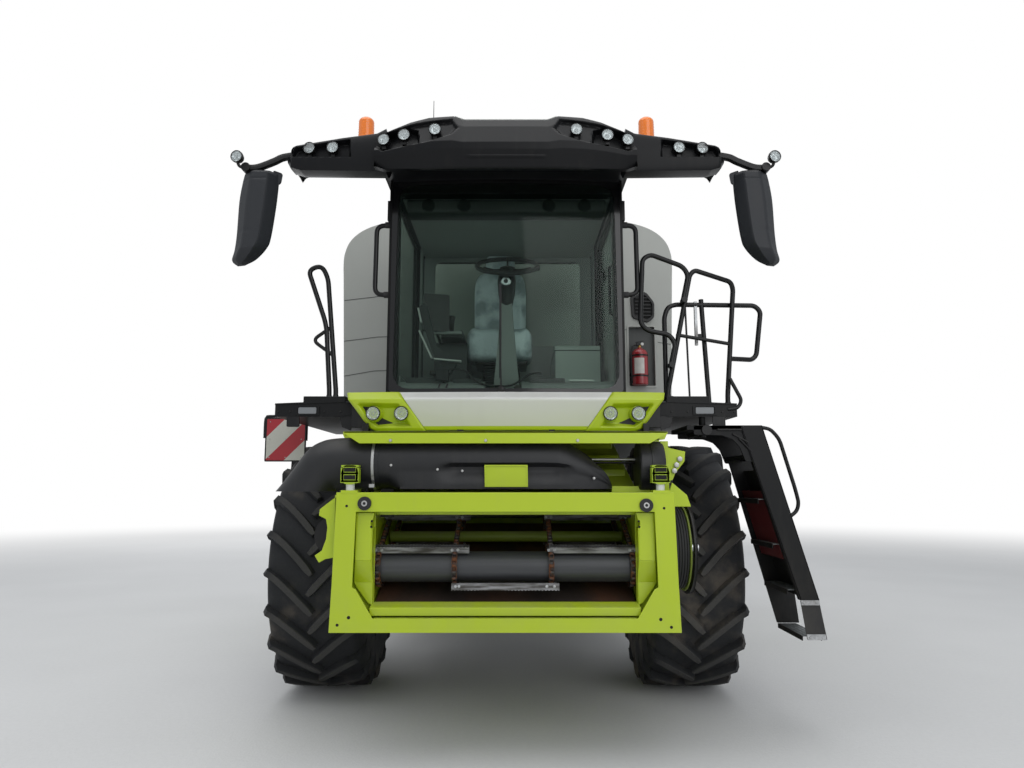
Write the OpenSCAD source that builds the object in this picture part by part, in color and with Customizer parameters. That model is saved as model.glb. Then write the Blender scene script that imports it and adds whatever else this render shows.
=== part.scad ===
// Combine harvester, self propelled, shown without a header.
// Millimetres. +Z is up, the front looks towards -Y, and the driver's left side is +X.
// Sizes below are taken from the front axle and the machine's centre line.
// place() then moves every piece so that the origin is under the middle of the machine.

/* [Wheels] */
// Outer diameter of the front tyres
front_tyre_d = 1930; // [1850:5:1960]
// Width of the front tyres
front_tyre_w = 690; // [660:5:700]
// Half of the front track
front_wheel_x = 1400; // [1390:1:1410]
// Seat diameter of the front rims
front_rim_d = 820; // [790:5:840]
// Outer diameter of the rear tyres
rear_tyre_d = 1460; // [1380:5:1480]
// Width of the rear tyres
rear_tyre_w = 500; // [440:5:510]
// Half of the rear track
rear_wheel_x = 1400; // [1390:1:1440]
// Seat diameter of the rear rims
rear_rim_d = 620; // [600:5:640]
// Distance between the axles
wheelbase = 3900; // [3860:5:3940]

/* [Body] */
// Half width of the threshing body behind the front wheels
body_half_w = 860; // [840:1:870]
// Height of the flat top of the threshing body
body_top_z = 2150; // [2145:1:2155]
// Outer face of the side doors from the centre line
panel_x = 1500; // [1480:1:1510]
// Height of the hinge line of the side doors
shoulder_z = 3050; // [3000:5:3060]
// Rear end of the side doors
panel_back_y = 5300; // [5280:5:5310]

/* [Cab] */
// Half width of the cab
cab_half_w = 800; // [785:1:805]
// Front of the cab at its pillars
cab_front_y = -1420; // [-1425:1:-1410]
// Top of the cab floor
cab_floor_z = 2217; // [2210:1:2225]
// Underside of the roof
roof_low_z = 3680; // [3670:1:3700]
// Top of the roof
roof_top_z = 3976; // [3960:1:4000]

/* [Grain tank] */
// Half width of the grain tank
tank_half_w = 1120; // [1100:1:1125]
// Height of the tank's rim
tank_top_z = 4000; // [3960:5:4010]
// Thickness of the tank's walls
tank_wall = 30; // [20:1:40]

/* [Feeder] */
// Half width of the feeder's front frame
frame_half_w = 1027; // [1015:1:1035]
// Lower edge of the front frame
frame_low_z = 745; // [740:1:755]
// Upper edge of the front frame
frame_top_z = 1545; // [1540:1:1550]
// Half width of the feeder's mouth
mouth_half_w = 790; // [780:1:795]
// Lower edge of the mouth
mouth_low_z = 900; // [895:1:910]
// Upper edge of the mouth
mouth_top_z = 1420; // [1410:1:1425]

/* [Unloading tube] */
// Diameter of the unloading tube
tube_d = 300; // [270:5:305]
// Height of the tube's centre line
tube_z = 3450; // [3440:5:3470]

/* [Hidden] */

$fn = 48;

// Where the front axle and the centre line lie in the part's own frame
front_axle_y = -2500;
centre_x = -100;

// Running clearance of pins and shafts, and the gap between pieces that move
fit = 0.05;
gap = 8;

// Axle heights follow the tyres, so every tyre touches the ground
front_z = front_tyre_d / 2;
rear_z = rear_tyre_d / 2;

// Nose of the threshing body between the feeder's ears
nose_half_w = 770;
body_nose_z = front_z + 145;

// Feeder: pivot, lift cylinder pins and frame planes
feeder_pivot = [-150, 1750];
feeder_pin_r = 45;
feeder_half_w = 830;
frame_front_y = -1890;
frame_back_y = -1750;
house_back_y = -430;
house_top = [1520, 1960];
tunnel_half_w = mouth_half_w + 20;
drum_y = -1640;
drum_z = 1125;
drum_r = 115;
drive_y = -1470;
drive_z = 1200;
lift_foot = [-60, 690];
lift_eye = [-1350, 760];
lift_x = 450;
lift_pin_r = 22;
lift_rod_r = 32;
lift_tube_r = 52;
lift_len = norm(lift_eye - lift_foot);
lift_angle = atan2(lift_eye[1] - lift_foot[1], lift_eye[0] - lift_foot[0]);
rod_stroke_gap = 380;

// Rear axle: king pins and steering arms
king_x = 1060;
king_r = 38;
knuckle_r = 85;
arm_len = 260;
arm_z = rear_z + 90;
tie_pin_r = 14;
tie_z = arm_z + 30;

// Cab
cab_back_y = 100;
pillar = 60;
glass_t = 8;
door_front_y = -1270;
door_back_y = -250;
door_pin = [cab_half_w + 26, door_back_y - 14];
door_hinge_z = [cab_floor_z + 256, roof_low_z - 356];

// Lamps as x, y, z of their front on the left side, and the beacon as x, y
lamp_r = 50;
roof_lamps = [
    [450, -1935, roof_low_z + 160], [650, -1935, roof_low_z + 136], [784, -1935, roof_low_z + 118],
    [1126, -1812, roof_low_z + 96], [1277, -1812, roof_low_z + 91]
];
nose_lamps = [[683, -1580, 2067], [867, -1580, 2067]];
beacon = [790, -1250];

// Tank, lids and unloading tube
tank_front_y = 560;
tank_back_y = 2900;
lid_pin = [tank_half_w + 20, tank_top_z + 24];
lid_hinge_y = [700, 1690, 2680];
hood_half_w = tank_half_w + 25;
tube_pivot = [tank_half_w + 32 + tube_d / 2, 780];
tube_end_y = 6900;

// Side doors: hinge line and outline
door_t = 40;
side_pin = [panel_x - door_t / 2, shoulder_z - 40];
side_hinge_y = [1500, 3200, 4900];
hinge_pin_r = 9;
hinge_eye_r = 20;
door_y = [1160, 2950, panel_back_y - 10];
door_low_z = [1150, 1580];

// Rear face of the rear hood
hood_back_y = 5900;

// Ladder: it turns about an upright pin under the platform
ladder_pin = [1330, -1335];
ladder_pin_r = 22;
ladder_y = [-1430, -950];
ladder_x = 1710;
ladder_w = 137;
ladder_top_z = 1989;
ladder_foot_z = 622;
ladder_lean = 0.262;
deck_z = [2053, 2190];
deck_step = 50;
deck_half_w = 1550;

// Pin of the rear drawbar jaw
hitch_pin_r = 16;

// Spreader discs
spreader_x = 370;
spreader_y = 6180;
spreader_r = 340;
spreader_z = 820;
spreader_pin_r = 30;

module place() {
    translate([centre_x, front_axle_y, 0])
        children();
}

module both() {
    children();
    mirror([1, 0, 0])
        children();
}

// Box from one corner to the opposite one
module block(lo, hi) {
    translate(lo)
        cube(hi - lo);
}

// Plate whose outline is given as [y, z] points, from x0 to x1
module plate_yz(outline, x0, x1) {
    translate([x0, 0, 0])
        rotate([90, 0, 90])
            linear_extrude(x1 - x0)
                polygon(outline);
}

// Plate whose outline is given as [x, z] points, from y0 to y1
module plate_xz(outline, y0, y1) {
    translate([0, y1, 0])
        rotate([90, 0, 0])
            linear_extrude(y1 - y0)
                polygon(outline);
}

// Round bar from one point to another
module bar(p, q, d) {
    v = q - p;
    len = norm(v);
    translate(p)
        rotate([0, acos(v[2] / len), atan2(v[1], v[0])])
            cylinder(h = len, d = d);
}

// Bent round bar through a list of points, with a ball at each bend
module rail(points, d) {
    last = len(points) - 1;
    for (i = [0 : last - 1])
        bar(points[i], points[i + 1], d);
    for (i = [1 : last - 1])
        translate(points[i])
            sphere(d = d + 1, $fn = 24);
}

// Cylinder along X
module cyl_x(x0, x1, y, z, r) {
    translate([x0, y, z])
        rotate([0, 90, 0])
            cylinder(h = x1 - x0, r = r);
}

// Cylinder along Y
module cyl_y(y0, y1, x, z, r) {
    translate([x, y1, z])
        rotate([90, 0, 0])
            cylinder(h = y1 - y0, r = r);
}

// Tyre turned about the X axis, centred on the origin: d outer, w width, seat rim seat
module tyre(d, w, seat) {
    r = d / 2;
    rs = seat / 2;
    bead = w * 0.38;
    wall = w * 0.06;
    bulge = rs + (r - rs) * 0.5;
    shoulder = rs + (r - rs) * 0.84;
    color("dimgray")
        rotate([0, 90, 0])
            rotate_extrude($fn = 72)
                difference() {
                    polygon([
                        [rs, -bead], [rs + 27, -bead], [rs + 50, -bead - 14], [bulge, -w / 2], [shoulder, -w / 2 + 8],
                        [r - 12, -w * 0.47], [r, -w * 0.44], [r, w * 0.44], [r - 12, w * 0.47],
                        [shoulder, w / 2 - 8], [bulge, w / 2], [rs + 50, bead + 14], [rs + 27, bead], [rs, bead]
                    ]);
                    polygon([
                        [rs - 1, -bead + wall], [bulge, -w / 2 + wall], [shoulder, -w / 2 + wall + 10],
                        [r - 70, -w * 0.38], [r - 70, w * 0.38], [shoulder, w / 2 - wall - 10],
                        [bulge, w / 2 - wall], [rs - 1, bead - wall]
                    ]);
                }
}

// Rim turned about the X axis: seat diameter, tyre width, bore radius, disc place along X
module rim(seat, w, bore_r, disc_x) {
    rs = seat / 2;
    half = w * 0.38 + 14;
    color("gainsboro")
        rotate([0, 90, 0])
            rotate_extrude($fn = 72)
                union() {
                    translate([rs - 14, -half])
                        square([14, 2 * half]);
                    for (e = [-half, half - 14])
                        translate([rs - 14, e])
                            square([40, 14]);
                    polygon([
                        [bore_r, disc_x - 40], [bore_r + 70, disc_x - 40], [bore_r + 90, disc_x],
                        [rs - 13, disc_x + 60], [rs - 13, disc_x + 84], [bore_r + 60, disc_x + 26],
                        [bore_r + 40, disc_x + 70], [bore_r, disc_x + 70]
                    ]);
                }
}

module front_wheel_place(side) {
    place()
        translate([side * front_wheel_x, 0, front_z])
            mirror([side < 0 ? 1 : 0, 0, 0])
                children();
}

module rear_wheel_place(side) {
    place()
        translate([side * rear_wheel_x, wheelbase, rear_z])
            mirror([side < 0 ? 1 : 0, 0, 0])
                children();
}

front_bore_r = 90;
rear_bore_r = 60;
front_disc_x = -40;
rear_disc_x = -30;

module front_tyre_left() {
    front_wheel_place(1)
        tyre(front_tyre_d, front_tyre_w, front_rim_d);
}

module front_tyre_right() {
    front_wheel_place(-1)
        tyre(front_tyre_d, front_tyre_w, front_rim_d);
}

module front_rim_left() {
    front_wheel_place(1)
        rim(front_rim_d, front_tyre_w, front_bore_r + fit, front_disc_x);
}

module front_rim_right() {
    front_wheel_place(-1)
        rim(front_rim_d, front_tyre_w, front_bore_r + fit, front_disc_x);
}

module rear_tyre_left() {
    rear_wheel_place(1)
        tyre(rear_tyre_d, rear_tyre_w, rear_rim_d);
}

module rear_tyre_right() {
    rear_wheel_place(-1)
        tyre(rear_tyre_d, rear_tyre_w, rear_rim_d);
}

module rear_rim_left() {
    rear_wheel_place(1)
        rim(rear_rim_d, rear_tyre_w, rear_bore_r + fit, rear_disc_x);
}

module rear_rim_right() {
    rear_wheel_place(-1)
        rim(rear_rim_d, rear_tyre_w, rear_bore_r + fit, rear_disc_x);
}

// Threshing body: narrow at the front, where the feeder's ears turn beside it
module threshing_body() {
    color("gray")
        place() {
            difference() {
                union() {
                    plate_yz([
                        [-250, body_nose_z], [300, body_nose_z], [480, 620], [2900, 620], [3250, 1500], [3250, body_top_z],
                        [-250, body_top_z]
                    ], -nose_half_w, nose_half_w);
                    plate_yz([
                        [1080, 700], [2850, 700], [3200, 1500], [5330, 1500], [5330, body_top_z],
                        [1080, body_top_z]
                    ], -body_half_w, body_half_w);
                    block([-600, 3190, 1060], [600, 5330, 1501]);
                }
                block([-650, -251, 1250], [650, 150, 1900]);
            }
            both()
                cyl_x(nose_half_w - 1, feeder_half_w + 30, feeder_pivot[0], feeder_pivot[1], feeder_pin_r);
        }
}

// Two rails under the rear of the body that carry the rear axle
module chassis_rails() {
    color("dimgray")
        place() {
            both()
                block([440, 3190, 960], [560, panel_back_y + 30, 1060]);
            block([-441, wheelbase - 90, 965], [441, wheelbase + 90, 1055]);
        }
}

// Front axle with its two final drives, wheel shafts and feet of the lift cylinders
module front_axle() {
    foot_half = 46;
    color("dimgray")
        place() {
            block([-850, -150, front_z - 145], [850, 150, front_z + 130]);
            both() {
                block([450, -120, front_z + 129], [700, 120, body_nose_z]);
                cyl_x(849, front_wheel_x - 120, 0, front_z, 240);
                cyl_x(front_wheel_x - 121, front_wheel_x + 60, 0, front_z, front_bore_r);
                for (s = [-1, 1])
                    plate_yz([
                        [-130, front_z - 140], [40, front_z - 140], [0, lift_foot[1] - 50],
                        [-120, lift_foot[1] - 50]
                    ], lift_x + s * foot_half - 10, lift_x + s * foot_half + 10);
                cyl_x(lift_x - foot_half, lift_x + foot_half, lift_foot[0], lift_foot[1], lift_pin_r);
            }
        }
}

// Shoulders over the side doors and the bulkheads that carry them
module side_frames() {
    y0 = 510;
    y1 = panel_back_y + 30;
    bulk_y = [1130, 2930, panel_back_y];
    inner = panel_x - door_t;
    color("darkgray")
        place()
            both() {
                difference() {
                    union() {
                        block([tank_half_w, y0, shoulder_z], [panel_x - 2, y1, shoulder_z + 36]);
                        for (y = bulk_y)
                            block([body_half_w, y, 1600], [inner - gap - 8, y + 24, shoulder_z + 1]);
                        block([body_half_w, y0, body_top_z - 60], [panel_x, 1140, body_top_z - 20]);
                        block([inner, y0, body_top_z - 60], [panel_x, 1150, shoulder_z + 1]);
                    }
                    tube_hole();
                    hopper_clear();
                }
                for (y = side_hinge_y)
                    hinge_seat(y);
            }
}

// Two lugs and the pin between them, for one hinge of a side door
module hinge_seat(y) {
    w = 16;
    for (s = [-50, 32])
        block([side_pin[0] - w, y + s, side_pin[1] - w], [side_pin[0] + w, y + s + 18, shoulder_z + 1]);
    cyl_y(y - 50, y + 50, side_pin[0], side_pin[1], hinge_pin_r);
}

// Round hole in the shoulder where the unloading tube's upright passes
module tube_hole() {
    translate([tube_pivot[0], tube_pivot[1], shoulder_z - 10])
        cylinder(h = 80, r = tube_d / 2 + fit);
}

// Space of the tank's slanted floor
module hopper_clear() {
    plate_xz([[0, 2200], [520, 2200], [tank_half_w, 2860], [tank_half_w, 4100], [0, 4100]], 550, 2931);
}

// Engine as one plain block
module engine_block() {
    color("dimgray")
        place()
            block([-450, 3300, body_top_z], [450, 4500, 3000]);
}

// Engine hood: a shell open below, with a grille opening on the right side
module engine_hood() {
    t = 30;
    y0 = tank_back_y + 40;
    top = shoulder_z + 620;
    color("black")
        place()
            difference() {
                plate_yz([
                    [y0, shoulder_z + 36], [y0, top], [4700, top], [panel_back_y, shoulder_z + 380],
                    [panel_back_y, shoulder_z + 36]
                ], -hood_half_w, hood_half_w);
                plate_yz([
                    [y0 + t, shoulder_z], [y0 + t, top - t], [4700 - t, top - t],
                    [panel_back_y - t, shoulder_z + 350], [panel_back_y - t, shoulder_z]
                ], -hood_half_w + t, hood_half_w - t);
            }
}

// Rear hood over the straw outlet
module rear_hood() {
    t = 40;
    half = tank_half_w + 10;
    color("whitesmoke")
        place()
            difference() {
                plate_yz([
                    [5330, 1560], [hood_back_y, 1560], [hood_back_y, 2300], [5780, 3180], [5330, 3400]
                ], -half, half);
                plate_yz([
                    [5300, 1500], [hood_back_y - t, 1500], [hood_back_y - t, 2290], [5745, 3150], [5300, 3360]
                ], -half + t, half - t);
            }
}

// Straw chopper with its slanted outlet
module chopper_housing() {
    color("dimgray")
        place() {
            difference() {
                plate_yz([
                    [5340, 1120], [5700, 1000], [6000, 1080], [6360, 1120], [6360, 1160], [6000, 1500],
                    [5340, 1540]
                ], -760, 760);
                plate_yz([
                    [5380, 1200], [5700, 1060], [5920, 1060], [5920, 990], [6370, 990], [6370, 1115],
                    [5980, 1450], [5380, 1480]
                ], -730, 730);
            }
            both() {
                block([430, panel_back_y + 30, 1400], [570, 5341, 1500]);
                translate([spreader_x, spreader_y, spreader_z + 40])
                    cylinder(h = 440, r = spreader_pin_r);
            }
        }
}

// Grain tank: straight sides over a slanted floor
module grain_tank() {
    w = tank_half_w;
    t = tank_wall;
    color("silver")
        place() {
            difference() {
                plate_xz([
                    [-w, tank_top_z], [-w, 2870], [-500, body_top_z + 60], [500, body_top_z + 60],
                    [w, 2870], [w, tank_top_z]
                ], tank_front_y, tank_back_y);
                plate_xz([
                    [-w + t, tank_top_z + 1], [-w + t, 2885], [-485, body_top_z + 100],
                    [485, body_top_z + 100], [w - t, 2885], [w - t, tank_top_z + 1]
                ], tank_front_y + t, tank_back_y - t);
            }
            both() {
                for (y = lid_hinge_y)
                    lid_seat(y);
                block([w - 1, 970, shoulder_z + 36], [w + 50, tank_back_y - 40, shoulder_z + 66]);
            }
        }
}

// Two lugs and the pin between them, for one hinge of a tank lid
module lid_seat(y) {
    for (s = [-54, 36])
        block([tank_half_w - 1, y + s, tank_top_z - 40], [lid_pin[0] + 11, y + s + 18, lid_pin[1] + 14]);
    cyl_y(y - 54, y + 54, lid_pin[0], lid_pin[1], hinge_pin_r);
}

// Filling auger: a slanted tube that ends under the lids
module tank_auger() {
    color("gray")
        place() {
            bar([-380, 2500, body_top_z + 280], [0, 1650, 3640], 260);
            block([-460, 2420, body_top_z + 100], [-300, 2580, body_top_z + 260]);
        }
}

// Front wall of the tank, as wide as the machine, with rounded upper corners
module tank_front_panel() {
    y0 = 450;
    half = 1545;
    color("whitesmoke")
        place()
            difference() {
                plate_xz([
                    [-1510, 2250], [-half, 3500], [-half, 3860], [-1500, 3990], [-1400, 4045], [-1050, 4115],
                    [1050, 4115], [1400, 4045], [1500, 3990], [half, 3860], [half, 3500], [1510, 2250]
                ], y0, y0 + 60);
                plate_xz([[-840, 2240], [-840, 2500], [840, 2500], [840, 2240]], y0 - 1, y0 + 61);
                block([1130, y0 - 1, 2508], [1370, y0 + 45, 3065]);
            }
}

// Fire extinguisher in the niche of the front panel
module extinguisher() {
    color("firebrick")
        place()
            translate([1222, 412, 2508]) {
                cylinder(h = 300, r = 75);
                translate([0, 0, 299])
                    cylinder(h = 40, r1 = 75, r2 = 30);
                translate([0, 0, 338])
                    cylinder(h = 55, r = 28);
            }
}

// Cab: floor, pillars, sills and rear wall; the door fills the left side
module cab_shell() {
    w = cab_half_w;
    p = pillar;
    z0 = body_top_z;
    z1 = roof_low_z;
    color("dimgray")
        place() {
            block([-w, cab_front_y, z0], [w, cab_back_y, cab_floor_z]);
            both() {
                block([w - p, cab_front_y, cab_floor_z - 1], [w, cab_front_y + 100, z1]);
                block([w - p, door_back_y + 20, cab_floor_z - 1], [w, door_back_y + 20 + p, z1]);
                block([w - p, cab_back_y - p, cab_floor_z - 1], [w, cab_back_y, z1]);
                block([w - p, cab_front_y + 99, z1 - 60], [w, cab_back_y - p + 1, z1]);
            }
            block([-w, cab_front_y + 99, cab_floor_z - 1], [-w + p, cab_back_y - p + 1, cab_floor_z + 120]);
            block([-w + p - 1, cab_back_y - p, z1 - 90], [w - p + 1, cab_back_y, z1]);
            block([-w + p - 1, cab_back_y - p, cab_floor_z - 1], [w - p + 1, cab_back_y, cab_floor_z + 560]);
            block([-w + p - 1, cab_front_y, z1 - 70], [w - p + 1, cab_front_y + 70, z1]);
            block([w - p, door_back_y + 19 + p, cab_floor_z - 1], [w, cab_back_y - p + 1, cab_floor_z + 300]);
            for (z = door_hinge_z)
                door_seat(z);
        }
}

// Two plates and the upright pin between them, for one hinge of the cab door
module door_seat(z) {
    w = cab_half_w;
    for (s = [-12, 62])
        translate([0, 0, z + s])
            linear_extrude(10)
                polygon([
                    [w - 1, door_back_y + 25], [w + 8, door_back_y + 5], [w + 8, door_pin[1] - 3],
                    [w + 14, door_pin[1] - 14], [door_pin[0] + 17, door_pin[1] - 17],
                    [door_pin[0] + 17, door_pin[1] + 17], [w - 1, door_back_y + 70]
                ]);
    translate([door_pin[0], door_pin[1], z - 12])
        cylinder(h = 84, r = 8);
}

// Fixed window panes of the cab
module cab_glass() {
    w = cab_half_w;
    p = pillar;
    z1 = roof_low_z;
    color("darkslategray")
        place() {
            translate([0, cab_front_y - glass_t, 0])
                block([-w + 4, 0, cab_floor_z + 2], [w - 4, glass_t, z1 - 2]);
            translate([-w + 20, 0, 0])
                block([0, cab_front_y + 100, cab_floor_z + 120], [glass_t, door_back_y + 20, z1 - 60]);
            translate([-w + 20, 0, 0])
                block([0, door_back_y + 20 + p, cab_floor_z + 120], [glass_t, cab_back_y - p, z1 - 60]);
            translate([w - 28, 0, 0])
                block([0, door_back_y + 20 + p, cab_floor_z + 300], [glass_t, cab_back_y - p, z1 - 60]);
            translate([0, cab_back_y - 30, 0])
                block([-w + p, 0, cab_floor_z + 560], [w - p, glass_t, z1 - 90]);
        }
}

// Seat on its pedestal, with an armrest on the right
module driver_seat() {
    color("lightgray")
        place() {
            block([-150, -420, cab_floor_z], [150, -120, cab_floor_z + 300]);
            block([-250, -520, cab_floor_z + 300], [250, -40, cab_floor_z + 430]);
            plate_yz([
                [-100, cab_floor_z + 430], [0, cab_floor_z + 430], [20, cab_floor_z + 1020],
                [-60, cab_floor_z + 1020]
            ], -240, 240);
            plate_yz([
                [-60, cab_floor_z + 1019], [10, cab_floor_z + 1019], [0, cab_floor_z + 1180],
                [-60, cab_floor_z + 1180]
            ], -130, 130);
        }
}

// Side console with armrest and monitor on the right, companion seat box on the left
module cab_console() {
    z0 = cab_floor_z;
    color("slategray")
        place() {
            block([-560, -700, z0], [-300, 20, z0 + 500]);
            block([-520, -760, z0 + 500], [-330, -300, z0 + 560]);
            translate([-560, -900, z0 + 520])
                block([0, 0, 0], [40, 210, 330]);
            block([-550, -800, z0 + 500], [-525, -740, z0 + 560]);
            block([310, -520, z0], [690, -60, z0 + 380]);
        }
}

// Steering column and wheel
module steering_column() {
    z0 = cab_floor_z;
    hub = [0, -830, z0 + 940];
    color("black")
        place() {
            block([-90, -1190, z0], [90, -1010, z0 + 60]);
            bar([0, -1100, z0 + 40], [0, -860, z0 + 860], 110);
            bar([0, -865, z0 + 840], hub, 70);
            translate(hub)
                rotate([22, 0, 0]) {
                    rotate_extrude()
                        translate([215, 0])
                            circle(r = 17, $fn = 24);
                    for (a = [0 : 120 : 240])
                        rotate([0, 0, a + 90])
                            block([30, -22, -12], [205, 22, 8]);
                    translate([0, 0, -22])
                        cylinder(h = 34, r = 52);
                }
        }
}

// Roof with its visor and the two wings that carry the mirrors
module cab_roof() {
    z = roof_low_z;
    color("black")
        place() {
            difference() {
                union() {
                    plate_yz([
                        [-1460, z], [-1560, z - 85], [-1885, z - 95], [-1945, z + 60], [-1850, roof_top_z - 20],
                        [-1700, roof_top_z], [150, roof_top_z - 30], [200, z + 120], [200, z]
                    ], -840, 840);
                    both()
                        plate_xz([
                            [839, z + 15], [1400, z + 12], [1430, z + 40], [1430, z + 100], [1380, z + 150],
                            [1060, z + 195], [839, z + 240]
                        ], -1800, -1380);
                }
                both()
                    for (p = roof_lamps)
                        cyl_y(p[1] - 60, p[1] + 40, p[0], p[2], lamp_r + 0.3);
            }
            both()
                translate([beacon[0], beacon[1], roof_top_z - 40])
                    cylinder(h = 50, r = 62);
            bar([-560, -1000, roof_top_z - 60], [-560, -1000, 4525], 14);
            translate([-560, -1000, roof_top_z - 40])
                cylinder(h = 60, r = 25);
        }
}

// Round work lamps: six on the visor, four on the wings, four on the fascia
module work_lamps() {
    color("gainsboro")
        place()
            both() {
                for (p = roof_lamps)
                    cyl_y(p[1], p[1] + 40, p[0], p[2], lamp_r);
                for (p = nose_lamps)
                    cyl_y(p[1], p[1] + 40, p[0], p[2], lamp_r + 2);
            }
}

// Two round beacons on the roof
module beacons() {
    color("orange")
        place()
            both()
                translate([beacon[0], beacon[1], roof_top_z + 10]) {
                    cylinder(h = 140, r = 55);
                    translate([0, 0, 139])
                        cylinder(h = 36, r1 = 55, r2 = 25);
                }
}

// Mirror arms and housings
module mirror_housings() {
    color("black")
        place()
            both() {
                rail([[1430, -1600, 3750], [1480, -1600, 3750], [1600, -1720, 3660], [1700, -1750, 3690]], 40);
                plate_xz([
                    [1500, 3640], [1700, 3650], [1745, 3430], [1747, 3210], [1785, 3040], [1720, 3002],
                    [1610, 3048], [1540, 3160], [1512, 3280], [1493, 3450]
                ], -1800, -1700);
                cyl_y(-1830, -1740, 1735, 3700, 45);
            }
}

// Mirror panes at the back of the housings
module mirror_glass() {
    color("lightsteelblue")
        place()
            both()
                plate_xz([
                    [1515, 3620], [1690, 3630], [1725, 3430], [1725, 3210], [1640, 3160], [1560, 3180],
                    [1530, 3290]
                ], -1700, -1695);
}

// Middle of the nose panel under the windscreen
module fascia_centre() {
    color("whitesmoke")
        place()
            plate_xz([[-700, 2207], [-520, 1952], [520, 1952], [700, 2207]], -1560, -1500);
}

// Coloured ends of the nose panel
module fascia_corners() {
    color("yellowgreen")
        place()
            both()
                plate_xz([[701, 2207], [521, 1952], [900, 1970], [985, 2090], [1055, 2207]], -1540, -1480);
}

// Platform frame under the cab and the decks beside it
module platforms() {
    y0 = -1400;
    y1 = 350;
    step_x = 1362;
    color("dimgray")
        place() {
            block([-1081, y0, 2060], [1081, -250, body_top_z]);
            both() {
                block([1080, y0, deck_z[0]], [deck_half_w, y1, deck_z[1] - deck_step]);
                block([1080, y0, deck_z[0] + 60], [step_x, y1, deck_z[1]]);
                block([300, -1500, 2060], [420, y0 + 1, body_top_z]);
                block([880, -1480, 2060], [960, y0 + 1, body_top_z]);
            }
            translate([ladder_pin[0], ladder_pin[1], ladder_top_z - 70])
                cylinder(h = deck_z[0] - ladder_top_z + 71, r = ladder_pin_r);
        }
}

// Hand rails beside the cab and along the decks
module handrails() {
    d = 34;
    z = deck_z[1];
    w = cab_half_w;
    // Front rails on the pillars, then the three bends and posts on the left deck, then the right deck
    y = [-1375, -1335, -1290];
    color("black")
        place() {
            both()
                rail([[w, -1375, 3450], [930, -1375, 3450], [930, -1375, 2950], [w, -1375, 2950]], d);
            rail([[1125, y[0], z], [1125, y[0], 2400], [1155, y[0], 2556], [1116, y[0], 2618],
                [966, y[0], 2646], [919, y[0], 2700], [944, y[0], 3150], [1000, y[0], 3185],
                [1220, y[0], 3100], [1255, y[0], 3040], [1200, y[0], 2560], [1200, y[0], z]], d);
            rail([[1104, y[1], z], [1104, y[1], 2230], [1279, y[1], 3050], [1313, y[1], 3084],
                [1561, y[1], 3000], [1576, y[1], 2950], [1510, y[1], 2200], [1510, y[1], z - deck_step]], d);
            rail([[1102, y[2], z], [1102, y[2], 2763], [1130, y[2], 2830], [1180, y[2], 2849],
                [1735, y[2], 2842], [1775, y[2], 2799], [1733, y[2], 2490], [1700, y[2], 2458],
                [1535, y[1], 2458]], d);
            bar([1340, y[2], z], [1340, y[2], 2849], 26);
            bar([1250, y[2], z], [1250, y[2], 2845], 22);
            bar([1190, y[1], 2640], [1540, y[1], 2561], 26);
            rail([[-1170, -1300, z], [-1170, -1300, 2240], [-1250, -1300, 3040], [-1300, -1300, 3130],
                [-1400, -1300, 3100], [-1250, -1300, 2880], [-1215, -1300, 2240], [-1215, -1300, z]], d);
            rail([[-1225, -1300, 2680], [-1344, -1300, 2594], [-1200, -1300, 2490]], 26);
        }
}

// Slanted boards that warn of the machine's width
module warning_boards() {
    x = deck_half_w;
    color("red")
        place() {
            block([-x - 315, -612, 1783], [-x - 10, -600, 2112]);
            block([-x - 150, -600, 1940], [-x, -580, 2090]);
            both()
                block([850, hood_back_y, 1700], [1120, hood_back_y + 10, 2100]);
        }
}

// Ladder at the rear that leads to the engine
module rear_ladder() {
    x = [-780, -400];
    y = [6030, 5985];
    z = [1650, 3300];
    color("dimgray")
        place() {
            for (u = x) {
                bar([u, y[0], z[0]], [u, y[1], z[1]], 34);
                bar([u, hood_back_y, 1700], [u, y[0] - 2, 1700], 26);
                bar([u, hood_back_y, 2260], [u, y[0] - 17, 2260], 26);
            }
            for (k = [0 : 5]) {
                h = z[0] + 80 + 270 * k;
                v = y[0] + (y[1] - y[0]) * (h - z[0]) / (z[1] - z[0]);
                bar([x[0], v, h], [x[1], v, h], 28);
            }
        }
}

module tail_lamps() {
    color("red")
        place()
            both()
                block([930, hood_back_y, 1590], [1100, hood_back_y + 40, 1670]);
}

// Rear axle beam with forked ends for the king pins
module rear_axle() {
    color("dimgray")
        place()
            translate([0, wheelbase, rear_z]) {
                block([-king_x + 160, -100, -100], [king_x - 160, 100, 120]);
                block([-200, -90, 119], [200, 90, 235 - (rear_z - 730)]);
                both() {
                    for (z = [-170, 130])
                        difference() {
                            union() {
                                block([king_x - 220, -80, z], [king_x, 80, z + 40]);
                                translate([king_x, 0, z])
                                    cylinder(h = 40, r = 80);
                            }
                            translate([king_x, 0, z - 1])
                                cylinder(h = 42, r = king_r + fit);
                        }
                    block([king_x - 220, -60, -171], [king_x - 109, 60, 171]);
                }
            }
}

// Rear drawbar jaw with its pin bore
module hitch() {
    y0 = panel_back_y + 30;
    jaw_y = 5600;
    color("dimgray")
        place()
            difference() {
                union() {
                    block([-560, y0, 960], [560, y0 + 70, 1050]);
                    block([-60, y0 + 10, 800], [60, y0 + 71, 961]);
                    for (z = [800, 920]) {
                        block([-60, y0 + 10, z], [60, jaw_y, z + 40]);
                        translate([0, jaw_y, z])
                            cylinder(h = 40, r = 60);
                    }
                }
                translate([0, jaw_y, 790])
                    cylinder(h = 180, r = hitch_pin_r);
            }
}

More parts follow.
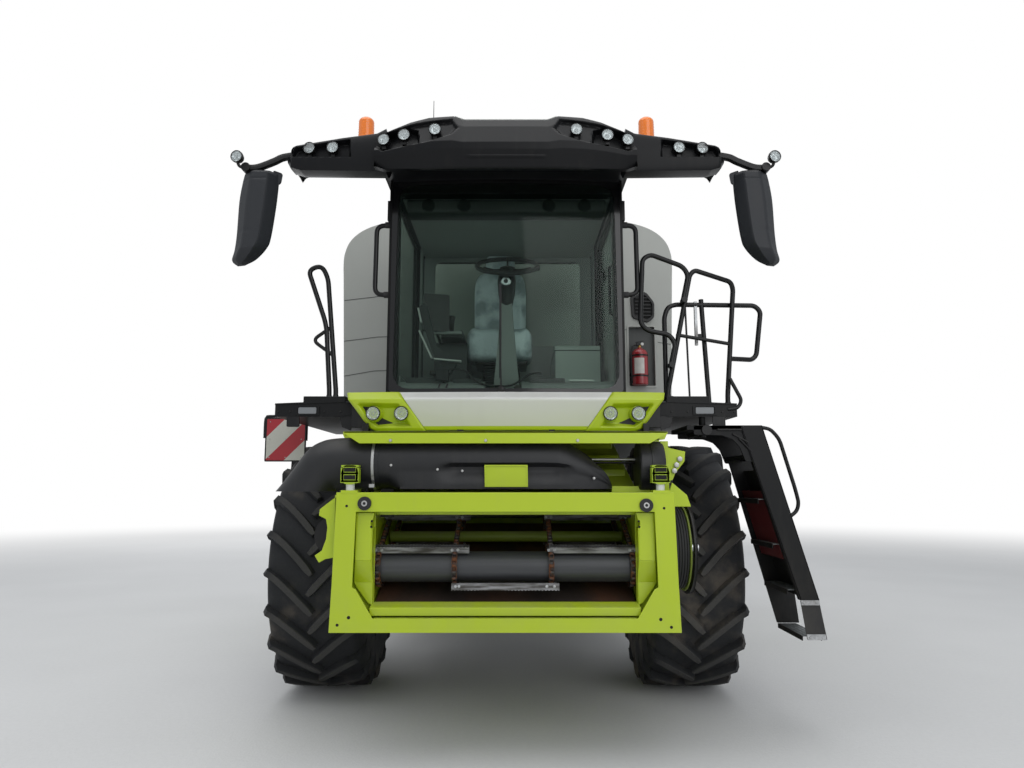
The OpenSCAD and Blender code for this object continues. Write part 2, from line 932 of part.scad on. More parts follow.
// Kingpin, hub and arm of one steered wheel
module knuckle() {
    a = arm_z - rear_z;
    translate([king_x, wheelbase, rear_z]) {
        translate([0, 0, -120])
            cylinder(h = 240, r = knuckle_r);
        translate([0, 0, -185])
            cylinder(h = 370, r = king_r);
        rotate([0, 90, 0])
            cylinder(h = rear_wheel_x - king_x + 60, r = rear_bore_r);
        rotate([0, 90, 0])
            cylinder(h = rear_wheel_x - king_x - 80, r = 100);
        block([-40, 40, a - 24], [40, arm_len, a]);
        translate([0, arm_len, a - 24])
            cylinder(h = 24, r = 40);
        translate([0, arm_len, a - 1])
            cylinder(h = 61, r = tie_pin_r);
    }
}

module knuckle_left() {
    color("dimgray")
        place()
            knuckle();
}

module knuckle_right() {
    color("dimgray")
        place()
            mirror([1, 0, 0])
                knuckle();
}

// Rod between the two steering arms
module tie_rod() {
    y = wheelbase + arm_len;
    color("gray")
        place()
            difference() {
                union() {
                    cyl_x(-king_x, king_x, y, tie_z, 20);
                    both()
                        translate([king_x, y, tie_z - 24])
                            cylinder(h = 48, r = 36);
                }
                both()
                    translate([king_x, y, tie_z - 25])
                        cylinder(h = 50, r = tie_pin_r + fit);
            }
}

// Feeder house: a flat tunnel that turns on two ears at its upper end
module feeder_house() {
    w = feeder_half_w;
    ear_x = nose_half_w + 12;
    t = 14;
    pin = feeder_pivot;
    low = 800;
    color("yellowgreen")
        place() {
            difference() {
                plate_yz([[frame_back_y, low], [frame_back_y, house_top[0]], [house_back_y, house_top[1]],
                    [house_back_y, 1330]], -w, w);
                plate_yz([
                    [frame_back_y - 1, low + t], [frame_back_y - 1, house_top[0] - t],
                    [house_back_y + 1, house_top[1] - t], [house_back_y + 1, 1330 + t]
                ], -tunnel_half_w, tunnel_half_w);
            }
            both()
                difference() {
                    union() {
                        plate_yz([[house_back_y - 2, 1600], [house_back_y - 2, 1900], [pin[0], pin[1] + 105],
                            [pin[0], pin[1] - 105]], ear_x, w);
                        cyl_x(ear_x, w, pin[0], pin[1], 105);
                    }
                    cyl_x(ear_x - 1, w + 1, pin[0], pin[1], feeder_pin_r + fit);
                }
            both() {
                for (s = [-1, 1])
                    plate_yz([
                        [-1420, 960], [-1280, 990], [-1290, 720], [-1400, 715]
                    ], lift_x + s * 46 - 10, lift_x + s * 46 + 10);
                cyl_x(lift_x - 46, lift_x + 46, lift_eye[0], lift_eye[1], lift_pin_r - 4);
            }
        }
}

// Height of the feeder house's top at a place along Y
function house_z(y) = house_top[0]
    + (y - frame_back_y) * (house_top[1] - house_top[0]) / (house_back_y - frame_back_y);

// Front frame that carries the header, with posts and a top bar
module feeder_frame() {
    w = frame_half_w;
    m = mouth_half_w;
    color("yellowgreen")
        place() {
            difference() {
                plate_xz([[-w, frame_low_z], [-w + 19, frame_top_z], [w - 19, frame_top_z], [w, frame_low_z]],
                    frame_front_y, frame_back_y);
                plate_xz([[-m, mouth_low_z], [-m, mouth_top_z], [m, mouth_top_z], [m, mouth_low_z]],
                    frame_front_y - 1, frame_back_y + 1);
            }
            both() {
                block([955, frame_back_y - 1, 1440], [1008, -1410, frame_top_z]);
                block([955, -1470, frame_top_z - 1], [1008, -1410, 1905]);
                difference() {
                    union() {
                        block([905, frame_front_y, frame_top_z - 1], [955, frame_front_y + 60, frame_top_z + 90]);
                        cyl_y(frame_front_y, frame_front_y + 60, 930, frame_top_z + 90, 50);
                    }
                    cyl_y(frame_front_y - 1, frame_front_y + 61, 930, frame_top_z + 90, 17);
                }
            }
            plate_xz([[-930, 1874], [-1040, 1934], [1020, 1934], [930, 1874]], -1470, -1410);
        }
}

// Chains and slats of the conveyor inside the feeder, with its front drum
module feeder_conveyor() {
    back = [-548, 1630];
    run = [back[0] - drum_y, back[1] - drum_z];
    slope = atan2(run[1], run[0]);
    long = norm(run);
    r = drum_r + 20;
    chain_x = [-775, -310, 280, 775];
    // x0, x1 and share along the run of each slat; the first value picks the lower or upper run
    slats = [
        [1, -775, -300, 0.02], [1, 270, 775, 0.02], [-1, -320, 290, 0.02], [1, -320, 290, 0.3],
        [-1, -775, -300, 0.3], [-1, 270, 775, 0.3], [1, -775, -300, 0.6], [1, 270, 775, 0.6],
        [-1, -320, 290, 0.6]
    ];
    color("gray")
        place() {
            cyl_x(-mouth_half_w + 1, mouth_half_w - 1, drum_y, drum_z, drum_r);
            cyl_x(-tunnel_half_w, tunnel_half_w, drum_y, drum_z, 30);
            cyl_x(-tunnel_half_w, tunnel_half_w, back[0], back[1], drum_r - 10);
            translate([0, drum_y, drum_z])
                rotate([slope, 0, 0]) {
                    for (x = chain_x)
                        for (s = [-1, 1])
                            block([x - 14, 0, s * r - 24], [x + 14, long, s * r + 12]);
                    for (q = slats)
                        block([q[1], long * q[3], q[0] * r - 30], [q[2], long * q[3] + 34, q[0] * r + 24]);
                }
            for (x = chain_x)
                cyl_x(x - 14, x + 14, drum_y, drum_z, r + 8);
        }
}

// Dust duct across the top of the feeder, with a curved spout on the right end
module dust_duct() {
    y = -1650;
    z = 1735;
    r = 160;
    bend = 175;
    bend_x = -1106;
    color("black")
        place() {
            cyl_x(bend_x, 500, y, z, r);
            translate([499, y, z])
                rotate([0, 90, 0])
                    rotate_extrude()
                        intersection() {
                            circle(r = r);
                            square([r, 165]);
                        }
            translate([bend_x, y, z - bend])
                rotate([90, 0, 0])
                    rotate([0, 0, 90])
                        rotate_extrude(angle = 90)
                            translate([bend, 0])
                                circle(r = r);
            both()
                plate_yz([[-1560, house_z(-1560) + 0.02], [-1500, house_z(-1500) + 0.02], [-1500, z], [-1560, z]], 700, 780);
        }
}

// Belt drive on the left side of the feeder
module feeder_drive() {
    color("black")
        place() {
            cyl_x(frame_half_w + 10, 1170, drive_y, drive_z, 290);
            cyl_x(feeder_half_w, frame_half_w + 11, drive_y, drive_z, 60);
            cyl_x(1169, 1240, drive_y, drive_z, 25);
        }
}

// Barrels of the two lift cylinders, seen along the line from foot to eye
module lift_line() {
    place()
        both()
            translate([lift_x, lift_foot[0], lift_foot[1]])
                rotate([lift_angle - 90, 0, 0])
                    children();
}

module lift_barrels() {
    eye_half = 30;
    neck = 120;
    color("black")
        lift_line()
            difference() {
                union() {
                    cyl_x(-eye_half, eye_half, 0, 0, 46);
                    translate([0, 0, lift_pin_r + 12])
                        cylinder(h = neck - lift_pin_r - 11, r = 27);
                    translate([0, 0, neck])
                        cylinder(h = lift_len - rod_stroke_gap - neck, r = lift_tube_r);
                }
                cyl_x(-eye_half - 1, eye_half + 1, 0, 0, lift_pin_r + fit);
                translate([0, 0, neck + 30])
                    cylinder(h = lift_len, r = lift_rod_r + fit);
            }
}

module lift_rods() {
    eye_half = 30;
    color("silver")
        lift_line()
            difference() {
                union() {
                    translate([0, 0, rod_stroke_gap + 80])
                        cylinder(h = lift_len - rod_stroke_gap - 80 - 34, r = lift_rod_r);
                    cyl_x(-eye_half, eye_half, 0, lift_len, 46);
                }
                cyl_x(-eye_half - 1, eye_half + 1, 0, lift_len, 32);
            }
}

// Cab door on the left side, hinged at its rear edge
module door_frame() {
    x0 = cab_half_w - pillar + 16;
    x1 = cab_half_w + 2;
    z0 = cab_floor_z + 6;
    z1 = roof_low_z - 66;
    b = 46;
    color("dimgray")
        place()
            difference() {
                union() {
                    difference() {
                        block([x0, door_front_y, z0], [x1, door_back_y, z1]);
                        block([x0 - 1, door_front_y + b, z0 + b], [x1 + 1, door_back_y - b, z1 - b]);
                    }
                    for (z = door_hinge_z) {
                        block([x1 - 1, door_pin[1] - 14, z], [door_pin[0], door_pin[1] + 14, z + 60]);
                        translate([door_pin[0], door_pin[1], z])
                            cylinder(h = 60, r = 17);
                    }
                }
                for (z = door_hinge_z)
                    translate([door_pin[0], door_pin[1], z - 1])
                        cylinder(h = 62, r = 8 + fit);
            }
}

module door_glass() {
    x = cab_half_w - 16;
    b = 46;
    color("darkslategray")
        place()
            block([x, door_front_y + b, cab_floor_z + 6 + b], [x + glass_t, door_back_y - b, roof_low_z - 66 - b]);
}

// Ladder: two stringers that lean outwards, joined by treads, and a hand rail
module ladder() {
    y = ladder_y;
    z0 = ladder_foot_z;
    z1 = ladder_top_z;
    t = 20;
    foot_x = ladder_x + ladder_lean * (z1 - z0);
    hub_h = 60;
    color("dimgray")
        place()
            difference() {
                union() {
                    for (s = [y[0], y[1] - t])
                        plate_xz([
                            [1240, z1], [1240, z1 - 60], [1420, z1 - 75], [1530, z1 - 170],
                            [foot_x - ladder_w, z0], [foot_x, z0], [ladder_x, z1]
                        ], s, s + t);
                    for (k = [0 : 4]) {
                        z = z0 + 15 + k * 290;
                        x = foot_x - (z - z0) * ladder_lean;
                        block([x - ladder_w + 10, y[0] + t - 1, z], [x - 10, y[1] - t + 1, z + 36]);
                    }
                    block([1240, y[0] + t - 1, z1 - 60], [1420, y[1] - t + 1, z1 - 40]);
                    translate([ladder_pin[0], ladder_pin[1], z1 - hub_h])
                        cylinder(h = hub_h, r = 44);
                    rail([[1690, y[0] + 10, z1 - 5], [1700, y[0] - 30, z1 - 10], [1830, y[0] - 30, 1896],
                        [1934, y[0] - 30, 1502], [1925, y[0] - 30, 1440], [1868, y[0] + 10, 1415]], 28);
                }
                translate([ladder_pin[0], ladder_pin[1], z1 - 100])
                    cylinder(h = 120, r = ladder_pin_r + fit);
            }
}

// Unloading tube: upright elbow and long arm folded back along the left side
module unloading_tube() {
    r = tube_d / 2;
    foot_z = body_top_z - 20;
    x = tube_pivot[0];
    y = tube_pivot[1];
    color("whitesmoke")
        place() {
            translate([x, y, foot_z + 0.3])
                cylinder(h = tube_z - foot_z, r = r);
            translate([x, y, tube_z])
                sphere(r = r + 2);
            cyl_y(y, tube_end_y - 300, x, tube_z, r);
            cyl_y(tube_end_y - 301, tube_end_y, x, tube_z - 10, r + 20);
        }
}

// One tank lid, hinged on the tank's long edge
module tank_lid() {
    w = tank_half_w;
    z = tank_top_z;
    color("dimgray")
        place()
            difference() {
                union() {
                    block([6, tank_front_y, z + 0.3], [w - 12, tank_back_y, z + 44]);
                    for (y = lid_hinge_y) {
                        block([w - 60, y - 30, z + 14], [lid_pin[0], y + 30, z + 44]);
                        cyl_y(y - 30, y + 30, lid_pin[0], lid_pin[1], hinge_eye_r);
                    }
                }
                for (y = lid_hinge_y)
                    cyl_y(y - 31, y + 31, lid_pin[0], lid_pin[1], hinge_pin_r + fit);
                for (y = lid_hinge_y)
                    for (s = [-60, 30])
                        block([w - 13, y + s, z], [w + 50, y + s + 30, z + 50]);
            }
}

module tank_lid_left() {
    tank_lid();
}

module tank_lid_right() {
    translate([2 * centre_x, 0, 0])
        mirror([1, 0, 0])
            tank_lid();
}

// One side door: low in front, cut higher over the rear wheel, hinged along its top
module side_door() {
    top = side_pin[1] + hinge_eye_r;
    place()
        difference() {
            union() {
                difference() {
                    plate_yz([
                        [door_y[0], door_low_z[0]], [door_y[1] - 200, door_low_z[0]],
                        [door_y[1], door_low_z[1]], [door_y[2], door_low_z[1]], [door_y[2], top],
                        [door_y[0], top]
                    ], panel_x - door_t, panel_x);
                    for (y = side_hinge_y)
                        block([panel_x - door_t - 1, y - 58, side_pin[1] - 32], [panel_x + 1, y + 58, top + 1]);
                }
                for (y = side_hinge_y) {
                    block([side_pin[0] - 12, y - 25, side_pin[1] - 33], [side_pin[0] + 12, y + 25, side_pin[1]]);
                    cyl_y(y - 25, y + 25, side_pin[0], side_pin[1], hinge_eye_r);
                }
            }
            for (y = side_hinge_y)
                cyl_y(y - 26, y + 26, side_pin[0], side_pin[1], hinge_pin_r + fit);
        }
}

module side_door_left() {
    color("whitesmoke")
        side_door();
}

module side_door_right() {
    color("whitesmoke")
        translate([2 * centre_x, 0, 0])
            mirror([1, 0, 0])
                side_door();
}

// Spreader disc with its vanes, turning about an upright shaft
module spreader(side) {
    hub_r = 55;
    color("gray")
        place()
            translate([side * spreader_x, spreader_y, spreader_z])
                difference() {
                    union() {
                        cylinder(h = 16, r = spreader_r);
                        cylinder(h = 150, r = hub_r);
                        for (k = [0 : 3])
                            rotate([0, 0, 90 * k + 20])
                                block([40, -6, 15], [spreader_r - 10, 6, 90]);
                    }
                    translate([0, 0, 30])
                        cylinder(h = 130, r = spreader_pin_r + fit);
                }
}

module spreader_left() {
    spreader(1);
}

module spreader_right() {
    spreader(-1);
}

threshing_body();
chassis_rails();
front_axle();
side_frames();
engine_block();
engine_hood();
rear_hood();
chopper_housing();
grain_tank();
tank_auger();
tank_front_panel();
extinguisher();
cab_shell();
cab_glass();
driver_seat();
cab_console();
steering_column();
cab_roof();
work_lamps();
beacons();
mirror_housings();
mirror_glass();
fascia_centre();
fascia_corners();
platforms();
handrails();
warning_boards();
rear_ladder();
tail_lamps();
rear_axle();
hitch();
feeder_house();
feeder_frame();
feeder_conveyor();
dust_duct();
feeder_drive();
lift_barrels();
lift_rods();
front_tyre_left();
front_tyre_right();
front_rim_left();
front_rim_right();
rear_tyre_left();
rear_tyre_right();
rear_rim_left();
rear_rim_right();
knuckle_left();
knuckle_right();
tie_rod();
door_frame();
door_glass();
ladder();
unloading_tube();
tank_lid_left();
tank_lid_right();
side_door_left();
side_door_right();
spreader_left();
spreader_right();
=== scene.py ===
"""Looks of a combine harvester without its header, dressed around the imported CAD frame."""

import math

import bmesh
import bpy
import numpy as np
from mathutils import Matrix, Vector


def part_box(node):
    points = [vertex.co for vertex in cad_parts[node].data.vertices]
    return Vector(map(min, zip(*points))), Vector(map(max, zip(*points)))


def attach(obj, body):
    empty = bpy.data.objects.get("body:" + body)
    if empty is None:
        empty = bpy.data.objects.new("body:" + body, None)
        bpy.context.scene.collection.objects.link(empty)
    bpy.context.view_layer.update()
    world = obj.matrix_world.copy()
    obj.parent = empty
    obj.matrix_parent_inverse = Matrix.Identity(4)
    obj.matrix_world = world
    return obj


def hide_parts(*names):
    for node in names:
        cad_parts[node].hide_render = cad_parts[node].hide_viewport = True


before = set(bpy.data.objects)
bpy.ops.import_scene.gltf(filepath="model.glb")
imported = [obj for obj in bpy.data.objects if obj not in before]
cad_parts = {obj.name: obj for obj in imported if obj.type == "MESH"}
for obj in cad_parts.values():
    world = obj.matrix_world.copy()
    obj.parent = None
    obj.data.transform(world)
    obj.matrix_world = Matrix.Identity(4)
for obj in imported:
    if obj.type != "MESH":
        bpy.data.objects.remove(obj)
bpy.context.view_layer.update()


# ---------------------------------------------------------------- yard and sky
# The machine stands on a pale paved yard under an even, overcast sky. The
# paving fades into the white of the sky, so no horizon shows behind it.

YARD_RADIUS, YARD_SIDES = 60.0, 96
YARD_GREY = 0.62
FADE_FROM, FADE_TO = 9.0, 26.0
EYE = (-0.06, -8.84, 1.6)
EYE_PITCH = math.radians(7.77)
LENS_MM, SENSOR_MM = 26.0, 36.0
SKY_LIGHT = 0.62


class Wire:
    """One output of a finish's nodes. Python's operators on it add Math nodes."""

    def __init__(self, finish, socket):
        self.finish = finish
        self.socket = socket

    def math(self, operation, *values):
        return self.finish.node("ShaderNodeMath", {"operation": operation}, dict(enumerate(values)))

    def __add__(self, other):
        return self.math("ADD", self, other)

    def __sub__(self, other):
        return self.math("SUBTRACT", self, other)

    def __mul__(self, other):
        return self.math("MULTIPLY", self, other)

    def __radd__(self, other):
        return self.math("ADD", other, self)

    def __rsub__(self, other):
        return self.math("SUBTRACT", other, self)

    def __rmul__(self, other):
        return self.math("MULTIPLY", other, self)

    def root(self):
        return self.math("SQRT", self)

    def size(self):
        return self.math("ABSOLUTE", self)

    def rise(self, low, high):
        """Eased step: 0 below low, 1 above high. With low above high it falls."""
        return self.finish.node(
            "ShaderNodeMapRange",
            {"interpolation_type": "SMOOTHSTEP"},
            {"Value": self, "From Min": low, "From Max": high},
        )

    def blend(self, first, second):
        """first where this wire is 0 and second where it is 1; both are colours."""
        return self.finish.node(
            "ShaderNodeMix",
            {"data_type": "RGBA"},
            {0: self, 6: (*first, 1) if isinstance(first, tuple) else first,
             7: (*second, 1) if isinstance(second, tuple) else second},
            out=2,
        )

    def stronger(self, other):
        return self.math("MAXIMUM", self, other)

    def parts(self):
        """The three parts of a vector."""
        split = self.finish.node("ShaderNodeSeparateXYZ", {}, {0: self}).socket.node
        return [Wire(self.finish, split.outputs[k]) for k in range(3)]

    def moved(self, offset, stretch=(1, 1, 1)):
        """This vector after a shift by offset and a stretch about that point."""
        shifted = self.finish.node("ShaderNodeVectorMath", {"operation": "ADD"}, {0: self,
            1: offset})
        return self.finish.node("ShaderNodeVectorMath", {"operation": "MULTIPLY"}, {0: shifted,
            1: stretch})


class Finish:
    """A paint, metal, rubber or glass: nodes that end in one Principled shader."""

    def __init__(self, name):
        self.material = bpy.data.materials.new(name)
        self.material.use_nodes = True
        self.tree = self.material.node_tree
        self.shader = self.tree.nodes["Principled BSDF"]
        self.end = self.tree.nodes["Material Output"]
        self.place = self.node("ShaderNodeTexCoord", {}, {}, out="Object")
        self.facing = Wire(self, self.place.socket.node.outputs["Normal"])
        self.x, self.y, self.z = self.place.parts()

    def node(self, kind, settings, values, out=0):
        """A node of any kind: its settings first, then its sockets' values or wires."""
        made = self.tree.nodes.new(kind)
        for name, value in settings.items():
            setattr(made, name, value)
        for name, value in values.items():
            if isinstance(value, Wire):
                self.tree.links.new(value.socket, made.inputs[name])
            else:
                made.inputs[name].default_value = value
        return Wire(self, made.outputs[out])

    def noise(self, scale, detail=3.0, stretch=(1, 1, 1), rough=0.5):
        """Cloudy pattern from 0 to 1, stretched along the object's axes."""
        where = self.place if stretch == (1, 1, 1) else self.place.moved((0, 0, 0), stretch)
        values = {"Vector": where, "Scale": scale, "Detail": detail, "Roughness": rough}
        return self.node("ShaderNodeTexNoise", {}, values)

    def cells(self, scale, feature="F1", out="Distance"):
        """Pattern of cells: their distances or their random colours."""
        values = {"Vector": self.place, "Scale": scale}
        return self.node("ShaderNodeTexVoronoi", {"feature": feature}, values, out=out)

    def tint(self, colour, wire, spread):
        """colour made darker and lighter by spread as wire goes from 0 to 1."""
        dark = tuple(c * (1 - spread) for c in colour)
        light = tuple(min(1.0, c * (1 + spread)) for c in colour)
        return wire.blend(dark, light)

    def bumpy(self, height, depth):
        """Normal of a surface whose height wire moves it by depth metres."""
        return self.node("ShaderNodeBump", {}, {"Height": height, "Distance": depth})

    def wear(self, colour=None, roughness=None, normal=None, **constants):
        """Joins wires or numbers to the shader; constants go on its own sockets."""
        given = {"Base Color": colour, "Roughness": roughness, "Normal": normal}
        for name, value in given.items():
            if isinstance(value, Wire):
                self.tree.links.new(value.socket, self.shader.inputs[name])
            elif value is not None:
                self.shader.inputs[name].default_value = (*value,
                    1) if name == "Base Color" else value
        for name, value in constants.items():
            socket = name.replace("_", " ").title().replace("Ior", "IOR")
            self.shader.inputs[socket].default_value = value
        return self.material

    def seen_through(self, tint, share):
        """Lets tinted light through: share of what shows is the shader itself."""
        clear = self.node("ShaderNodeBsdfTransparent", {}, {"Color": (*tint, 1)})
        mixed = self.node("ShaderNodeMixShader", {}, {0: share, 1: clear, 2: Wire(self,
            self.shader.outputs[0])})
        self.tree.links.new(mixed.socket, self.end.inputs["Surface"])
        return self.material


def paving():
    """Pale paving whose joints and stains fade with the distance from the machine."""
    f = Finish("paving")
    distance = (f.x * f.x + f.y * f.y).root()
    far = distance.rise(FADE_FROM, FADE_TO)
    stain = f.noise(0.6, 5) * 0.6 + f.noise(30, 2) * 0.4
    colour = f.tint((YARD_GREY, YARD_GREY, YARD_GREY), stain, 0.1)
    f.wear(colour, 0.85, f.bumpy(f.noise(60, 4), 0.002), specular_ior_level=0.25)
    ray = f.node("ShaderNodeLightPath", {}, {}).socket.node
    camera, glossy, through = (Wire(f, ray.outputs[name]) for name in ("Is Camera Ray",
        "Is Glossy Ray", "Is Transmission Ray"))
    seen = camera.stronger(glossy).stronger(through)
    white = f.node("ShaderNodeEmission", {}, {"Color": (1, 1, 1, 1), "Strength": 1.0})
    mixed = f.node("ShaderNodeMixShader", {}, {0: far * seen, 1: Wire(f, f.shader.outputs[0]),
        2: white})
    f.tree.links.new(mixed.socket, f.end.inputs["Surface"])
    return f.material


turn = np.linspace(0, 2 * math.pi, YARD_SIDES, endpoint=False)
yard_mesh = bpy.data.meshes.new("yard")
yard_rim = YARD_RADIUS * np.stack([np.cos(turn), np.sin(turn), np.zeros(YARD_SIDES)], 1)
yard_mesh.from_pydata(yard_rim.tolist(), [], [list(range(YARD_SIDES))])
yard = bpy.data.objects.new("yard", yard_mesh)
yard_mesh.materials.append(paving())
bpy.context.scene.collection.objects.link(yard)

sky = bpy.data.worlds.new("overcast")
sky.use_nodes = True
sky_tree = sky.node_tree
sky_light = sky_tree.nodes["Background"]
sky_light.inputs["Color"].default_value = (0.93, 0.965, 1.0, 1)
sky_light.inputs["Strength"].default_value = SKY_LIGHT
sky_white = sky_tree.nodes.new("ShaderNodeBackground")
sky_white.inputs["Color"].default_value = (1, 1, 1, 1)
sky_ray = sky_tree.nodes.new("ShaderNodeLightPath")
sky_seen = sky_tree.nodes.new("ShaderNodeMath")
sky_seen.operation = "MAXIMUM"
sky_mix = sky_tree.nodes.new("ShaderNodeMixShader")
sky_tree.links.new(sky_ray.outputs["Is Camera Ray"], sky_seen.inputs[0])
sky_tree.links.new(sky_ray.outputs["Is Transmission Ray"], sky_seen.inputs[1])
sky_tree.links.new(sky_seen.outputs[0], sky_mix.inputs[0])
sky_tree.links.new(sky_light.outputs[0], sky_mix.inputs[1])
sky_tree.links.new(sky_white.outputs[0], sky_mix.inputs[2])
sky_tree.links.new(sky_mix.outputs[0], sky_tree.nodes["World Output"].inputs["Surface"])
bpy.context.scene.world = sky

# Name, place, aim, width and watts of each lamp
LAMPS = (
    ("cloud_over", (-1.5, -5.0, 14.0), (0, 0, 1.0), 14.0, 900),
    ("cloud_front", (5.0, -15.0, 7.0), (0, -2, 1.5), 9.0, 420),
    ("cloud_back", (-6.0, 14.0, 8.0), (0, 1, 1.5), 10.0, 420),
)
for name, place, aim, width, watts in LAMPS:
    lamp = bpy.data.lights.new(name, "AREA")
    lamp.size = width
    lamp.energy = watts
    lamp_object = bpy.data.objects.new(name, lamp)
    down = np.array(place, float) - np.array(aim, float)
    flat = math.hypot(down[0], down[1])
    lamp_object.location = place
    lamp_object.rotation_euler = (math.atan2(flat, down[2]), 0, math.atan2(down[0], -down[1]))
    bpy.context.scene.collection.objects.link(lamp_object)

lens = bpy.data.cameras.new("front_view")
lens.lens = LENS_MM
lens.sensor_width = SENSOR_MM
lens.clip_end = 200.0
eye = bpy.data.objects.new("front_view", lens)
eye.location = EYE
eye.rotation_euler = (math.pi / 2 + EYE_PITCH, 0, 0)
bpy.context.scene.collection.objects.link(eye)
bpy.context.scene.camera = eye
bpy.context.scene.view_settings.view_transform = "Standard"


# ---------------------------------------------------------------- front tyres
# Wide radial drive tyres of black rubber, moulded with two rows of slanting
# lugs that meet in a V. Their tops are worn grey and hold dry earth.

FRONT_LUGS = 21
LUG_DEPTH = 0.052
LUG_TOP, LUG_FOOT = 0.021, 0.037


def grid_quads(rows, columns, wrap_rows=False, wrap_columns=False):
    """Corner numbers of the quads between neighbours of a rows by columns grid.
    A wrapped direction joins its last line to its first."""
    i = np.arange(rows if wrap_rows else rows - 1)[:, None]
    j = np.arange(columns if wrap_columns else columns - 1)[None, :]
    down, right = (i + 1) % rows, (j + 1) % columns
    corners = [i * columns + j, down * columns + j, down * columns + right, i * columns + right]
    return np.stack(np.broadcast_arrays(*corners), -1).reshape(-1, 4)


class Piece:
    """One part of the machine, gathered from surfaces that each have a finish."""

    def __init__(self, name):
        self.name = name
        self.points, self.corners, self.counts, self.slots = [], [], [], []
        self.finishes = []
        self.total = 0

    def add(self, surface, finish):
        """surface is (points, quads, caps): an array of places, an array of quads
        and a list of longer faces."""
        points, quads, caps = surface
        if finish not in self.finishes:
            self.finishes.append(finish)
        faces = [np.asarray(quads, int).ravel()] + [np.asarray(c, int) for c in caps]
        counts = np.concatenate([np.full(len(quads), 4), [len(c) for c in caps]]).astype(int)
        self.points.append(np.asarray(points, float).reshape(-1, 3))
        self.corners.append(np.concatenate(faces) + self.total)
        self.counts.append(counts)
        self.slots.append(np.full(len(counts), self.finishes.index(finish)))
        self.total += len(self.points[-1])
        return self

    def both(self, surface, finish):
        """The same on both sides of the machine's centre line."""
        self.add(surface, finish)
        return self.add(across(surface), finish)

    def made(self, body, slot, replaces=(), edge=0.0, smooth=35):
        """The finished object: faces outwards, edges eased by edge metres, riding
        on body. smooth is the angle in degrees over which an edge stays sharp."""
        points = np.concatenate(self.points) + MACHINE
        corners, counts = np.concatenate(self.corners), np.concatenate(self.counts)
        mesh = bpy.data.meshes.new(self.name)
        mesh.vertices.add(len(points))
        mesh.vertices.foreach_set("co", points.ravel())
        mesh.loops.add(len(corners))
        mesh.loops.foreach_set("vertex_index", corners)
        mesh.polygons.add(len(counts))
        mesh.polygons.foreach_set("loop_start", np.concatenate([[0], np.cumsum(counts)[:-1]]))
        mesh.polygons.foreach_set("material_index", np.concatenate(self.slots))
        mesh.update(calc_edges=True)
        mesh.validate()
        for finish in self.finishes:
            mesh.materials.append(finish)
        work = bmesh.new()
        work.from_mesh(mesh)
        bmesh.ops.recalc_face_normals(work, faces=work.faces)
        work.to_mesh(mesh)
        work.free()
        mesh.shade_smooth()
        mesh.set_sharp_from_angle(angle=math.radians(smooth))
        made = bpy.data.objects.new(self.name, mesh)
        bpy.context.scene.collection.objects.link(made)
        if edge:
            eased = made.modifiers.new("eased_edges", "BEVEL")
            eased.width = edge
            eased.segments = 2
            eased.limit_method = "ANGLE"
            eased.angle_limit = math.radians(40)
            eased.harden_normals = True
        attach(made, body)
        if replaces:
            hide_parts(*replaces)
        return made


def across(surface):
    """The mirror image of a surface on the other side of the centre line."""
    points, quads, caps = surface
    return np.asarray(points) * (-1, 1, 1), quads, caps


def turned(profile, centre, axis="x", steps=64, closed=False):
    """A profile of (along, radius) pairs turned about an axis through centre: at
    angle a each pair gives along on the axis and radius times cos a and sin a
    across it. A closed profile joins its ends, and open ends are capped."""
    profile = np.asarray(profile, float)
    a = np.linspace(0, 2 * math.pi, steps, endpoint=False)[:, None]
    along = np.broadcast_to(profile[:, 0], (steps, len(profile)))
    u, v = profile[:, 1] * np.cos(a), profile[:, 1] * np.sin(a)
    parts = {"x": (along, u, v), "y": (v, along, u), "z": (u, v, along)}[axis]
    points = np.stack(parts, -1).reshape(-1, 3) + np.asarray(centre, float)
    count = len(profile)
    quads = grid_quads(steps, count, True, closed)
    ring = np.arange(steps) * count
    caps = [] if closed else [list(ring), list(ring + count - 1)]
    return points, quads, caps


def tyre_rubber(name, centre, radius):
    """Black rubber, grey on the worn lug tops, with dry earth low in the tread."""
    f = Finish(name)
    _, y, z = f.place.moved(tuple(-c for c in centre)).parts()
    reach = (y * y + z * z).root()
    top = reach.rise(radius - 0.016, radius - 0.004)
    cloud = f.noise(2.2, 4)
    grit = f.noise(85, 3)
    rubber = f.tint((0.02, 0.021, 0.023), cloud, 0.35)
    worn = f.tint((0.07, 0.068, 0.064), grit, 0.35)
    earth = (0.2, 0.165, 0.125)
    face = (top * (0.35 + 0.65 * cloud)).blend(rubber, worn)
    muddy = (f.noise(7, 5) * f.noise(1.1, 2)).rise(0.22, 0.48) * (1 - 0.6 * top) * 0.42
    colour = muddy.blend(face, earth)
    rough = 0.62 + 0.22 * grit + 0.1 * top
    return f.wear(colour, rough, f.bumpy(grit + 2.0 * f.noise(9, 2), 0.0012),
        specular_ior_level=0.35)


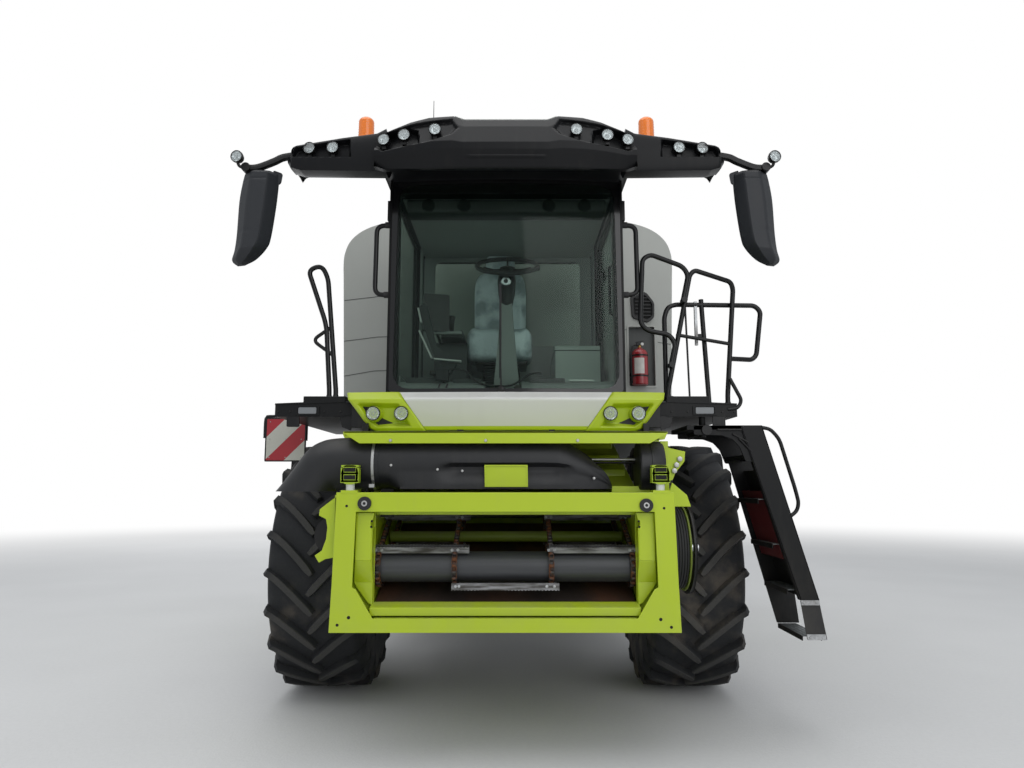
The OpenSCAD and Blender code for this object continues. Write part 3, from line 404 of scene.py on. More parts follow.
def tyre_surfaces(width, radius, seat, lugs, depth):
    """The carcass and lugs of a tyre centred on the origin, turning about x.
    The carcass is a profile turned about the axle: a nearly flat crown, round
    shoulders, bulging walls and narrow beads, with a few thin rings on each
    wall. A lug is a section carried along its own line: from the middle of the
    crown it runs outwards and backwards round the tyre, turning more and more
    square to the tread, and then down over the shoulder."""
    half, seat_r, crown = width / 2, seat / 2, radius - depth
    wall = np.array([(0.74 * half, seat_r), (0.77 * half, seat_r + 0.012), (0.8 * half,
        seat_r + 0.03), (0.86 * half, seat_r + 0.062), (0.935 * half, seat_r + 0.27 * (crown
        - seat_r)), (0.985 * half, seat_r + 0.45 * (crown - seat_r)), (0.995 * half,
        seat_r + 0.6 * (crown - seat_r)), (0.985 * half, seat_r + 0.74 * (crown - seat_r)),
        (0.955 * half, seat_r + 0.86 * (crown - seat_r)), (0.9 * half, crown - 0.03), (0.8 * half,
        crown - 0.013), (0.55 * half, crown - 0.004), (0.25 * half, crown)])
    steps = np.concatenate([[0], np.cumsum(np.hypot(*np.diff(wall, axis=0).T))])
    fine = np.linspace(0, steps[-1], 40)
    side = np.stack([np.interp(fine, steps, wall[:, k]) for k in (0, 1)], 1)
    ribs = sum(np.exp(-((side[:, 1] - r) / 0.006) ** 2) for r in (seat_r + 0.1, seat_r + 0.115,
        seat_r + 0.19))
    side[:, 0] += 0.006 * ribs
    inner = [(-0.7 * half, seat_r), (-0.8 * half, seat_r + 0.3 * (crown - seat_r)),
        (0, crown - 0.06), (0.8 * half, seat_r + 0.3 * (crown - seat_r)), (0.7 * half, seat_r)]
    outline = np.concatenate([side, side[::-1] * (-1, 1), inner])
    carcass = turned(outline, (0, 0, 0), steps=120, closed=True)

    t = np.linspace(0, 1, 11)
    lateral = np.concatenate([-0.012 + (0.9 * half + 0.012) * t, [0.955 * half, 0.975 * half]])
    swept = 0.3 * (1 - (1 - t) ** 1.25) * radius / 0.965
    round_ = np.concatenate([swept, [swept[-1] + 0.012, swept[-1] + 0.016]])
    top = radius - 0.014 * (lateral / (0.9 * half)) ** 4
    top[-2:] = (radius - 0.05, radius - 0.115)
    base = np.interp(lateral, side[::-1, 0], side[::-1, 1]) - 0.012
    base[-2:] = (crown - 0.075, crown - 0.095)
    along = np.stack([np.gradient(lateral), np.gradient(round_)], 1)
    along /= np.hypot(*along.T)[:, None]
    across_ = np.stack([-along[:, 1], along[:, 0]], 1)
    foot = np.full(len(lateral), LUG_FOOT)
    face = np.full(len(lateral), LUG_TOP)
    face[0], foot[0] = 0.6 * LUG_TOP, 0.8 * LUG_FOOT
    section = [(-foot, base), (-0.75 * foot - 0.25 * face, 0.35 * top + 0.65 * base), (-face, top),
        (face, top), (0.75 * foot + 0.25 * face, 0.35 * top + 0.65 * base), (foot, base)]
    x = np.stack([lateral + across_[:, 0] * w for w, _ in section], 1)
    s = np.stack([round_ + across_[:, 1] * w for w, _ in section], 1)
    r = np.stack([h for _, h in section], 1)
    places = []
    for side_sign, first in ((1, 0.0), (-1, 0.5)):
        start = (np.arange(lugs) + first) * 2 * math.pi / lugs
        angle = start[:, None, None] + s / radius
        spot = np.broadcast_arrays(side_sign * x, -r * np.cos(angle), r * np.sin(angle))
        places.append(np.stack(spot, -1))
    places = np.concatenate(places)
    count, rows, columns = places.shape[:3]
    one = grid_quads(rows, columns, False, True)
    quads = (one[None] + (np.arange(count) * rows * columns)[:, None, None]).reshape(-1, 4)
    ends = [[k * rows * columns + end * columns + j for j in range(columns)]
            for k in range(count) for end in (0, rows - 1)]
    return carcass, (places.reshape(-1, 3), quads, ends)


def moved(surface, offset, flip=False):
    """The surface carried to offset, first mirrored along x where flip is set."""
    points, quads, caps = surface
    return np.asarray(points) * ((-1 if flip else 1), 1, 1) + np.asarray(offset, float), quads, caps


def wheel_place(tyre):
    """Middle of a tyre's box in the machine's own frame, its width and radius."""
    low, high = (np.array(corner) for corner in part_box(tyre))
    return (low + high) / 2, high[0] - low[0], (high[2] - low[2]) / 2


# Every size from here on is taken from the front axle's line on the ground,
# in the middle between the front wheels. MACHINE is where that lies.
front_left, front_w, front_r = wheel_place("front_tyre_left")
front_right, _, _ = wheel_place("front_tyre_right")
MACHINE = np.array([(front_left[0] + front_right[0]) / 2, front_left[1], 0.0])
FRONT_X = float(front_left[0] - MACHINE[0])
front_rubber = tyre_rubber("front_tyre_rubber", (0, front_left[1], front_r), front_r)
front_carcass, front_lugs = tyre_surfaces(front_w, front_r, 0.83, FRONT_LUGS, LUG_DEPTH)
for side, sign in (("left", 1), ("right", -1)):
    tyre = Piece(f"drive_tyre_{side}")
    for surface in (front_carcass, front_lugs):
        tyre.add(moved(surface, (sign * FRONT_X, 0, front_r), sign < 0), front_rubber)
    tyre.made(f"front_wheel_{side}", "tyre_rubber", [f"front_tyre_{side}"], smooth=30)


# ---------------------------------------------------------------- rear tyres
# The same kind of moulded rubber tyre, narrower and lower, on the steered rear
# axle, with its lugs in the same V.

REAR_LUGS = 19
rear_left, rear_w, rear_r = wheel_place("rear_tyre_left")
REAR_X = float(rear_left[0] - MACHINE[0])
WHEELBASE = float(rear_left[1] - MACHINE[1])
rear_rubber = tyre_rubber("rear_tyre_rubber", (0, rear_left[1], rear_r), rear_r)
rear_carcass, rear_lugs = tyre_surfaces(rear_w, rear_r, 0.63, REAR_LUGS, 0.045)
for side, sign in (("left", 1), ("right", -1)):
    tyre = Piece(f"steered_tyre_{side}")
    for surface in (rear_carcass, rear_lugs):
        tyre.add(moved(surface, (sign * REAR_X, WHEELBASE, rear_r), sign < 0), rear_rubber)
    tyre.made(f"rear_wheel_{side}", "tyre_rubber", [f"rear_tyre_{side}"], smooth=30)


# ---------------------------------------------------------------- rims
# Rolled steel bands with a pressed disc welded in, sprayed pale grey. Twelve
# wheel nuts hold the front disc to its flange, and ten the rear one.

RIM_WALL = 0.014


def painted(name, colour, roughness, dust=0.35, coat=0.0, peel=0.00025, spread=0.07, shine=0.5,
            metal=0.0):
    """Sprayed enamel: a slightly cloudy colour with fine orange peel, faint
    streaks down the walls, and pale dust where it looks up or is near the ground."""
    f = Finish(name)
    cloud = f.noise(1.3, 4)
    _, _, up = f.facing.parts()
    streak = f.noise(3.0, 3, stretch=(6, 6, 0.7)).rise(0.52, 0.8)
    patch = f.noise(5.0, 6, rough=0.62)
    settled = (up.rise(0.3, 0.95) * 0.7 + f.z.rise(1.5, 0.2) * 0.45) * patch.rise(0.25, 0.75)
    grime = (settled + 0.12 * streak) * dust
    shade = grime.blend(f.tint(colour, cloud, spread), (0.3, 0.265, 0.21))
    rough = roughness + 0.45 * grime + 0.06 * patch
    return f.wear(shade, rough, f.bumpy(f.noise(240, 2), peel), coat_weight=coat,
        coat_roughness=0.12, specular_ior_level=shine, metallic=metal)


def nut(radius, height):
    """A hexagon nut with its bolt's end, standing on the origin along x."""
    hexagon = turned([(0, radius), (0.72 * height, radius), (0.8 * height, 0.86 * radius)],
        (0, 0, 0), steps=6)
    stud = turned([(0, 0.5 * radius), (0.92 * height, 0.5 * radius), (height, 0.42 * radius)],
        (0, 0, 0), steps=8)
    return joined(hexagon, stud)


def joined(*surfaces):
    """Several surfaces as one."""
    points, quads, caps, total = [], [], [], 0
    for p, q, c in surfaces:
        points.append(np.asarray(p, float).reshape(-1, 3))
        quads.append(np.asarray(q, int).reshape(-1, 4) + total)
        caps += [[i + total for i in face] for face in c]
        total += len(points[-1])
    return np.concatenate(points), np.concatenate(quads), caps


def copies(surface, places):
    """The surface once at each of places, as one."""
    return joined(*[moved(surface, place) for place in np.asarray(places, float).reshape(-1, 3)])


def around(surface, count, axis="x", first=0.0):
    """count copies turned evenly about an axis through the origin."""
    points, quads, caps = surface
    keep = "xyz".index(axis)
    u, v = [(1, 2), (2, 0), (0, 1)][keep]
    made = []
    for a in first + np.arange(count) * 2 * math.pi / count:
        spun = np.array(points, float)
        spun[:, u] = points[:, u] * math.cos(a) - points[:, v] * math.sin(a)
        spun[:, v] = points[:, u] * math.sin(a) + points[:, v] * math.cos(a)
        made.append((spun, quads, caps))
    return joined(*made)


def rim_surfaces(seat, width, bore, disc, nuts, circle):
    """Band, disc and nuts of a rim centred on the origin. The band is a closed
    profile with a drop centre between two bead seats; the disc is a closed
    profile that slopes from the hub flange out to the band."""
    s, h, t = seat / 2, 0.38 * width + 0.014, RIM_WALL
    outside = [(-h, s + 0.026), (-h + 0.012, s + 0.026), (-h + 0.02, s + 0.001), (-h + 0.075,
        s - 0.003), (-0.42 * h, s - 0.03), (0.3 * h, s - 0.03), (h - 0.075, s - 0.003), (h - 0.02,
        s + 0.001), (h - 0.012, s + 0.026), (h, s + 0.026)]
    inside = [(h, s - t + 0.008), (h - 0.03, s - t), (h - 0.08, s - t - 0.004), (0.3 * h,
        s - 0.03 - t), (-0.42 * h, s - 0.03 - t), (-h + 0.08, s - t - 0.004), (-h + 0.03, s - t),
        (-h, s - t + 0.008)]
    band = turned(outside + inside, (0, 0, 0), steps=96, closed=True)
    dish = [(disc - 0.04, bore), (disc - 0.04, bore + 0.07), (disc, bore + 0.09), (disc + 0.03,
        s - 0.1), (disc + 0.06, s - 0.045), (disc + 0.084, s - 0.045), (disc + 0.055, s - 0.11),
        (disc + 0.026, bore + 0.06), (disc + 0.06, bore + 0.045), (disc + 0.07, bore + 0.035),
        (disc + 0.07, bore)]
    nut_face = disc + 0.026 + 0.029 * (circle - bore - 0.06) / (s - 0.17 - bore)
    ring = around(moved(nut(0.019, 0.036), (nut_face - 0.002, 0, circle)), nuts, "x", 0.2)
    return band, turned(dish, (0, 0, 0), steps=96, closed=True), ring


rim_paint = painted("rim_enamel", (0.42, 0.43, 0.42), 0.38, dust=0.75)
zinc = painted("zinc_plating", (0.5, 0.5, 0.49), 0.42, dust=0.3, metal=0.85)
for end, x, y, r, seat, width, bore, disc, nuts, circle in (
    ("front", FRONT_X, 0.0, front_r, 0.83, front_w, 0.09, -0.04, 12, 0.185),
    ("rear", REAR_X, WHEELBASE, rear_r, 0.63, rear_w, 0.06, -0.03, 10, 0.15),
):
    band, dish, ring = rim_surfaces(seat, width, bore, disc, nuts, circle)
    for side, sign in (("left", 1), ("right", -1)):
        rim = Piece(f"{end}_wheel_rim_{side}")
        for surface, finish in ((band, rim_paint), (dish, rim_paint), (ring, zinc)):
            rim.add(moved(surface, (sign * x, y, r), sign < 0), finish)
        rim.made(f"{end}_wheel_{side}", "rim_paint", [f"{end}_rim_{side}"])


# ---------------------------------------------------------------- axles and chassis
# Heavy welded and cast steel under the body, sprayed dark grey: the driven
# front axle with its final drives, the rails, and the steered rear axle with
# its knuckles, tie rod and drawbar jaw.


def dress(node, finish, edge=0.0):
    """Gives a CAD node its finish. Where edge is set, its loose triangles are
    welded and its edges eased by that many metres."""
    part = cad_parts[node]
    part.data.materials.clear()
    part.data.materials.append(finish)
    if edge:
        weld = part.modifiers.new("welded", "WELD")
        weld.merge_threshold = 0.0001
        eased = part.modifiers.new("eased_edges", "BEVEL")
        eased.width = edge
        eased.segments = 2
        eased.limit_method = "ANGLE"
        eased.angle_limit = math.radians(35)


def rect(x0, z0, x1, z1):
    """The four corners of a flat rectangle, from its first corner round to x0, z1."""
    return [(x0, z0), (x1, z0), (x1, z1), (x0, z1)]


def block(low, high):
    """A rectangular block from one corner to the opposite one."""
    (x0, y0, z0), (x1, y1, z1) = low, high
    return plate(rect(x0, z0, x1, z1), y0, y1)


def plate(outline, low, high, axis="y"):
    """A flat outline given thickness along an axis: one ring of its points at
    low and one at high, joined by quads and closed by a face each."""
    outline = np.asarray(outline, float)
    n = len(outline)
    u, v = np.tile(outline.T, 2)
    w = np.repeat((low, high), n)
    order = {"x": (w, u, v), "y": (u, w, v), "z": (u, v, w)}[axis]
    return np.stack(order, -1), grid_quads(2, n, False, True), [list(range(n)),
        list(range(n, 2 * n))]


chassis_grey = painted("chassis_enamel", (0.045, 0.047, 0.05), 0.45, dust=0.8)
for node in ("chassis_rails", "front_axle", "rear_axle", "hitch", "knuckle_left", "knuckle_right",
        "tie_rod"):
    dress(node, chassis_grey, 0.006)

hub_ends = Piece("hub_covers")
cover = turned([(0.0, 0.088), (0.03, 0.088), (0.042, 0.07), (0.05, 0.045), (0.052, 0.0)],
    (0, 0, 0), steps=48)
cap_bolts = around(moved(nut(0.009, 0.014), (0.03, 0, 0.076)), 8)
for part, finish in ((cover, chassis_grey), (cap_bolts, zinc)):
    hub_ends.both(moved(part, (FRONT_X + 0.06, 0, front_r)), finish)
hub_ends.made("chassis", "dark_metal")


# ---------------------------------------------------------------- lift cylinders
# Two hydraulic cylinders between the axle and the feeder: black enamelled
# barrels with a gland nut, and ground, hard-chromed rods.


def frames(path):
    """Two unit vectors across each point of a path. The first lies in the plane
    that fits the whole path best, so a section carried along it doesn't twist."""
    path = np.asarray(path, float)
    ahead = np.gradient(path, axis=0)
    ahead /= np.linalg.norm(ahead, axis=1)[:, None]
    centred = path - path.mean(0)
    flat = np.linalg.eigh(centred.T @ centred + 1e-9 * np.diag([1, 2, 3]))[1][:, 0]
    side = np.cross(ahead, flat)
    side /= np.linalg.norm(side, axis=1)[:, None]
    return side, np.cross(side, ahead)


def carried(section, path, scale=None):
    """A closed section carried along a path: every point of the path gets the
    section in the plane across it, grown by scale there. Both ends are capped."""
    section, path = np.asarray(section, float), np.asarray(path, float)
    side, over = frames(path)
    grown = np.ones(len(path)) if scale is None else np.asarray(scale, float)
    u = section[None, :, 0, None] * grown[:, None, None]
    v = section[None, :, 1, None] * grown[:, None, None]
    points = path[:, None] + u * side[:, None] + v * over[:, None]
    n, m = len(section), len(path)
    return points.reshape(-1, 3), grid_quads(m, n, False, True), [list(range(n)),
        list(range((m - 1) * n, m * n))]


def circle_of(radius, sides=16):
    """Points of a circle round the origin."""
    a = np.linspace(0, 2 * math.pi, sides, endpoint=False)
    return np.stack([radius * np.cos(a), radius * np.sin(a)], 1)


def pipe(path, radius, sides=16, scale=None):
    """A round bar or tube along a path."""
    return carried(circle_of(radius, sides), path, scale)


def clouded(name, colour, pattern, spread, rough, depth, **constants):
    """A finish with one cloudy pattern, of the given scale, detail and stretch. It
    changes the colour by spread, adds to the roughness and lifts the surface."""
    f = Finish(name)
    cloud = f.noise(*pattern)
    base, added = rough
    return f.wear(f.tint(colour, cloud, spread), base + added * cloud, f.bumpy(cloud, depth),
        **constants)


chrome = clouded("ground_chrome", (0.62, 0.63, 0.65), (40, 2, (1, 0.05, 1)), 0.1, (0.12, 0.12),
    0.0001, metallic=1.0)
satin_black = painted("satin_black_enamel", (0.0055, 0.0055, 0.006), 0.34, dust=0.3, shine=0.35)
dress("lift_rods", chrome)
dress("lift_barrels", satin_black)

LIFT_X = 0.45
LIFT_FOOT, LIFT_EYE = np.array((-0.06, 0.69)), np.array((-1.35, 0.76))
LIFT_LENGTH = float(np.linalg.norm(LIFT_EYE - LIFT_FOOT))
run = (LIFT_EYE - LIFT_FOOT) / LIFT_LENGTH
GLAND_AT = LIFT_LENGTH - 0.395


def along_lift(start, length):
    """Two points on the line of the lift cylinder, start metres from its foot."""
    a, b = LIFT_FOOT + run * start, LIFT_FOOT + run * (start + length)
    return [(LIFT_X, *a), (LIFT_X, *b)]


glands = Piece("lift_cylinder_fittings")
glands.both(pipe(along_lift(GLAND_AT - 0.055, 0.04), 0.058, 32), satin_black)
glands.both(pipe(along_lift(0.16, 0.024), 0.058, 32), satin_black)
for y, low, high in ((-0.26, 0.742, 0.785), (-0.82, 0.77, 0.815)):
    glands.both(pipe([(LIFT_X, y, low), (LIFT_X, y, high)], 0.014, 6), zinc)
glands.made("lift_barrels", "dark_metal", edge=0.002)


# ---------------------------------------------------------------- feeder house
# A flat welded steel tunnel, sprayed lime green, that turns on two ears at its
# upper end. Folded stiffeners are welded across its roof and down its sides.

lime = painted("lime_enamel", (0.43, 0.555, 0.01), 0.3, dust=0.36, coat=0.25)
FRAME_FRONT, FRAME_BACK = -1.89, -1.75
HOUSE_BACK = -0.43
HOUSE_TOP = (1.52, 1.96)
HOUSE_LOW = (0.8, 1.33)


def house_z(y, ends=HOUSE_TOP):
    """Height of the feeder's roof, or of its floor, at a place along the machine."""
    return ends[0] + (y - FRAME_BACK) * (ends[1] - ends[0]) / (HOUSE_BACK - FRAME_BACK)


dress("feeder_house", lime, 0.004)
ribs = Piece("feeder_house_ribs")
for y in (-1.3, -0.98, -0.66):
    ribs.add(plate([(y - 0.03, house_z(y - 0.03) - 0.004), (y - 0.022, house_z(y) + 0.034),
        (y + 0.022, house_z(y) + 0.048), (y + 0.03, house_z(y + 0.03) - 0.004)], -0.8, 0.8, "x"),
        lime)
for y in (-1.36, -1.02, -0.7):
    ribs.both(plate([(y - 0.025, house_z(y - 0.03, HOUSE_LOW) + 0.05), (y + 0.025,
        house_z(y + 0.03, HOUSE_LOW) + 0.05), (y + 0.025, house_z(y + 0.03) - 0.05), (y - 0.025,
        house_z(y - 0.03) - 0.05)], 0.829, 0.848, "x"), lime)
for y in np.linspace(-1.68, -0.52, 9):
    ribs.both(moved(turned([(0, 0.016), (0.01, 0.016), (0.014, 0.01)], (0, 0, 0), steps=6),
        (0.83, y, house_z(y) - 0.028)), zinc)
ribs.made("feeder", "lime_paint", edge=0.004)


# ---------------------------------------------------------------- feeder frame
# The thick front frame that carries the header: plates cut and folded from
# steel, welded round the mouth and sprayed lime. Inside each post stands a
# folded guide plate, and the floor's lip shows over the bottom beam.


def rounded(outline, radius, steps=4):
    """A closed outline whose corners are turned into arcs of steps points, as
    curves between the points that lie radius before and after each corner."""
    outline = np.asarray(outline, float)
    before, after = np.roll(outline, 1, 0), np.roll(outline, -1, 0)
    t = np.linspace(0, 1, steps)[None, :, None]
    reach_in = np.minimum(radius, 0.45 * np.linalg.norm(before - outline, axis=1))[:, None]
    reach_out = np.minimum(radius, 0.45 * np.linalg.norm(after - outline, axis=1))[:, None]
    a = outline + (before - outline) / np.linalg.norm(before - outline, axis=1)[:, None] * reach_in
    b = outline + (after - outline) / np.linalg.norm(after - outline, axis=1)[:, None] * reach_out
    curve = (1 - t) ** 2 * a[:, None] + 2 * t * (1 - t) * outline[:, None] + t ** 2 * b[:, None]
    return curve.reshape(-1, 2)


def mirrored(outline):
    """An outline's mirror image across x = 0, in the opposite order."""
    return np.asarray(outline, float)[::-1] * (-1, 1)


MOUTH = [(-0.775, 1.441), (-0.886, 1.441), (-0.897, 1.004), (-0.876, 0.994), (-0.774, 0.828)]
mouth_ring = np.concatenate([MOUTH, mirrored(MOUTH)])
OUTER = [(-0.775, 1.556), (-1.006, 1.556), (-1.018, 1.004), (-1.019, 0.99), (-1.027, 0.748)]
outer_ring = np.concatenate([OUTER, mirrored(OUTER)])


def frame_plate(outer, inner, low, high, axis="y"):
    """A plate between two rings of as many points each, given thickness: the four
    rings, outer and inner at low and high, joined round in turn."""
    outer, inner = np.asarray(outer, float), np.asarray(inner, float)
    rings = [(outer, low), (outer, high), (inner, high), (inner, low)]
    made = []
    for ring, level in rings:
        w = np.full(len(ring), level)
        order = {"x": (w, ring[:, 0], ring[:, 1]), "y": (ring[:, 0], w, ring[:, 1]),
            "z": (ring[:, 0], ring[:, 1], w)}
        made.append(np.stack(order[axis], -1))
    return np.concatenate(made), grid_quads(4, len(outer), True, True), []


header_frame = Piece("header_frame")
header_frame.add(frame_plate(outer_ring, mouth_ring, FRAME_FRONT, FRAME_FRONT + 0.012), lime)
header_frame.add(frame_plate(outer_ring * (0.995, 1), outer_ring * (0.983, 1), FRAME_FRONT + 0.01,
    FRAME_BACK), lime)
header_frame.add(plate(rect(-0.995, 1.543, 0.995, 1.556), FRAME_FRONT + 0.01, FRAME_BACK), lime)
header_frame.add(plate(rect(-1.02, 0.748, 1.02, 0.762), FRAME_FRONT + 0.01, FRAME_BACK), lime)
# Back plate round the tunnel, and the two beams that box the frame in
header_frame.add(plate(rect(-0.79, 1.42, 0.79, 1.545), FRAME_BACK - 0.016, FRAME_BACK), lime)
header_frame.add(plate(rect(-0.86, 0.76, 0.86, 0.862), FRAME_BACK - 0.016, FRAME_BACK), lime)
header_frame.both(plate([(0.79, 0.76), (1.01, 0.76), (0.995, 1.545), (0.79, 1.545)],
    FRAME_BACK - 0.016, FRAME_BACK), lime)
# Lip of the tunnel's floor: a folded edge with a bright top and a groove under it
header_frame.add(plate([(-1.85, 0.836), (-1.836, 0.836), (-1.836, 0.87), (-1.755, 0.893), (-1.755,
    0.905), (-1.85, 0.884)], -0.8, 0.8, "x"), lime)
header_frame.add(block((-0.775, -1.845, 0.8), (0.775, -1.765, 0.826)), lime)
header_frame.add(block((-0.775, -1.88, 1.441), (0.775, -1.765, 1.449)), lime)
# Folded guide plates inside the posts: upright, slanting back, upright again
GUIDE_FRONT, GUIDE_BACK = -1.852, -1.8
header_frame.both(plate([(0.782, 1.436), (0.892, 1.436), (0.893, 1.154), (0.798, 1.154),
    (0.798, 1.345), (0.806, 1.375), (0.79, 1.398)], GUIDE_FRONT, GUIDE_FRONT + 0.012), lime)
slanted = np.array([(0.893, GUIDE_FRONT, 1.154), (0.798, GUIDE_FRONT, 1.154), (0.906, GUIDE_BACK,
    1.022), (0.796, GUIDE_BACK, 1.022)])
slant_faces = [(0, 1, 3, 2), (6, 7, 5, 4), (0, 4, 5, 1), (1, 5, 7, 3), (3, 7, 6, 2), (2, 6, 4, 0)]
header_frame.both((np.concatenate([slanted, slanted + (0, 0.012, 0)]), np.array(slant_faces), []),
    lime)
header_frame.both(plate([(0.906, 1.024), (0.796, 1.024), (0.796, 0.888), (0.822, 0.905),
    (0.886, 0.99)], GUIDE_BACK, GUIDE_BACK + 0.012), lime)
header_frame.both(plate([(GUIDE_FRONT, 1.345), (GUIDE_FRONT, 1.154), (GUIDE_BACK, 1.022),
    (GUIDE_BACK, 0.89), (-1.755, 0.89), (-1.755, 1.345)], 0.792, 0.799, "x"), lime)
# Wing on the right post, cut round in the middle, and the square one on the left
wing = [(-1.01, 1.54), (-1.036, 1.519), (-1.119, 1.455), (-1.123, 1.417), (-1.08, 1.396),
    (-1.07, 1.345), (-1.076, 1.277), (-1.099, 1.21), (-1.141, 1.181), (-1.114, 1.139), (-1.076,
    1.16), (-1.01, 1.172)]
header_frame.add(plate(wing, -1.822, -1.808), lime)
header_frame.add(plate(rect(-1.822, 1.54, -1.756, 1.172), -1.03, -1.018, "x"), lime)
header_frame.add(plate([(1.0, 1.545), (1.022, 1.615), (1.112, 1.539), (1.135, 1.468),
    (1.004, 1.468)], -1.76, -1.748), lime)
header_frame.made("feeder", "lime_paint", ["feeder_frame"], edge=0.005)


# ---------------------------------------------------------------- frame fittings
# On the posts: rubber buffers with a zinc-plated sleeve, small locating holes,
# and at the top corners the cast hooks that lock the header, on white stems.

black_rubber = painted("moulded_rubber", (0.014, 0.014, 0.015), 0.62, dust=0.35, peel=0.0004)
cast_lime = painted("cast_lime_enamel", (0.33, 0.46, 0.014), 0.42, dust=0.5, peel=0.0012, coat=0.1)
stem_white = painted("white_enamel_stem", (0.62, 0.63, 0.6), 0.4, dust=0.5)
# Near-black for the insides of holes and openings: painted shade.
hole_shade_black = painted("painted_shade_in_holes", (0.004, 0.004, 0.004), 0.8, dust=0.0)
fittings = Piece("header_locks_and_buffers")
for x, z in ((-0.835, 1.491), (0.837, 1.48)):
    fittings.add(turned([(-0.01, 0.04), (0.01, 0.04), (0.016, 0.034), (0.014, 0.022),
        (0.01, 0.02)], (x, FRAME_FRONT - 0.006, z), "y", 40), black_rubber)
    fittings.add(turned([(-0.012, 0.018), (-0.022, 0.017), (-0.022, 0.009), (-0.006, 0.008)],
        (x, FRAME_FRONT + 0.002, z), "y", 32), zinc)
# Locating holes in the posts and guide plates are flat black discs: painted shade in the holes.
for x, z, r in ((-0.942, 1.476, 0.008), (-0.912, 0.834, 0.01), (-0.977, 0.792, 0.009),
        (0.943, 1.463, 0.008), (0.906, 0.824, 0.01), (0.967, 0.78, 0.009)):
    fittings.add(turned([(-0.0006, r), (0.0004, r)], (x, FRAME_FRONT, z), "y", 20), hole_shade_black)
for x, z in ((0.797, 1.385), (0.8, 1.352)):
    fittings.both(turned([(-0.0006, 0.007), (0.0004, 0.007)], (x, GUIDE_FRONT, z), "y", 16),
        hole_shade_black)

# Hook: two cheeks with a round head that is open between two cross bars
cheek = rounded([(-0.05, 0.012), (-0.05, 0.074), (-0.036, 0.105), (0.036, 0.105), (0.05, 0.074),
    (0.05, 0.012), (0.024, -0.01), (-0.024, -0.01)], 0.018, 5)
hook_bars = [((-0.052, -0.03, z), (0.052, 0.03, z + 0.012)) for z in (0.094, 0.05, 0.004)]
hook_bars += [((-0.054, -0.03, 0.0), (-0.036, 0.03, 0.09)), ((0.036, -0.03, 0.0), (0.054, 0.03,
    0.09))]
hook = joined(plate(cheek, -0.03, -0.018), plate(cheek, 0.018, 0.03),
    *[block(*ends) for ends in hook_bars])
for x in (-0.93, 0.93):
    at = (x, -1.86, 1.612)
    fittings.add(moved(hook, at), cast_lime)
    # Black plates fill the hook's openings between its bars: painted shade.
    for low, high in ((0.02, 0.046), (0.066, 0.09)):
        fittings.add(moved(block((-0.034, -0.0325, low), (0.034, -0.0295, high)), at), hole_shade_black)
    fittings.add(pipe([(x, -1.86, 1.566), (x, -1.86, 1.61)], 0.026, 24), stem_white)
    fittings.add(block((x - 0.05, -1.892, 1.552), (x + 0.05, -1.826, 1.568)), lime)
# Disc behind the wing: the end cover of the reel drive's cross shaft
fittings.add(turned([(-0.03, 0.118), (0.02, 0.118), (0.028, 0.105), (0.028, 0.03), (0.04, 0.025),
    (0.04, 0.0)], (-1.052, -1.7, 1.292), "y", 48), satin_black)
fittings.made("feeder", "lime_paint", edge=0.0015)


# ---------------------------------------------------------------- top beam
# A folded cross beam behind the duct, on two posts that rise from the frame.
# Its lower edge rises towards both ends, and square-headed bolts sit in it.

beam = Piece("feeder_top_beam")
beam.add(plate([(-1.077, 1.935), (-1.06, 1.902), (-1.02, 1.896), (-0.893, 1.875), (0.908, 1.875),
    (1.045, 1.898), (1.06, 1.933)], -1.47, -1.458), lime)
beam.add(plate(rect(-1.47, 1.922, -1.41, 1.934), -1.06, 1.045, "x"), lime)
beam.add(plate([(-0.992, 1.916), (-0.89, 1.851), (0.88, 1.851), (0.99, 1.912), (0.985, 1.924),
    (-0.985, 1.924)], -1.832, -1.824), lime)
beam.add(plate([(-1.832, 1.914), (-1.46, 1.924), (-1.46, 1.934), (-1.832, 1.924)], -0.985, 0.985,
    "x"), lime)
for x in (-0.7, -0.12, 0.44):
    beam.add(turned([(-0.008, 0.001), (-0.008, 0.009), (-0.001, 0.011), (0.0, 0.011)], (x, -1.832,
        1.868), "y", 6), zinc)
beam.both(block((0.955, -1.47, 1.5), (1.008, -1.41, 1.905)), lime)
beam.both(block((0.955, -1.755, 1.44), (1.008, -1.41, 1.545)), lime)
beam.add(copies(turned([(-0.018, 0.0), (-0.016, 0.011), (0.0, 0.012)], (0, 0, 0), "y", 6),
    [(-0.618, -1.47, 1.894), (-0.05, -1.47, 1.894), (0.62, -1.47, 1.9)]), zinc)
# Tall post with its bracket plate on the left end
beam.add(block((0.985, -1.625, 1.556), (1.033, -1.56, 1.876)), lime)
beam.add(plate([(1.03, 1.846), (1.06, 1.834), (1.156, 1.813), (1.149, 1.749), (1.088, 1.674),
    (1.07, 1.632), (1.03, 1.62)], -1.56, -1.548), lime)
beam.add(copies(turned([(-0.02, 0.012), (-0.018, 0.018), (0.002, 0.019)], (0, 0, 0), "y", 6),
    [(1.117, -1.56, 1.765), (1.095, -1.56, 1.727), (1.08, -1.56, 1.69)]), zinc)
beam.made("feeder", "lime_paint", edge=0.004)


# ---------------------------------------------------------------- conveyor
# Four roller chains, dark with oil and rust, pull serrated galvanised slats
# along the worn steel floor, round a smooth front drum.

conveyor = Piece("feeder_conveyor_chains")
DRUM_Y, DRUM_Z, DRUM_R = -1.64, 1.098, 0.092
RUN_BACK = np.array((-0.548, 1.63))

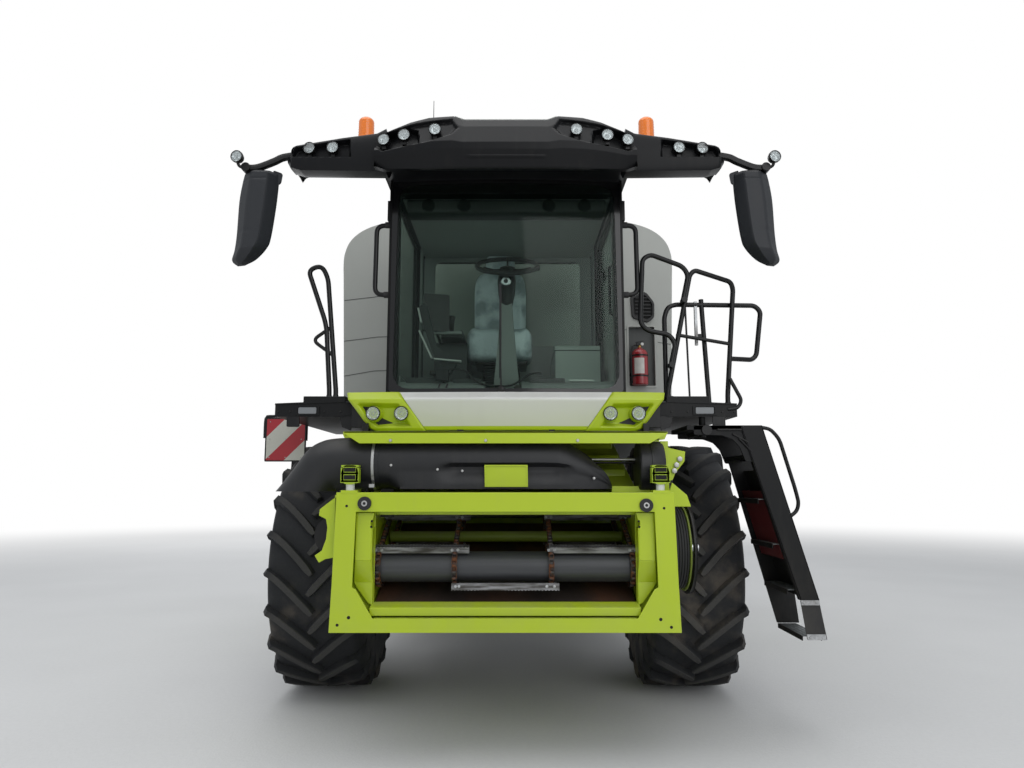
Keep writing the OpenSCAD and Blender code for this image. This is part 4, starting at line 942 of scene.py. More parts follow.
galvanised = Finish("galvanised_slats")
spangle = galvanised.cells(70, out="Color")
flake, _, _ = spangle.parts()
soil = galvanised.noise(9, 5).rise(0.4, 0.75)
galvanised.wear((0.55 * soil).blend(galvanised.tint((0.5, 0.51, 0.52), flake, 0.22), (0.1, 0.075,
    0.055)), 0.34 + 0.25 * flake + 0.2 * soil, galvanised.bumpy(flake, 0.0002), metallic=0.75)
slat_steel = Finish("worn_slat_steel")
scrape = slat_steel.noise(16, 6, stretch=(0.4, 1, 3))
slat_steel.wear(scrape.rise(0.35, 0.7).blend((0.34, 0.34, 0.35), (0.075, 0.07, 0.064)),
    0.3 + 0.3 * scrape, slat_steel.bumpy(scrape, 0.0004), metallic=0.8)
chain_steel = Finish("oily_chain_steel")
rust = chain_steel.noise(24, 5).rise(0.42, 0.62)
chain_steel.wear(rust.blend((0.05, 0.045, 0.042), (0.16, 0.06, 0.024)), 0.42 + 0.35 * rust,
    chain_steel.bumpy(chain_steel.noise(150, 3), 0.0006), metallic=0.4)
drum_steel = clouded("rubbed_drum_steel", (0.06, 0.062, 0.066), (8, 4, (0.15, 4, 4)), 0.5,
    (0.34, 0.2), 0.0004, metallic=0.35)
floor_rust = Finish("rusty_floor_plate")
flow = floor_rust.noise(3.5, 6, stretch=(1, 0.25, 1))
spots = floor_rust.noise(28, 4)
floor_rust.wear(flow.rise(0.35, 0.68).blend(spots.blend((0.055, 0.024, 0.014), (0.095, 0.042,
    0.022)), (0.028, 0.02, 0.016)), 0.55 + 0.25 * spots, floor_rust.bumpy(spots, 0.0008),
    metallic=0.15)


CHAIN_R = DRUM_R + 0.02
run_axis = RUN_BACK - (DRUM_Y, DRUM_Z)
run_length, run_slope = float(np.linalg.norm(run_axis)), math.atan2(run_axis[1], run_axis[0])


def drum_path(count):
    """Places and directions evenly spaced along one loop of chain: up the lower
    run, round the rear shaft, down the upper run and round the drum. Returns y,
    z and the angle of the chain at each place."""
    length, slope, radius = run_length, run_slope, CHAIN_R
    arc = math.pi * radius
    s = np.linspace(0, 2 * (length + arc), count, endpoint=False)
    turn1 = np.clip((s - length) / arc, 0, 1) * math.pi
    turn2 = np.clip((s - 2 * length - arc) / arc, 0, 1) * math.pi
    forward = np.clip(s, 0, length) - np.clip(s - length - arc, 0, length)
    angle = slope - math.pi / 2 + turn1 + turn2
    y = DRUM_Y + forward * math.cos(slope) + radius * np.cos(angle)
    z = DRUM_Z + forward * math.sin(slope) + radius * np.sin(angle)
    return y, z, angle


def placed(surface, ys, zs, angles):
    """Copies of a surface made round the origin, each turned about x by its angle
    and carried to its y and z."""
    points, quads, caps = surface
    points = np.asarray(points, float)
    ys, zs, angles = (np.asarray(given, float).ravel() for given in (ys, zs, angles))
    c, s = np.cos(angles)[:, None], np.sin(angles)[:, None]
    y = ys[:, None] + points[:, 1] * c - points[:, 2] * s
    z = zs[:, None] + points[:, 1] * s + points[:, 2] * c
    x = np.broadcast_to(points[:, 0], y.shape)
    many = np.stack([x, y, z], -1)
    step = len(points) * np.arange(len(ys))
    return (many.reshape(-1, 3), (np.asarray(quads)[None] + step[:, None, None]).reshape(-1, 4),
            [[i + k for i in cap] for k in step for cap in caps])


CHAIN_X = (-0.775, -0.31, 0.28, 0.775)
link_y, link_z, link_a = drum_path(82)
side_plate = rounded(rect(-0.008, -0.03, 0.008, 0.03), 0.006, 3)
roller = turned([(-0.011, 0.011), (0.011, 0.011)], (0, 0, 0), steps=10)
for x in CHAIN_X:
    cheeks = joined(moved(plate(side_plate, -0.002, 0.002, "x"), (x - 0.014, 0, 0)),
        moved(plate(side_plate, -0.002, 0.002, "x"), (x + 0.014, 0, 0)))
    conveyor.add(placed(cheeks, link_y, link_z, link_a), chain_steel.material)
    conveyor.add(placed(moved(roller, (x, 0, 0.025)), link_y, link_z, link_a), chain_steel.material)
    conveyor.add(turned([(-0.008, DRUM_R + 0.016), (0.008, DRUM_R + 0.016)], (x, DRUM_Y, DRUM_Z),
        steps=40), chain_steel.material)
conveyor.add(turned([(-0.789, 0.0), (-0.789, DRUM_R - 0.008), (-0.78, DRUM_R), (0.78, DRUM_R),
    (0.789, DRUM_R - 0.008), (0.789, 0.0)], (0, DRUM_Y, DRUM_Z), steps=72), drum_steel)
conveyor.add(turned([(-0.81, 0.03), (0.81, 0.03)], (0, DRUM_Y, DRUM_Z), steps=24), drum_steel)
conveyor.add(turned([(-0.81, 0.105), (0.81, 0.105)], (0, *RUN_BACK), steps=48), lime)
# The cross shaft's lime is darkened to stand for the shade it lies in: painted shade, with some
# dust on it.
shade_darkened_lime = painted("lime_painted_shade_and_dust", (0.16, 0.215, 0.015), 0.5, dust=0.6)
conveyor.add(turned([(-0.785, 0.036), (0.785, 0.036)], (0, -1.2, 1.252), steps=32), shade_darkened_lime)

# Slats: a folded channel whose front edge is cut into teeth
TOOTH = 0.02


def slat(x0, x1):
    """A channel section along x from x0 to x1; the edge that drives the crop is a
    row of teeth, half a tooth deep."""
    n = max(2, int(round((x1 - x0) / TOOTH)) * 2 + 1)
    x = np.linspace(x0, x1, n)
    bite = np.where(np.arange(n) % 2 == 0, 0.0, 0.007)
    section = [(0.0, -0.02), (0.034, -0.02), (0.034, 0.024 - bite), (0.03, 0.024 - bite),
               (0.03, -0.015), (0.004, -0.015), (0.004, 0.024 - bite), (0.0, 0.024 - bite)]
    points = np.stack([np.stack(np.broadcast_arrays(x, y, z), -1) for y, z in section], 1)
    return (points.reshape(-1, 3), grid_quads(n, 8, False, True), [list(range(8)),
        list(range(8 * n - 8, 8 * n))])


# Which run a slat is on (1 upper, -1 lower), its two ends, and its share of the run
SLATS = ((1, -0.8, -0.222, 0.0), (1, 0.27, 0.8, 0.0), (-1, -0.32, 0.323, 0.05), (-1, -0.8, -0.29,
    0.13), (-1, 0.27, 0.8, 0.13), (1, -0.8, -0.236, 0.34), (1, 0.255, 0.8, 0.34), (-1, -0.8, -0.3,
    0.45), (-1, 0.27, 0.8, 0.45), (-1, -0.32, 0.29, 0.3), (1, -0.32, 0.29, 0.62))
for upper, x0, x1, share in SLATS:
    points, quads, caps = slat(x0, x1)
    points = points * (1, 1, upper) + (0, share * run_length - 0.03, upper * (DRUM_R + 0.04))
    conveyor.add(placed((points, quads, caps), DRUM_Y, DRUM_Z, run_slope), slat_steel.material)
    for x in CHAIN_X:
        if x0 - 0.02 < x < x1 + 0.02:
            spots = [(x + aside, share * run_length - 0.034, upper * (DRUM_R + 0.045))
                for aside in (-0.016, 0.02)]
            heads = copies(turned([(-0.004, 0.009), (0.0, 0.01), (0.005, 0.009)], (0, 0, 0), "y",
                10), spots)
            conveyor.add(placed(heads, DRUM_Y, DRUM_Z, run_slope), galvanised.material)
points, quads, caps = slat(-0.325, 0.325)
conveyor.add((points * (1, 1, -1) + (0, -1.765, 0.992), quads, caps), slat_steel.material)
conveyor.add(copies(turned([(-0.004, 0.008), (0.0, 0.01), (0.004, 0.01)], (0, 0, 0), "y", 10),
    [(x, -1.766, 0.995) for x in (-0.3, -0.28, 0.25, 0.295)]), galvanised.material)
conveyor.made("feeder", "steel_bright", ["feeder_conveyor"], smooth=30)

lining = Piece("feeder_floor_plate")
lining.add(plate([(-1.8, 0.88), (-1.755, 0.85), (-0.6, 1.302), (-0.6, 1.31), (-1.75, 0.862)],
    -0.795, 0.795, "x"), floor_rust.material)
lining.made("feeder", "steel_bright")


# ---------------------------------------------------------------- dust duct
# A black moulded duct lies across the feeder behind its frame. Its right end
# turns down into an open spout behind a steel clamp, and its left end slopes
# away. The lower front is pressed inwards, and a lime plate is fixed there.

DUCT_Y, DUCT_R = -1.65, 0.16
DUCT_LOW = 1.575
duct_black = painted("moulded_black_duct", (0.0125, 0.013, 0.0145), 0.44, dust=0.16, peel=0.0006,
    spread=0.25, shine=0.45)


def spline(points, count):
    """count points on a smooth curve through the given ones: between each two, the
    cubic whose slopes are half the step between the neighbours either side."""
    points = np.asarray(points, float)
    padded_points = np.concatenate([2 * points[:1] - points[1:2], points, 2 * points[-1:]
        - points[-2:-1]])
    t = np.linspace(0, len(points) - 1, count)
    k = np.minimum(t.astype(int), len(points) - 2)
    f = (t - k)[:, None]
    a, b, c, d = (padded_points[k + i] for i in range(4))
    return 0.5 * (2 * b + (c - a) * f + (2 * a - 5 * b + 4 * c - d) * f ** 2 + (3 * b - a - 3 * c
        + d) * f ** 3)


def ease(x, low, high):
    """Smooth step of x from 0 at low to 1 at high."""
    t = np.clip((x - low) / (high - low), 0, 1)
    return t * t * (3 - 2 * t)


def duct_body():
    """At x and angle a the duct is a round section of its own height there, with
    a straight lower front; the pressed part is set back under a curved brow."""
    crest = spline([(-0.86, 1.895), (-0.2, 1.895), (0.25, 1.895), (0.352, 1.882), (0.43, 1.842),
        (0.52, 1.78), (0.585, 1.715), (0.635, 1.65), (0.662, 1.59)], 150)
    x, top = crest[:, 0][:, None], crest[:, 1][:, None]
    a = np.linspace(0, 2 * math.pi, 80, endpoint=False)[None, :]
    height = top - DUCT_LOW
    z = DUCT_LOW + height * (0.5 + 0.5 * np.sin(a))
    y = DUCT_Y - DUCT_R * np.cos(a) * (0.25 + 0.75 * (height / 0.32) ** 0.7) + 0 * x
    front = (np.cos(a) > 0) * 1.0
    straight = ease(x, -0.69, -0.668) * front * ease(z, 1.735, 1.68)
    y = y + straight * (np.minimum(y, DUCT_Y - 0.152 * (0.25 + 0.75 * (height / 0.32) ** 0.7)) - y)
    brow = np.interp(x, (-0.42, -0.36, 0.21, 0.384, 0.43), (1.7, 1.728, 1.726, 1.721, 1.695))
    pressed = ease(x, -0.43, -0.3) * ease(x, 0.45, 0.29) * ease(z, brow + 0.004,
        brow - 0.014) * (0.25 + 0.75 * ease(z, 1.6, 1.7)) * front
    y = y + 0.046 * pressed
    points = np.stack([x + 0 * y, y, z + 0 * y], -1)
    rows, columns = points.shape[:2]
    return (points.reshape(-1, 3), grid_quads(rows, columns, False, True),
            [list(range(columns)), list(range((rows - 1) * columns, rows * columns))])


def duct_spout():
    """Sections that fan out from the tube round its inner corner: each is an
    ellipse between an inner and an outer curve. The last ones go back up inside."""
    outer = spline([(-0.8, 1.895), (-0.95, 1.895), (-1.05, 1.893), (-1.15, 1.876), (-1.24, 1.822),
        (-1.33, 1.7), (-1.4, 1.606), (-1.438, 1.56)], 40)
    inner = spline([(-0.8, 1.575), (-0.93, 1.575), (-1.01, 1.575), (-1.035, 1.574), (-1.048,
        1.572), (-1.056, 1.569), (-1.06, 1.565), (-1.062, 1.561)], 40)
    outer = np.concatenate([outer, [(-1.432, 1.56), (-1.35, 1.65), (-1.22, 1.76)]])
    inner = np.concatenate([inner, [(-1.068, 1.56), (-1.06, 1.6), (-1.0, 1.62)]])
    wide = np.concatenate([np.full(40, DUCT_R), [DUCT_R - 0.006] * 3])[:, None]
    a = np.linspace(0, 2 * math.pi, 64, endpoint=False)[None, :]
    middle, half = (outer + inner) / 2, (outer - inner) / 2
    x = middle[:, :1] + half[:, :1] * np.cos(a)
    z = middle[:, 1:] + half[:, 1:] * np.cos(a)
    y = DUCT_Y + wide * np.sin(a)
    points = np.stack([x, y, z], -1)
    return points.reshape(-1, 3), grid_quads(43, 64, False, True), [list(range(64)),
        list(range(42 * 64, 43 * 64))]


duct = Piece("dust_duct_moulding")
duct.add(duct_body(), duct_black)
duct.add(duct_spout(), duct_black)
duct.add(turned([(-0.008, 0.155), (-0.008, 0.1645), (0.008, 0.1645), (0.008, 0.155)], (-0.812,
    DUCT_Y, 1.735), steps=72, closed=True), zinc)
duct.add(block((-0.828, -1.812, 1.585), (-0.796, -1.785, 1.605)), zinc)
duct.add(turned([(-0.012, 0.155), (-0.012, 0.1625), (0.012, 0.1625), (0.012, 0.155)],
    (-0.79, DUCT_Y, 1.735), steps=72, closed=True), duct_black)
for x, y, z in ((-0.697, -1.807, 1.719), (-0.414, -1.805, 1.693), (-0.266, -1.76, 1.686),
        (0.54, -1.795, 1.64)):
    duct.add(turned([(-0.009, 0.0), (-0.007, 0.008), (0.004, 0.01)], (x, y, z), "y", 6), zinc)
lime_plate = [(-0.125, 1.588), (0.137, 1.588), (0.135, 1.721), (-0.128, 1.721)]
duct.add(plate(lime_plate, -1.806, -1.798), lime)
duct.add(frame_plate(lime_plate, [(-0.117, 1.596), (0.129, 1.596), (0.127, 1.713), (-0.12, 1.713)],
    -1.811, -1.804), lime)
duct.both(block((0.7, -1.67, 1.4), (0.78, -1.63, 1.58)), satin_black)
duct.add(block((0.66, -1.7, 1.556), (0.98, -1.6, 1.592)), lime)
# Filter drum at the left end, its pipe and the two rods behind the duct
duct.add(turned([(0.0, 0.15), (0.008, 0.158), (0.135, 0.158), (0.145, 0.15), (0.156, 0.146)],
    (0.829, -1.64, 1.715), steps=56), duct_black)
duct.add(turned([(0.0, 0.162), (0.012, 0.162)], (0.9, -1.64, 1.715), steps=56), duct_black)
duct.add(pipe([(0.4, -1.56, 1.762), (0.86, -1.56, 1.762)], 0.009, 10), zinc)
duct.add(pipe([(0.4, -1.54, 1.742), (0.86, -1.54, 1.742)], 0.007, 10), satin_black)
duct.made("feeder", "black_plastic", ["dust_duct"], smooth=40)


# ---------------------------------------------------------------- header drive
# A large belt pulley on the left of the feeder drives the header: painted cast
# iron with ribbed rubber belts, between a black steel guard and a lime shield.

DRIVE_Y, DRIVE_Z = -1.47, 1.2
DRIVE_AT = (0, DRIVE_Y, DRIVE_Z)
belt_rubber = clouded("belt_rubber", (0.03, 0.03, 0.032), (130, 3), 0.3, (0.55, 0.25), 0.0005,
    specular_ior_level=0.3)
drive = Piece("header_drive_pulley")
grooves = []
for x in 0.0165 * np.arange(5):
    grooves += [(x + 0.002, 0.246), (x + 0.004, 0.254), (x + 0.0145, 0.254), (x + 0.0165, 0.246)]
drive.add(turned(grooves, (1.046, DRIVE_Y, DRIVE_Z), steps=96), belt_rubber)
drive.add(turned(rect(1.037, 0.268, 1.046, 0.05), DRIVE_AT, steps=96, closed=True), satin_black)
# The lime shield of the pulley takes the same darkened lime: painted shade.
drive.add(turned([(1.13, 0.268), (1.14, 0.268), (1.14, 0.215), (1.122, 0.19), (1.122, 0.085),
    (1.14, 0.07), (1.14, 0.0), (1.1, 0.0), (1.1, 0.08), (1.112, 0.19), (1.13, 0.215)], DRIVE_AT,
    steps=96, closed=True), shade_darkened_lime)
# Guard: a band that wraps the front and lower side of the pulley, with a lip
wrap = np.linspace(math.radians(95), math.radians(285), 60)
inner_arc, face_arc, outer_arc = (np.stack([DRIVE_Y + radius * np.cos(wrap), DRIVE_Z + radius
    * np.sin(wrap)], 1) for radius in (0.274, 0.2, 0.288))
drive.add(plate(np.concatenate([inner_arc, outer_arc[::-1]]), 1.15, 1.17, "x"), satin_black)
drive.add(plate(np.concatenate([face_arc, outer_arc[::-1]]), 1.16, 1.17, "x"), satin_black)
for a in np.radians((110, 190, 270)):
    at = (1.168, DRIVE_Y + 0.245 * math.cos(a), DRIVE_Z + 0.245 * math.sin(a))
    drive.add(moved(nut(0.01, 0.01), at), zinc)
drive.add(turned([(0.83, 0.06), (1.04, 0.06)], DRIVE_AT, steps=32), satin_black)
drive.add(turned([(1.12, 0.025), (1.24, 0.025)], DRIVE_AT, steps=24), chrome)
drive.add(turned([(1.13, 0.06), (1.165, 0.06), (1.172, 0.05)], DRIVE_AT, steps=32), satin_black)
drive.add(moved(around(moved(nut(0.009, 0.012), (0, 0, 0.105)), 6), (1.121, DRIVE_Y, DRIVE_Z)),
    zinc)
drive.made("feeder", "dark_metal", ["feeder_drive"], edge=0.0015)


# ---------------------------------------------------------------- feeder hoses
# Hydraulic and electric lines in corrugated black sleeves run from the body to
# the multi-coupler on the left post, tied to a bracket.

hoses = Piece("feeder_hoses")
sleeve = painted("corrugated_sleeve", (0.016, 0.016, 0.018), 0.5, dust=0.4)


def corrugated(path, radius):
    """A pipe whose radius swells and shrinks along its length, as 1 plus a cosine of
    the distance along it over the pitch of the folds."""
    pitch, depth = 0.012, 0.0018
    path = np.asarray(path, float)
    length = np.concatenate([[0], np.cumsum(np.linalg.norm(np.diff(path, axis=0), axis=1))])
    fine = np.arange(0, length[-1], pitch / 4)
    dense = np.stack([np.interp(fine, length, path[:, k]) for k in range(3)], 1)
    return pipe(dense, radius, 14, 1 + depth / radius * np.cos(2 * math.pi * fine / pitch))


for offset, radius in ((0.0, 0.021), (0.045, 0.016), (0.085, 0.013)):
    line = spline([(0.98, -1.2 + offset, 1.62), (1.06, -1.24 + offset, 1.78),
        (1.075 + 0.2 * offset, -1.34 + offset, 1.8), (1.085 + 0.3 * offset, -1.42 + offset, 1.7),
        (1.06, -1.46 + offset, 1.57), (1.02, -1.5 + offset, 1.5)], 90)
    hoses.add(corrugated(line, radius), sleeve)
for x in (-0.9, -0.86):
    hoses.add(pipe(spline([(x, -0.6, 1.6), (x - 0.03, -0.9, 1.7), (x - 0.02, -1.25, 1.66),
        (x, -1.5, 1.5)], 40), 0.012, 12), black_rubber)
hoses.add(block((1.01, -1.5, 1.47), (1.035, -1.38, 1.56)), satin_black)
hoses.made("feeder", "black_plastic")


# ---------------------------------------------------------------- threshing body
# The welded sheet-steel body that carries all else, in pale grey enamel. Round
# covers close the drum and walker shafts, and pressed ribs stiffen its sides.

body_enamel = painted("body_enamel", (0.2, 0.205, 0.2), 0.42, dust=0.75)
for node in ("threshing_body", "side_frames"):
    dress(node, body_enamel, 0.004)
galvanised_plate = Finish("galvanised_sheet")
spangle = galvanised_plate.cells(55)
stain = galvanised_plate.noise(3.0, 5)
galvanised_plate.wear(galvanised_plate.tint((0.36, 0.36, 0.35), spangle * 0.5 + stain * 0.6, 0.4),
    0.38 + 0.25 * stain, galvanised_plate.bumpy(spangle, 0.0002), metallic=0.75)
body = Piece("body_side_details")
for y, z, r in ((0.95, 1.3, 0.2), (1.75, 1.42, 0.22), (2.35, 1.62, 0.13), (3.55, 1.72, 0.15),
        (4.55, 1.72, 0.12)):
    at = (0.772 if y < 1.1 else 0.862, y, z)
    cover = [(0.0, r), (0.006, r), (0.012, r - 0.012), (0.012, 0.07), (0.03, 0.062),
        (0.034, 0.035), (0.034, 0.003)]
    body.both(turned(cover, at, steps=40), galvanised_plate.material)
    body.both(turned([(0.034, 0.003), (0.034, 0.016), (0.046, 0.016), (0.048, 0.003)], at,
        steps=6), galvanised_plate.material)
for y0, y1, z in ((1.15, 2.8, 1.9), (1.15, 2.8, 2.05), (2.95, 5.25, 1.95), (2.95, 5.25, 2.06)):
    body.both(plate(rounded(rect(y0, z, y1, z + 0.04), 0.018, 4), 0.858, 0.87, "x"), body_enamel)
for y in (3.2, 3.9, 4.6, 5.2):
    body.both(plate(rounded(rect(y, 1.52, y + 0.05, 1.9), 0.015, 4), 0.858, 0.872, "x"),
        body_enamel)
body.made("chassis", "body_grey", edge=0.002)


# ---------------------------------------------------------------- belt drives
# Grooved cast pulleys in grey enamel and rubber V belts stand on both sides of
# the body and drive the drum, the straw walkers and the chopper.


def on_side(surface, sign):
    """The surface, or for a sign of -1 its mirror image on the other side."""
    return surface if sign > 0 else across(surface)


pulley_grey = painted("pulley_enamel", (0.12, 0.13, 0.13), 0.45, dust=0.8)
drive_belt = painted("drive_belt", (0.013, 0.013, 0.014), 0.62, dust=0.9)
drives = Piece("body_belt_drives")
# Side, how far out the belt runs, and y, z and radius of its two pulleys
BELTS = ((-1, 0.905, ((1.75, 1.42, 0.24), (3.55, 1.72, 0.15))), (-1, 0.965, ((3.55, 1.72, 0.1),
    (4.55, 1.72, 0.2))), (1, 0.905, ((0.95, 1.3, 0.16), (2.35, 1.62, 0.24))))
WRAP_STEPS = 22
for sign, x, ends in BELTS:
    loop = []
    for (y, z, r), (other_y, other_z, _) in zip(ends, ends[::-1]):
        angles = math.atan2(z - other_z, y - other_y) + np.linspace(-math.pi / 2, math.pi / 2,
            WRAP_STEPS)
        half_wrap = [np.full(WRAP_STEPS, sign * (x + 0.022)), y + (r + 0.006) * np.cos(angles),
            z + (r + 0.006) * np.sin(angles)]
        loop.append(np.stack(half_wrap, 1))
        groove = [(0.0, 0.03), (0.0, r + 0.01), (0.01, r + 0.008), (0.022, r - 0.01),
            (0.034, r + 0.008), (0.044, r + 0.01), (0.044, r - 0.02), (0.03, r - 0.03),
            (0.03, 0.05), (0.055, 0.045), (0.055, 0.004)]
        drives.add(on_side(turned(groove, (x, y, z), steps=48), sign), pulley_grey)
        axle = turned([(-0.1, 0.028), (0.07, 0.028), (0.074, 0.02), (0.074, 0.002)], (x, y, z),
            steps=24)
        drives.add(on_side(axle, sign), galvanised.material)
    loop = np.concatenate(loop)
    band = np.array([(-0.013, -0.007), (0.013, -0.007), (0.017, 0.006), (-0.017, 0.006)])
    tangent = np.roll(loop, -1, 0) - np.roll(loop, 1, 0)
    tangent /= np.linalg.norm(tangent, axis=1, keepdims=True)
    out = np.cross(tangent, (1.0, 0.0, 0.0))
    out *= np.sign((out * (loop - loop.mean(0))).sum(1, keepdims=True))
    rings = loop[:, None] + band[None, :, :1] * (1.0, 0, 0) + band[None, :, 1:] * out[:, None]
    drives.add((rings.reshape(-1, 3), grid_quads(len(rings), 4, True, True), []), drive_belt)
drives.made("chassis", "dark_metal", smooth=45)


# ---------------------------------------------------------------- straw chopper
# A steel chopper housing closes the body behind, over two galvanised spreader
# discs. Vanes stand on its spreading plate, and round covers close its shafts.

chopper_grey = painted("chopper_enamel", (0.02, 0.021, 0.022), 0.42, dust=0.2)
dress("chopper_housing", chopper_grey, 0.006)
chopper = Piece("chopper_details")
for y, z in ((5.62, 1.25), (5.45, 1.44), (5.95, 1.42)):
    chopper.both(turned([(0.0, 0.075), (0.01, 0.07), (0.014, 0.03), (0.03, 0.026), (0.03, 0.002)],
        (0.76, y, z), "x", 32), galvanised_plate.material)
for x in np.linspace(-0.62, 0.62, 9):
    chopper.add(plate(rounded([(6.02, 1.145), (6.34, 1.128), (6.34, 1.118), (6.02, 1.095)], 0.003,
        2), x - 0.003, x + 0.003, "x"), galvanised_plate.material)
chopper.add(plate(rounded(rect(-0.7, 1.2, 0.7, 1.215), 0.004, 2), 6.18, 6.33), chopper_grey)
for x in (-0.55, 0.0, 0.55):
    chopper.add(pipe([(x - 0.05, 6.2, 1.245), (x - 0.05, 6.2, 1.275), (x + 0.05, 6.2, 1.275),
        (x + 0.05, 6.2, 1.245)], 0.008, 10), satin_black)
chopper.made("chassis", "dark_metal", edge=0.001)
for side in ("left", "right"):
    dress(f"spreader_{side}", galvanised_plate.material, 0.002)


# ---------------------------------------------------------------- rear hood
# A white moulded hood closes the straw walkers, with a grille of slats, lime
# edge strips, and lamps, reflectors and the ladder hung on it.

hood_white = painted("hood_white", (0.36, 0.37, 0.345), 0.38, dust=0.35, coat=0.15, spread=0.045)
dress("rear_hood", hood_white, 0.014)
rear = Piece("rear_hood_details")
for z in np.arange(2.42, 3.02, 0.055):
    y = np.interp(z, (1.56, 2.3, 3.18), (5.9, 5.9, 5.78))
    slat_side = rounded([(y - 0.004, z), (y + 0.02, z - 0.012), (y + 0.024, z + 0.002), (y - 0.002,
        z + 0.024)], 0.003, 2)
    rear.add(plate(slat_side, -0.3 if z > 2.9 else -0.26, 0.8, "x"), satin_black)
rear.both(plate(rounded([(0.86, 2.15), (1.09, 2.15), (1.06, 2.27), (0.9, 2.27)], 0.02, 4), 5.896,
    5.912), satin_black)
rear.both(plate(rounded(rect(1.085, 1.6, 1.128, 2.28), 0.01, 4), 5.896, 5.909), lime)
rear.both(block((1.128, 5.4, 2.2), (1.136, 5.86, 2.235)), hood_white)
for z in (1.72, 2.62):
    rear.both(turned([(0.0, 0.035), (0.004, 0.04), (0.01, 0.036), (0.012, 0.003)], (1.129, 5.56,
        z), "x", 28), satin_black)
rear.add(plate(rounded(rect(-0.27, 1.95, 0.27, 2.08), 0.01, 4), 5.899, 5.906), stem_white)
rear.made("chassis", "white_paint", edge=0.001)


# ---------------------------------------------------------------- rear lamps
# Two lamp clusters: a red lens over stop and tail lamps, an amber indicator
# beside it and a clear reversing lamp, in black housings.


def lens_finish(name, colour):
    """Moulded clear plastic with fine prisms on its back."""
    f = Finish(name)
    prism = f.cells(90)
    f.wear(f.tint(colour, prism, 0.35), 0.08 + 0.1 * prism, f.bumpy(prism, 0.0006), coat_weight=0.7)
    return f.material


red_prism = lens_finish("red_lens", (0.45, 0.006, 0.006))
amber_prism = lens_finish("amber_lens", (0.75, 0.22, 0.01))
clear_prism = lens_finish("clear_lens", (0.6, 0.62, 0.62))
clusters = Piece("rear_lamp_clusters")
clusters.both(plate(rounded(rect(0.925, 1.585, 1.105, 1.675), 0.015, 4), 5.9, 5.922), satin_black)
for x0, x1, lens in ((0.932, 1.002, red_prism), (1.006, 1.056, amber_prism), (1.06, 1.098,
        clear_prism)):
    clusters.both(plate(rounded(rect(x0, 1.593, x1, 1.667), 0.01, 4), 5.918, 5.938), lens)
clusters.made("chassis", "red_lens", ["tail_lamps"], edge=0.003)


# ---------------------------------------------------------------- warning boards
# Reflective boards with slanting red and white bands, riveted to steel plates.
# One hangs under the right deck from bent black tube, two stand on the hood's
# rear corners.

banded = Finish("red_and_white_bands")
BOARD_OUT, BOARD_TOP, BAND_STEP = 1.865, 2.112, 0.305 * 1.05
outward = (banded.x + 0.1).size()
along_band = ((BOARD_OUT - outward) + (BOARD_TOP - banded.z)) * (1 / BAND_STEP)
bright = along_band.math("FRACT", along_band).rise(0.462, 0.47)
film_grain = banded.cells(160)
dirt = banded.noise(7, 6)
clean = bright.blend((0.42, 0.012, 0.022), (0.56, 0.56, 0.5))
dirty = bright.blend((0.22, 0.01, 0.014), (0.33, 0.32, 0.27))
banded.wear((film_grain * 0.25 + dirt * 0.35).blend(clean, dirty), 0.28 + 0.35 * dirt,
    banded.bumpy(film_grain, 0.0002), coat_weight=0.25)
boards = Piece("warning_boards_striped")
board = rounded(rect(1.56, 1.783, BOARD_OUT, BOARD_TOP), 0.008, 3) * (-1, 1)
boards.add(plate(board, -0.612, -0.606), banded.material)
boards.add(plate(board, -0.606, -0.601), galvanised_plate.material)
boards.add(frame_plate(rounded(rect(-1.87, 1.778, -1.555, 2.117), 0.01, 4), rounded(rect(-1.86,
    1.788, -1.565, 2.107), 0.006, 4), -0.6125, -0.6), satin_black)
for x in (-1.835, -1.71, -1.59):
    for z in (1.81, 1.95, 2.085):
        boards.add(turned([(-0.0025, 0.001), (-0.0025, 0.004), (0.0, 0.005)], (x, -0.612, z), "y",
            10), galvanised_plate.material)
boards.add(pipe(spline([(-1.88, -0.592, 1.96), (-1.88, -0.592, 2.09), (-1.868, -0.592, 2.122),
    (-1.83, -0.592, 2.13), (-1.5, -0.592, 2.132)], 30), 0.0115, 14), satin_black)
boards.add(block((-1.7, -0.6, 1.94), (-1.55, -0.58, 2.09)), chopper_grey)
boards.both(plate(rounded(rect(0.85, 1.7, 1.12, 2.1), 0.008, 3), 5.9005, 5.91), banded.material)
boards.made("chassis", "red_paint", ["warning_boards"], edge=0.0006)


# ---------------------------------------------------------------- rear ladder
# A bolted tube ladder climbs to the engine hood, with dimpled square rungs. It
# leans forward by 45 mm over its height.


def ladder_y(z):
    """The place along the machine of the ladder's middle at height z."""
    return np.interp(z, (1.65, 3.3), (6.03, 5.985))


dress("rear_ladder", chopper_grey, 0.003)
ladder_feet = Piece("rear_ladder_feet")
for x in (-0.78, -0.4):
    for z in (1.7, 2.45, 3.1):
        ladder_feet.add(pipe([(x, ladder_y(z), z), (x, 5.87, z - 0.01)], 0.011, 12), satin_black)
for z in 1.73 + 0.27 * np.arange(6):
    y = ladder_y(z)
    ladder_feet.add(plate(rounded(rect(y - 0.02, z + 0.008, y + 0.02, z + 0.022), 0.003, 2),
        -0.765, -0.415, "x"), galvanised_plate.material)
ladder_feet.made("chassis", "dark_metal", edge=0.001)


# ---------------------------------------------------------------- engine and hood
# A dark steel hood covers the engine, with a rotary dust screen on its right and
# louvres on both sides. Lifting eyes, an exhaust and an air inlet stand on top.

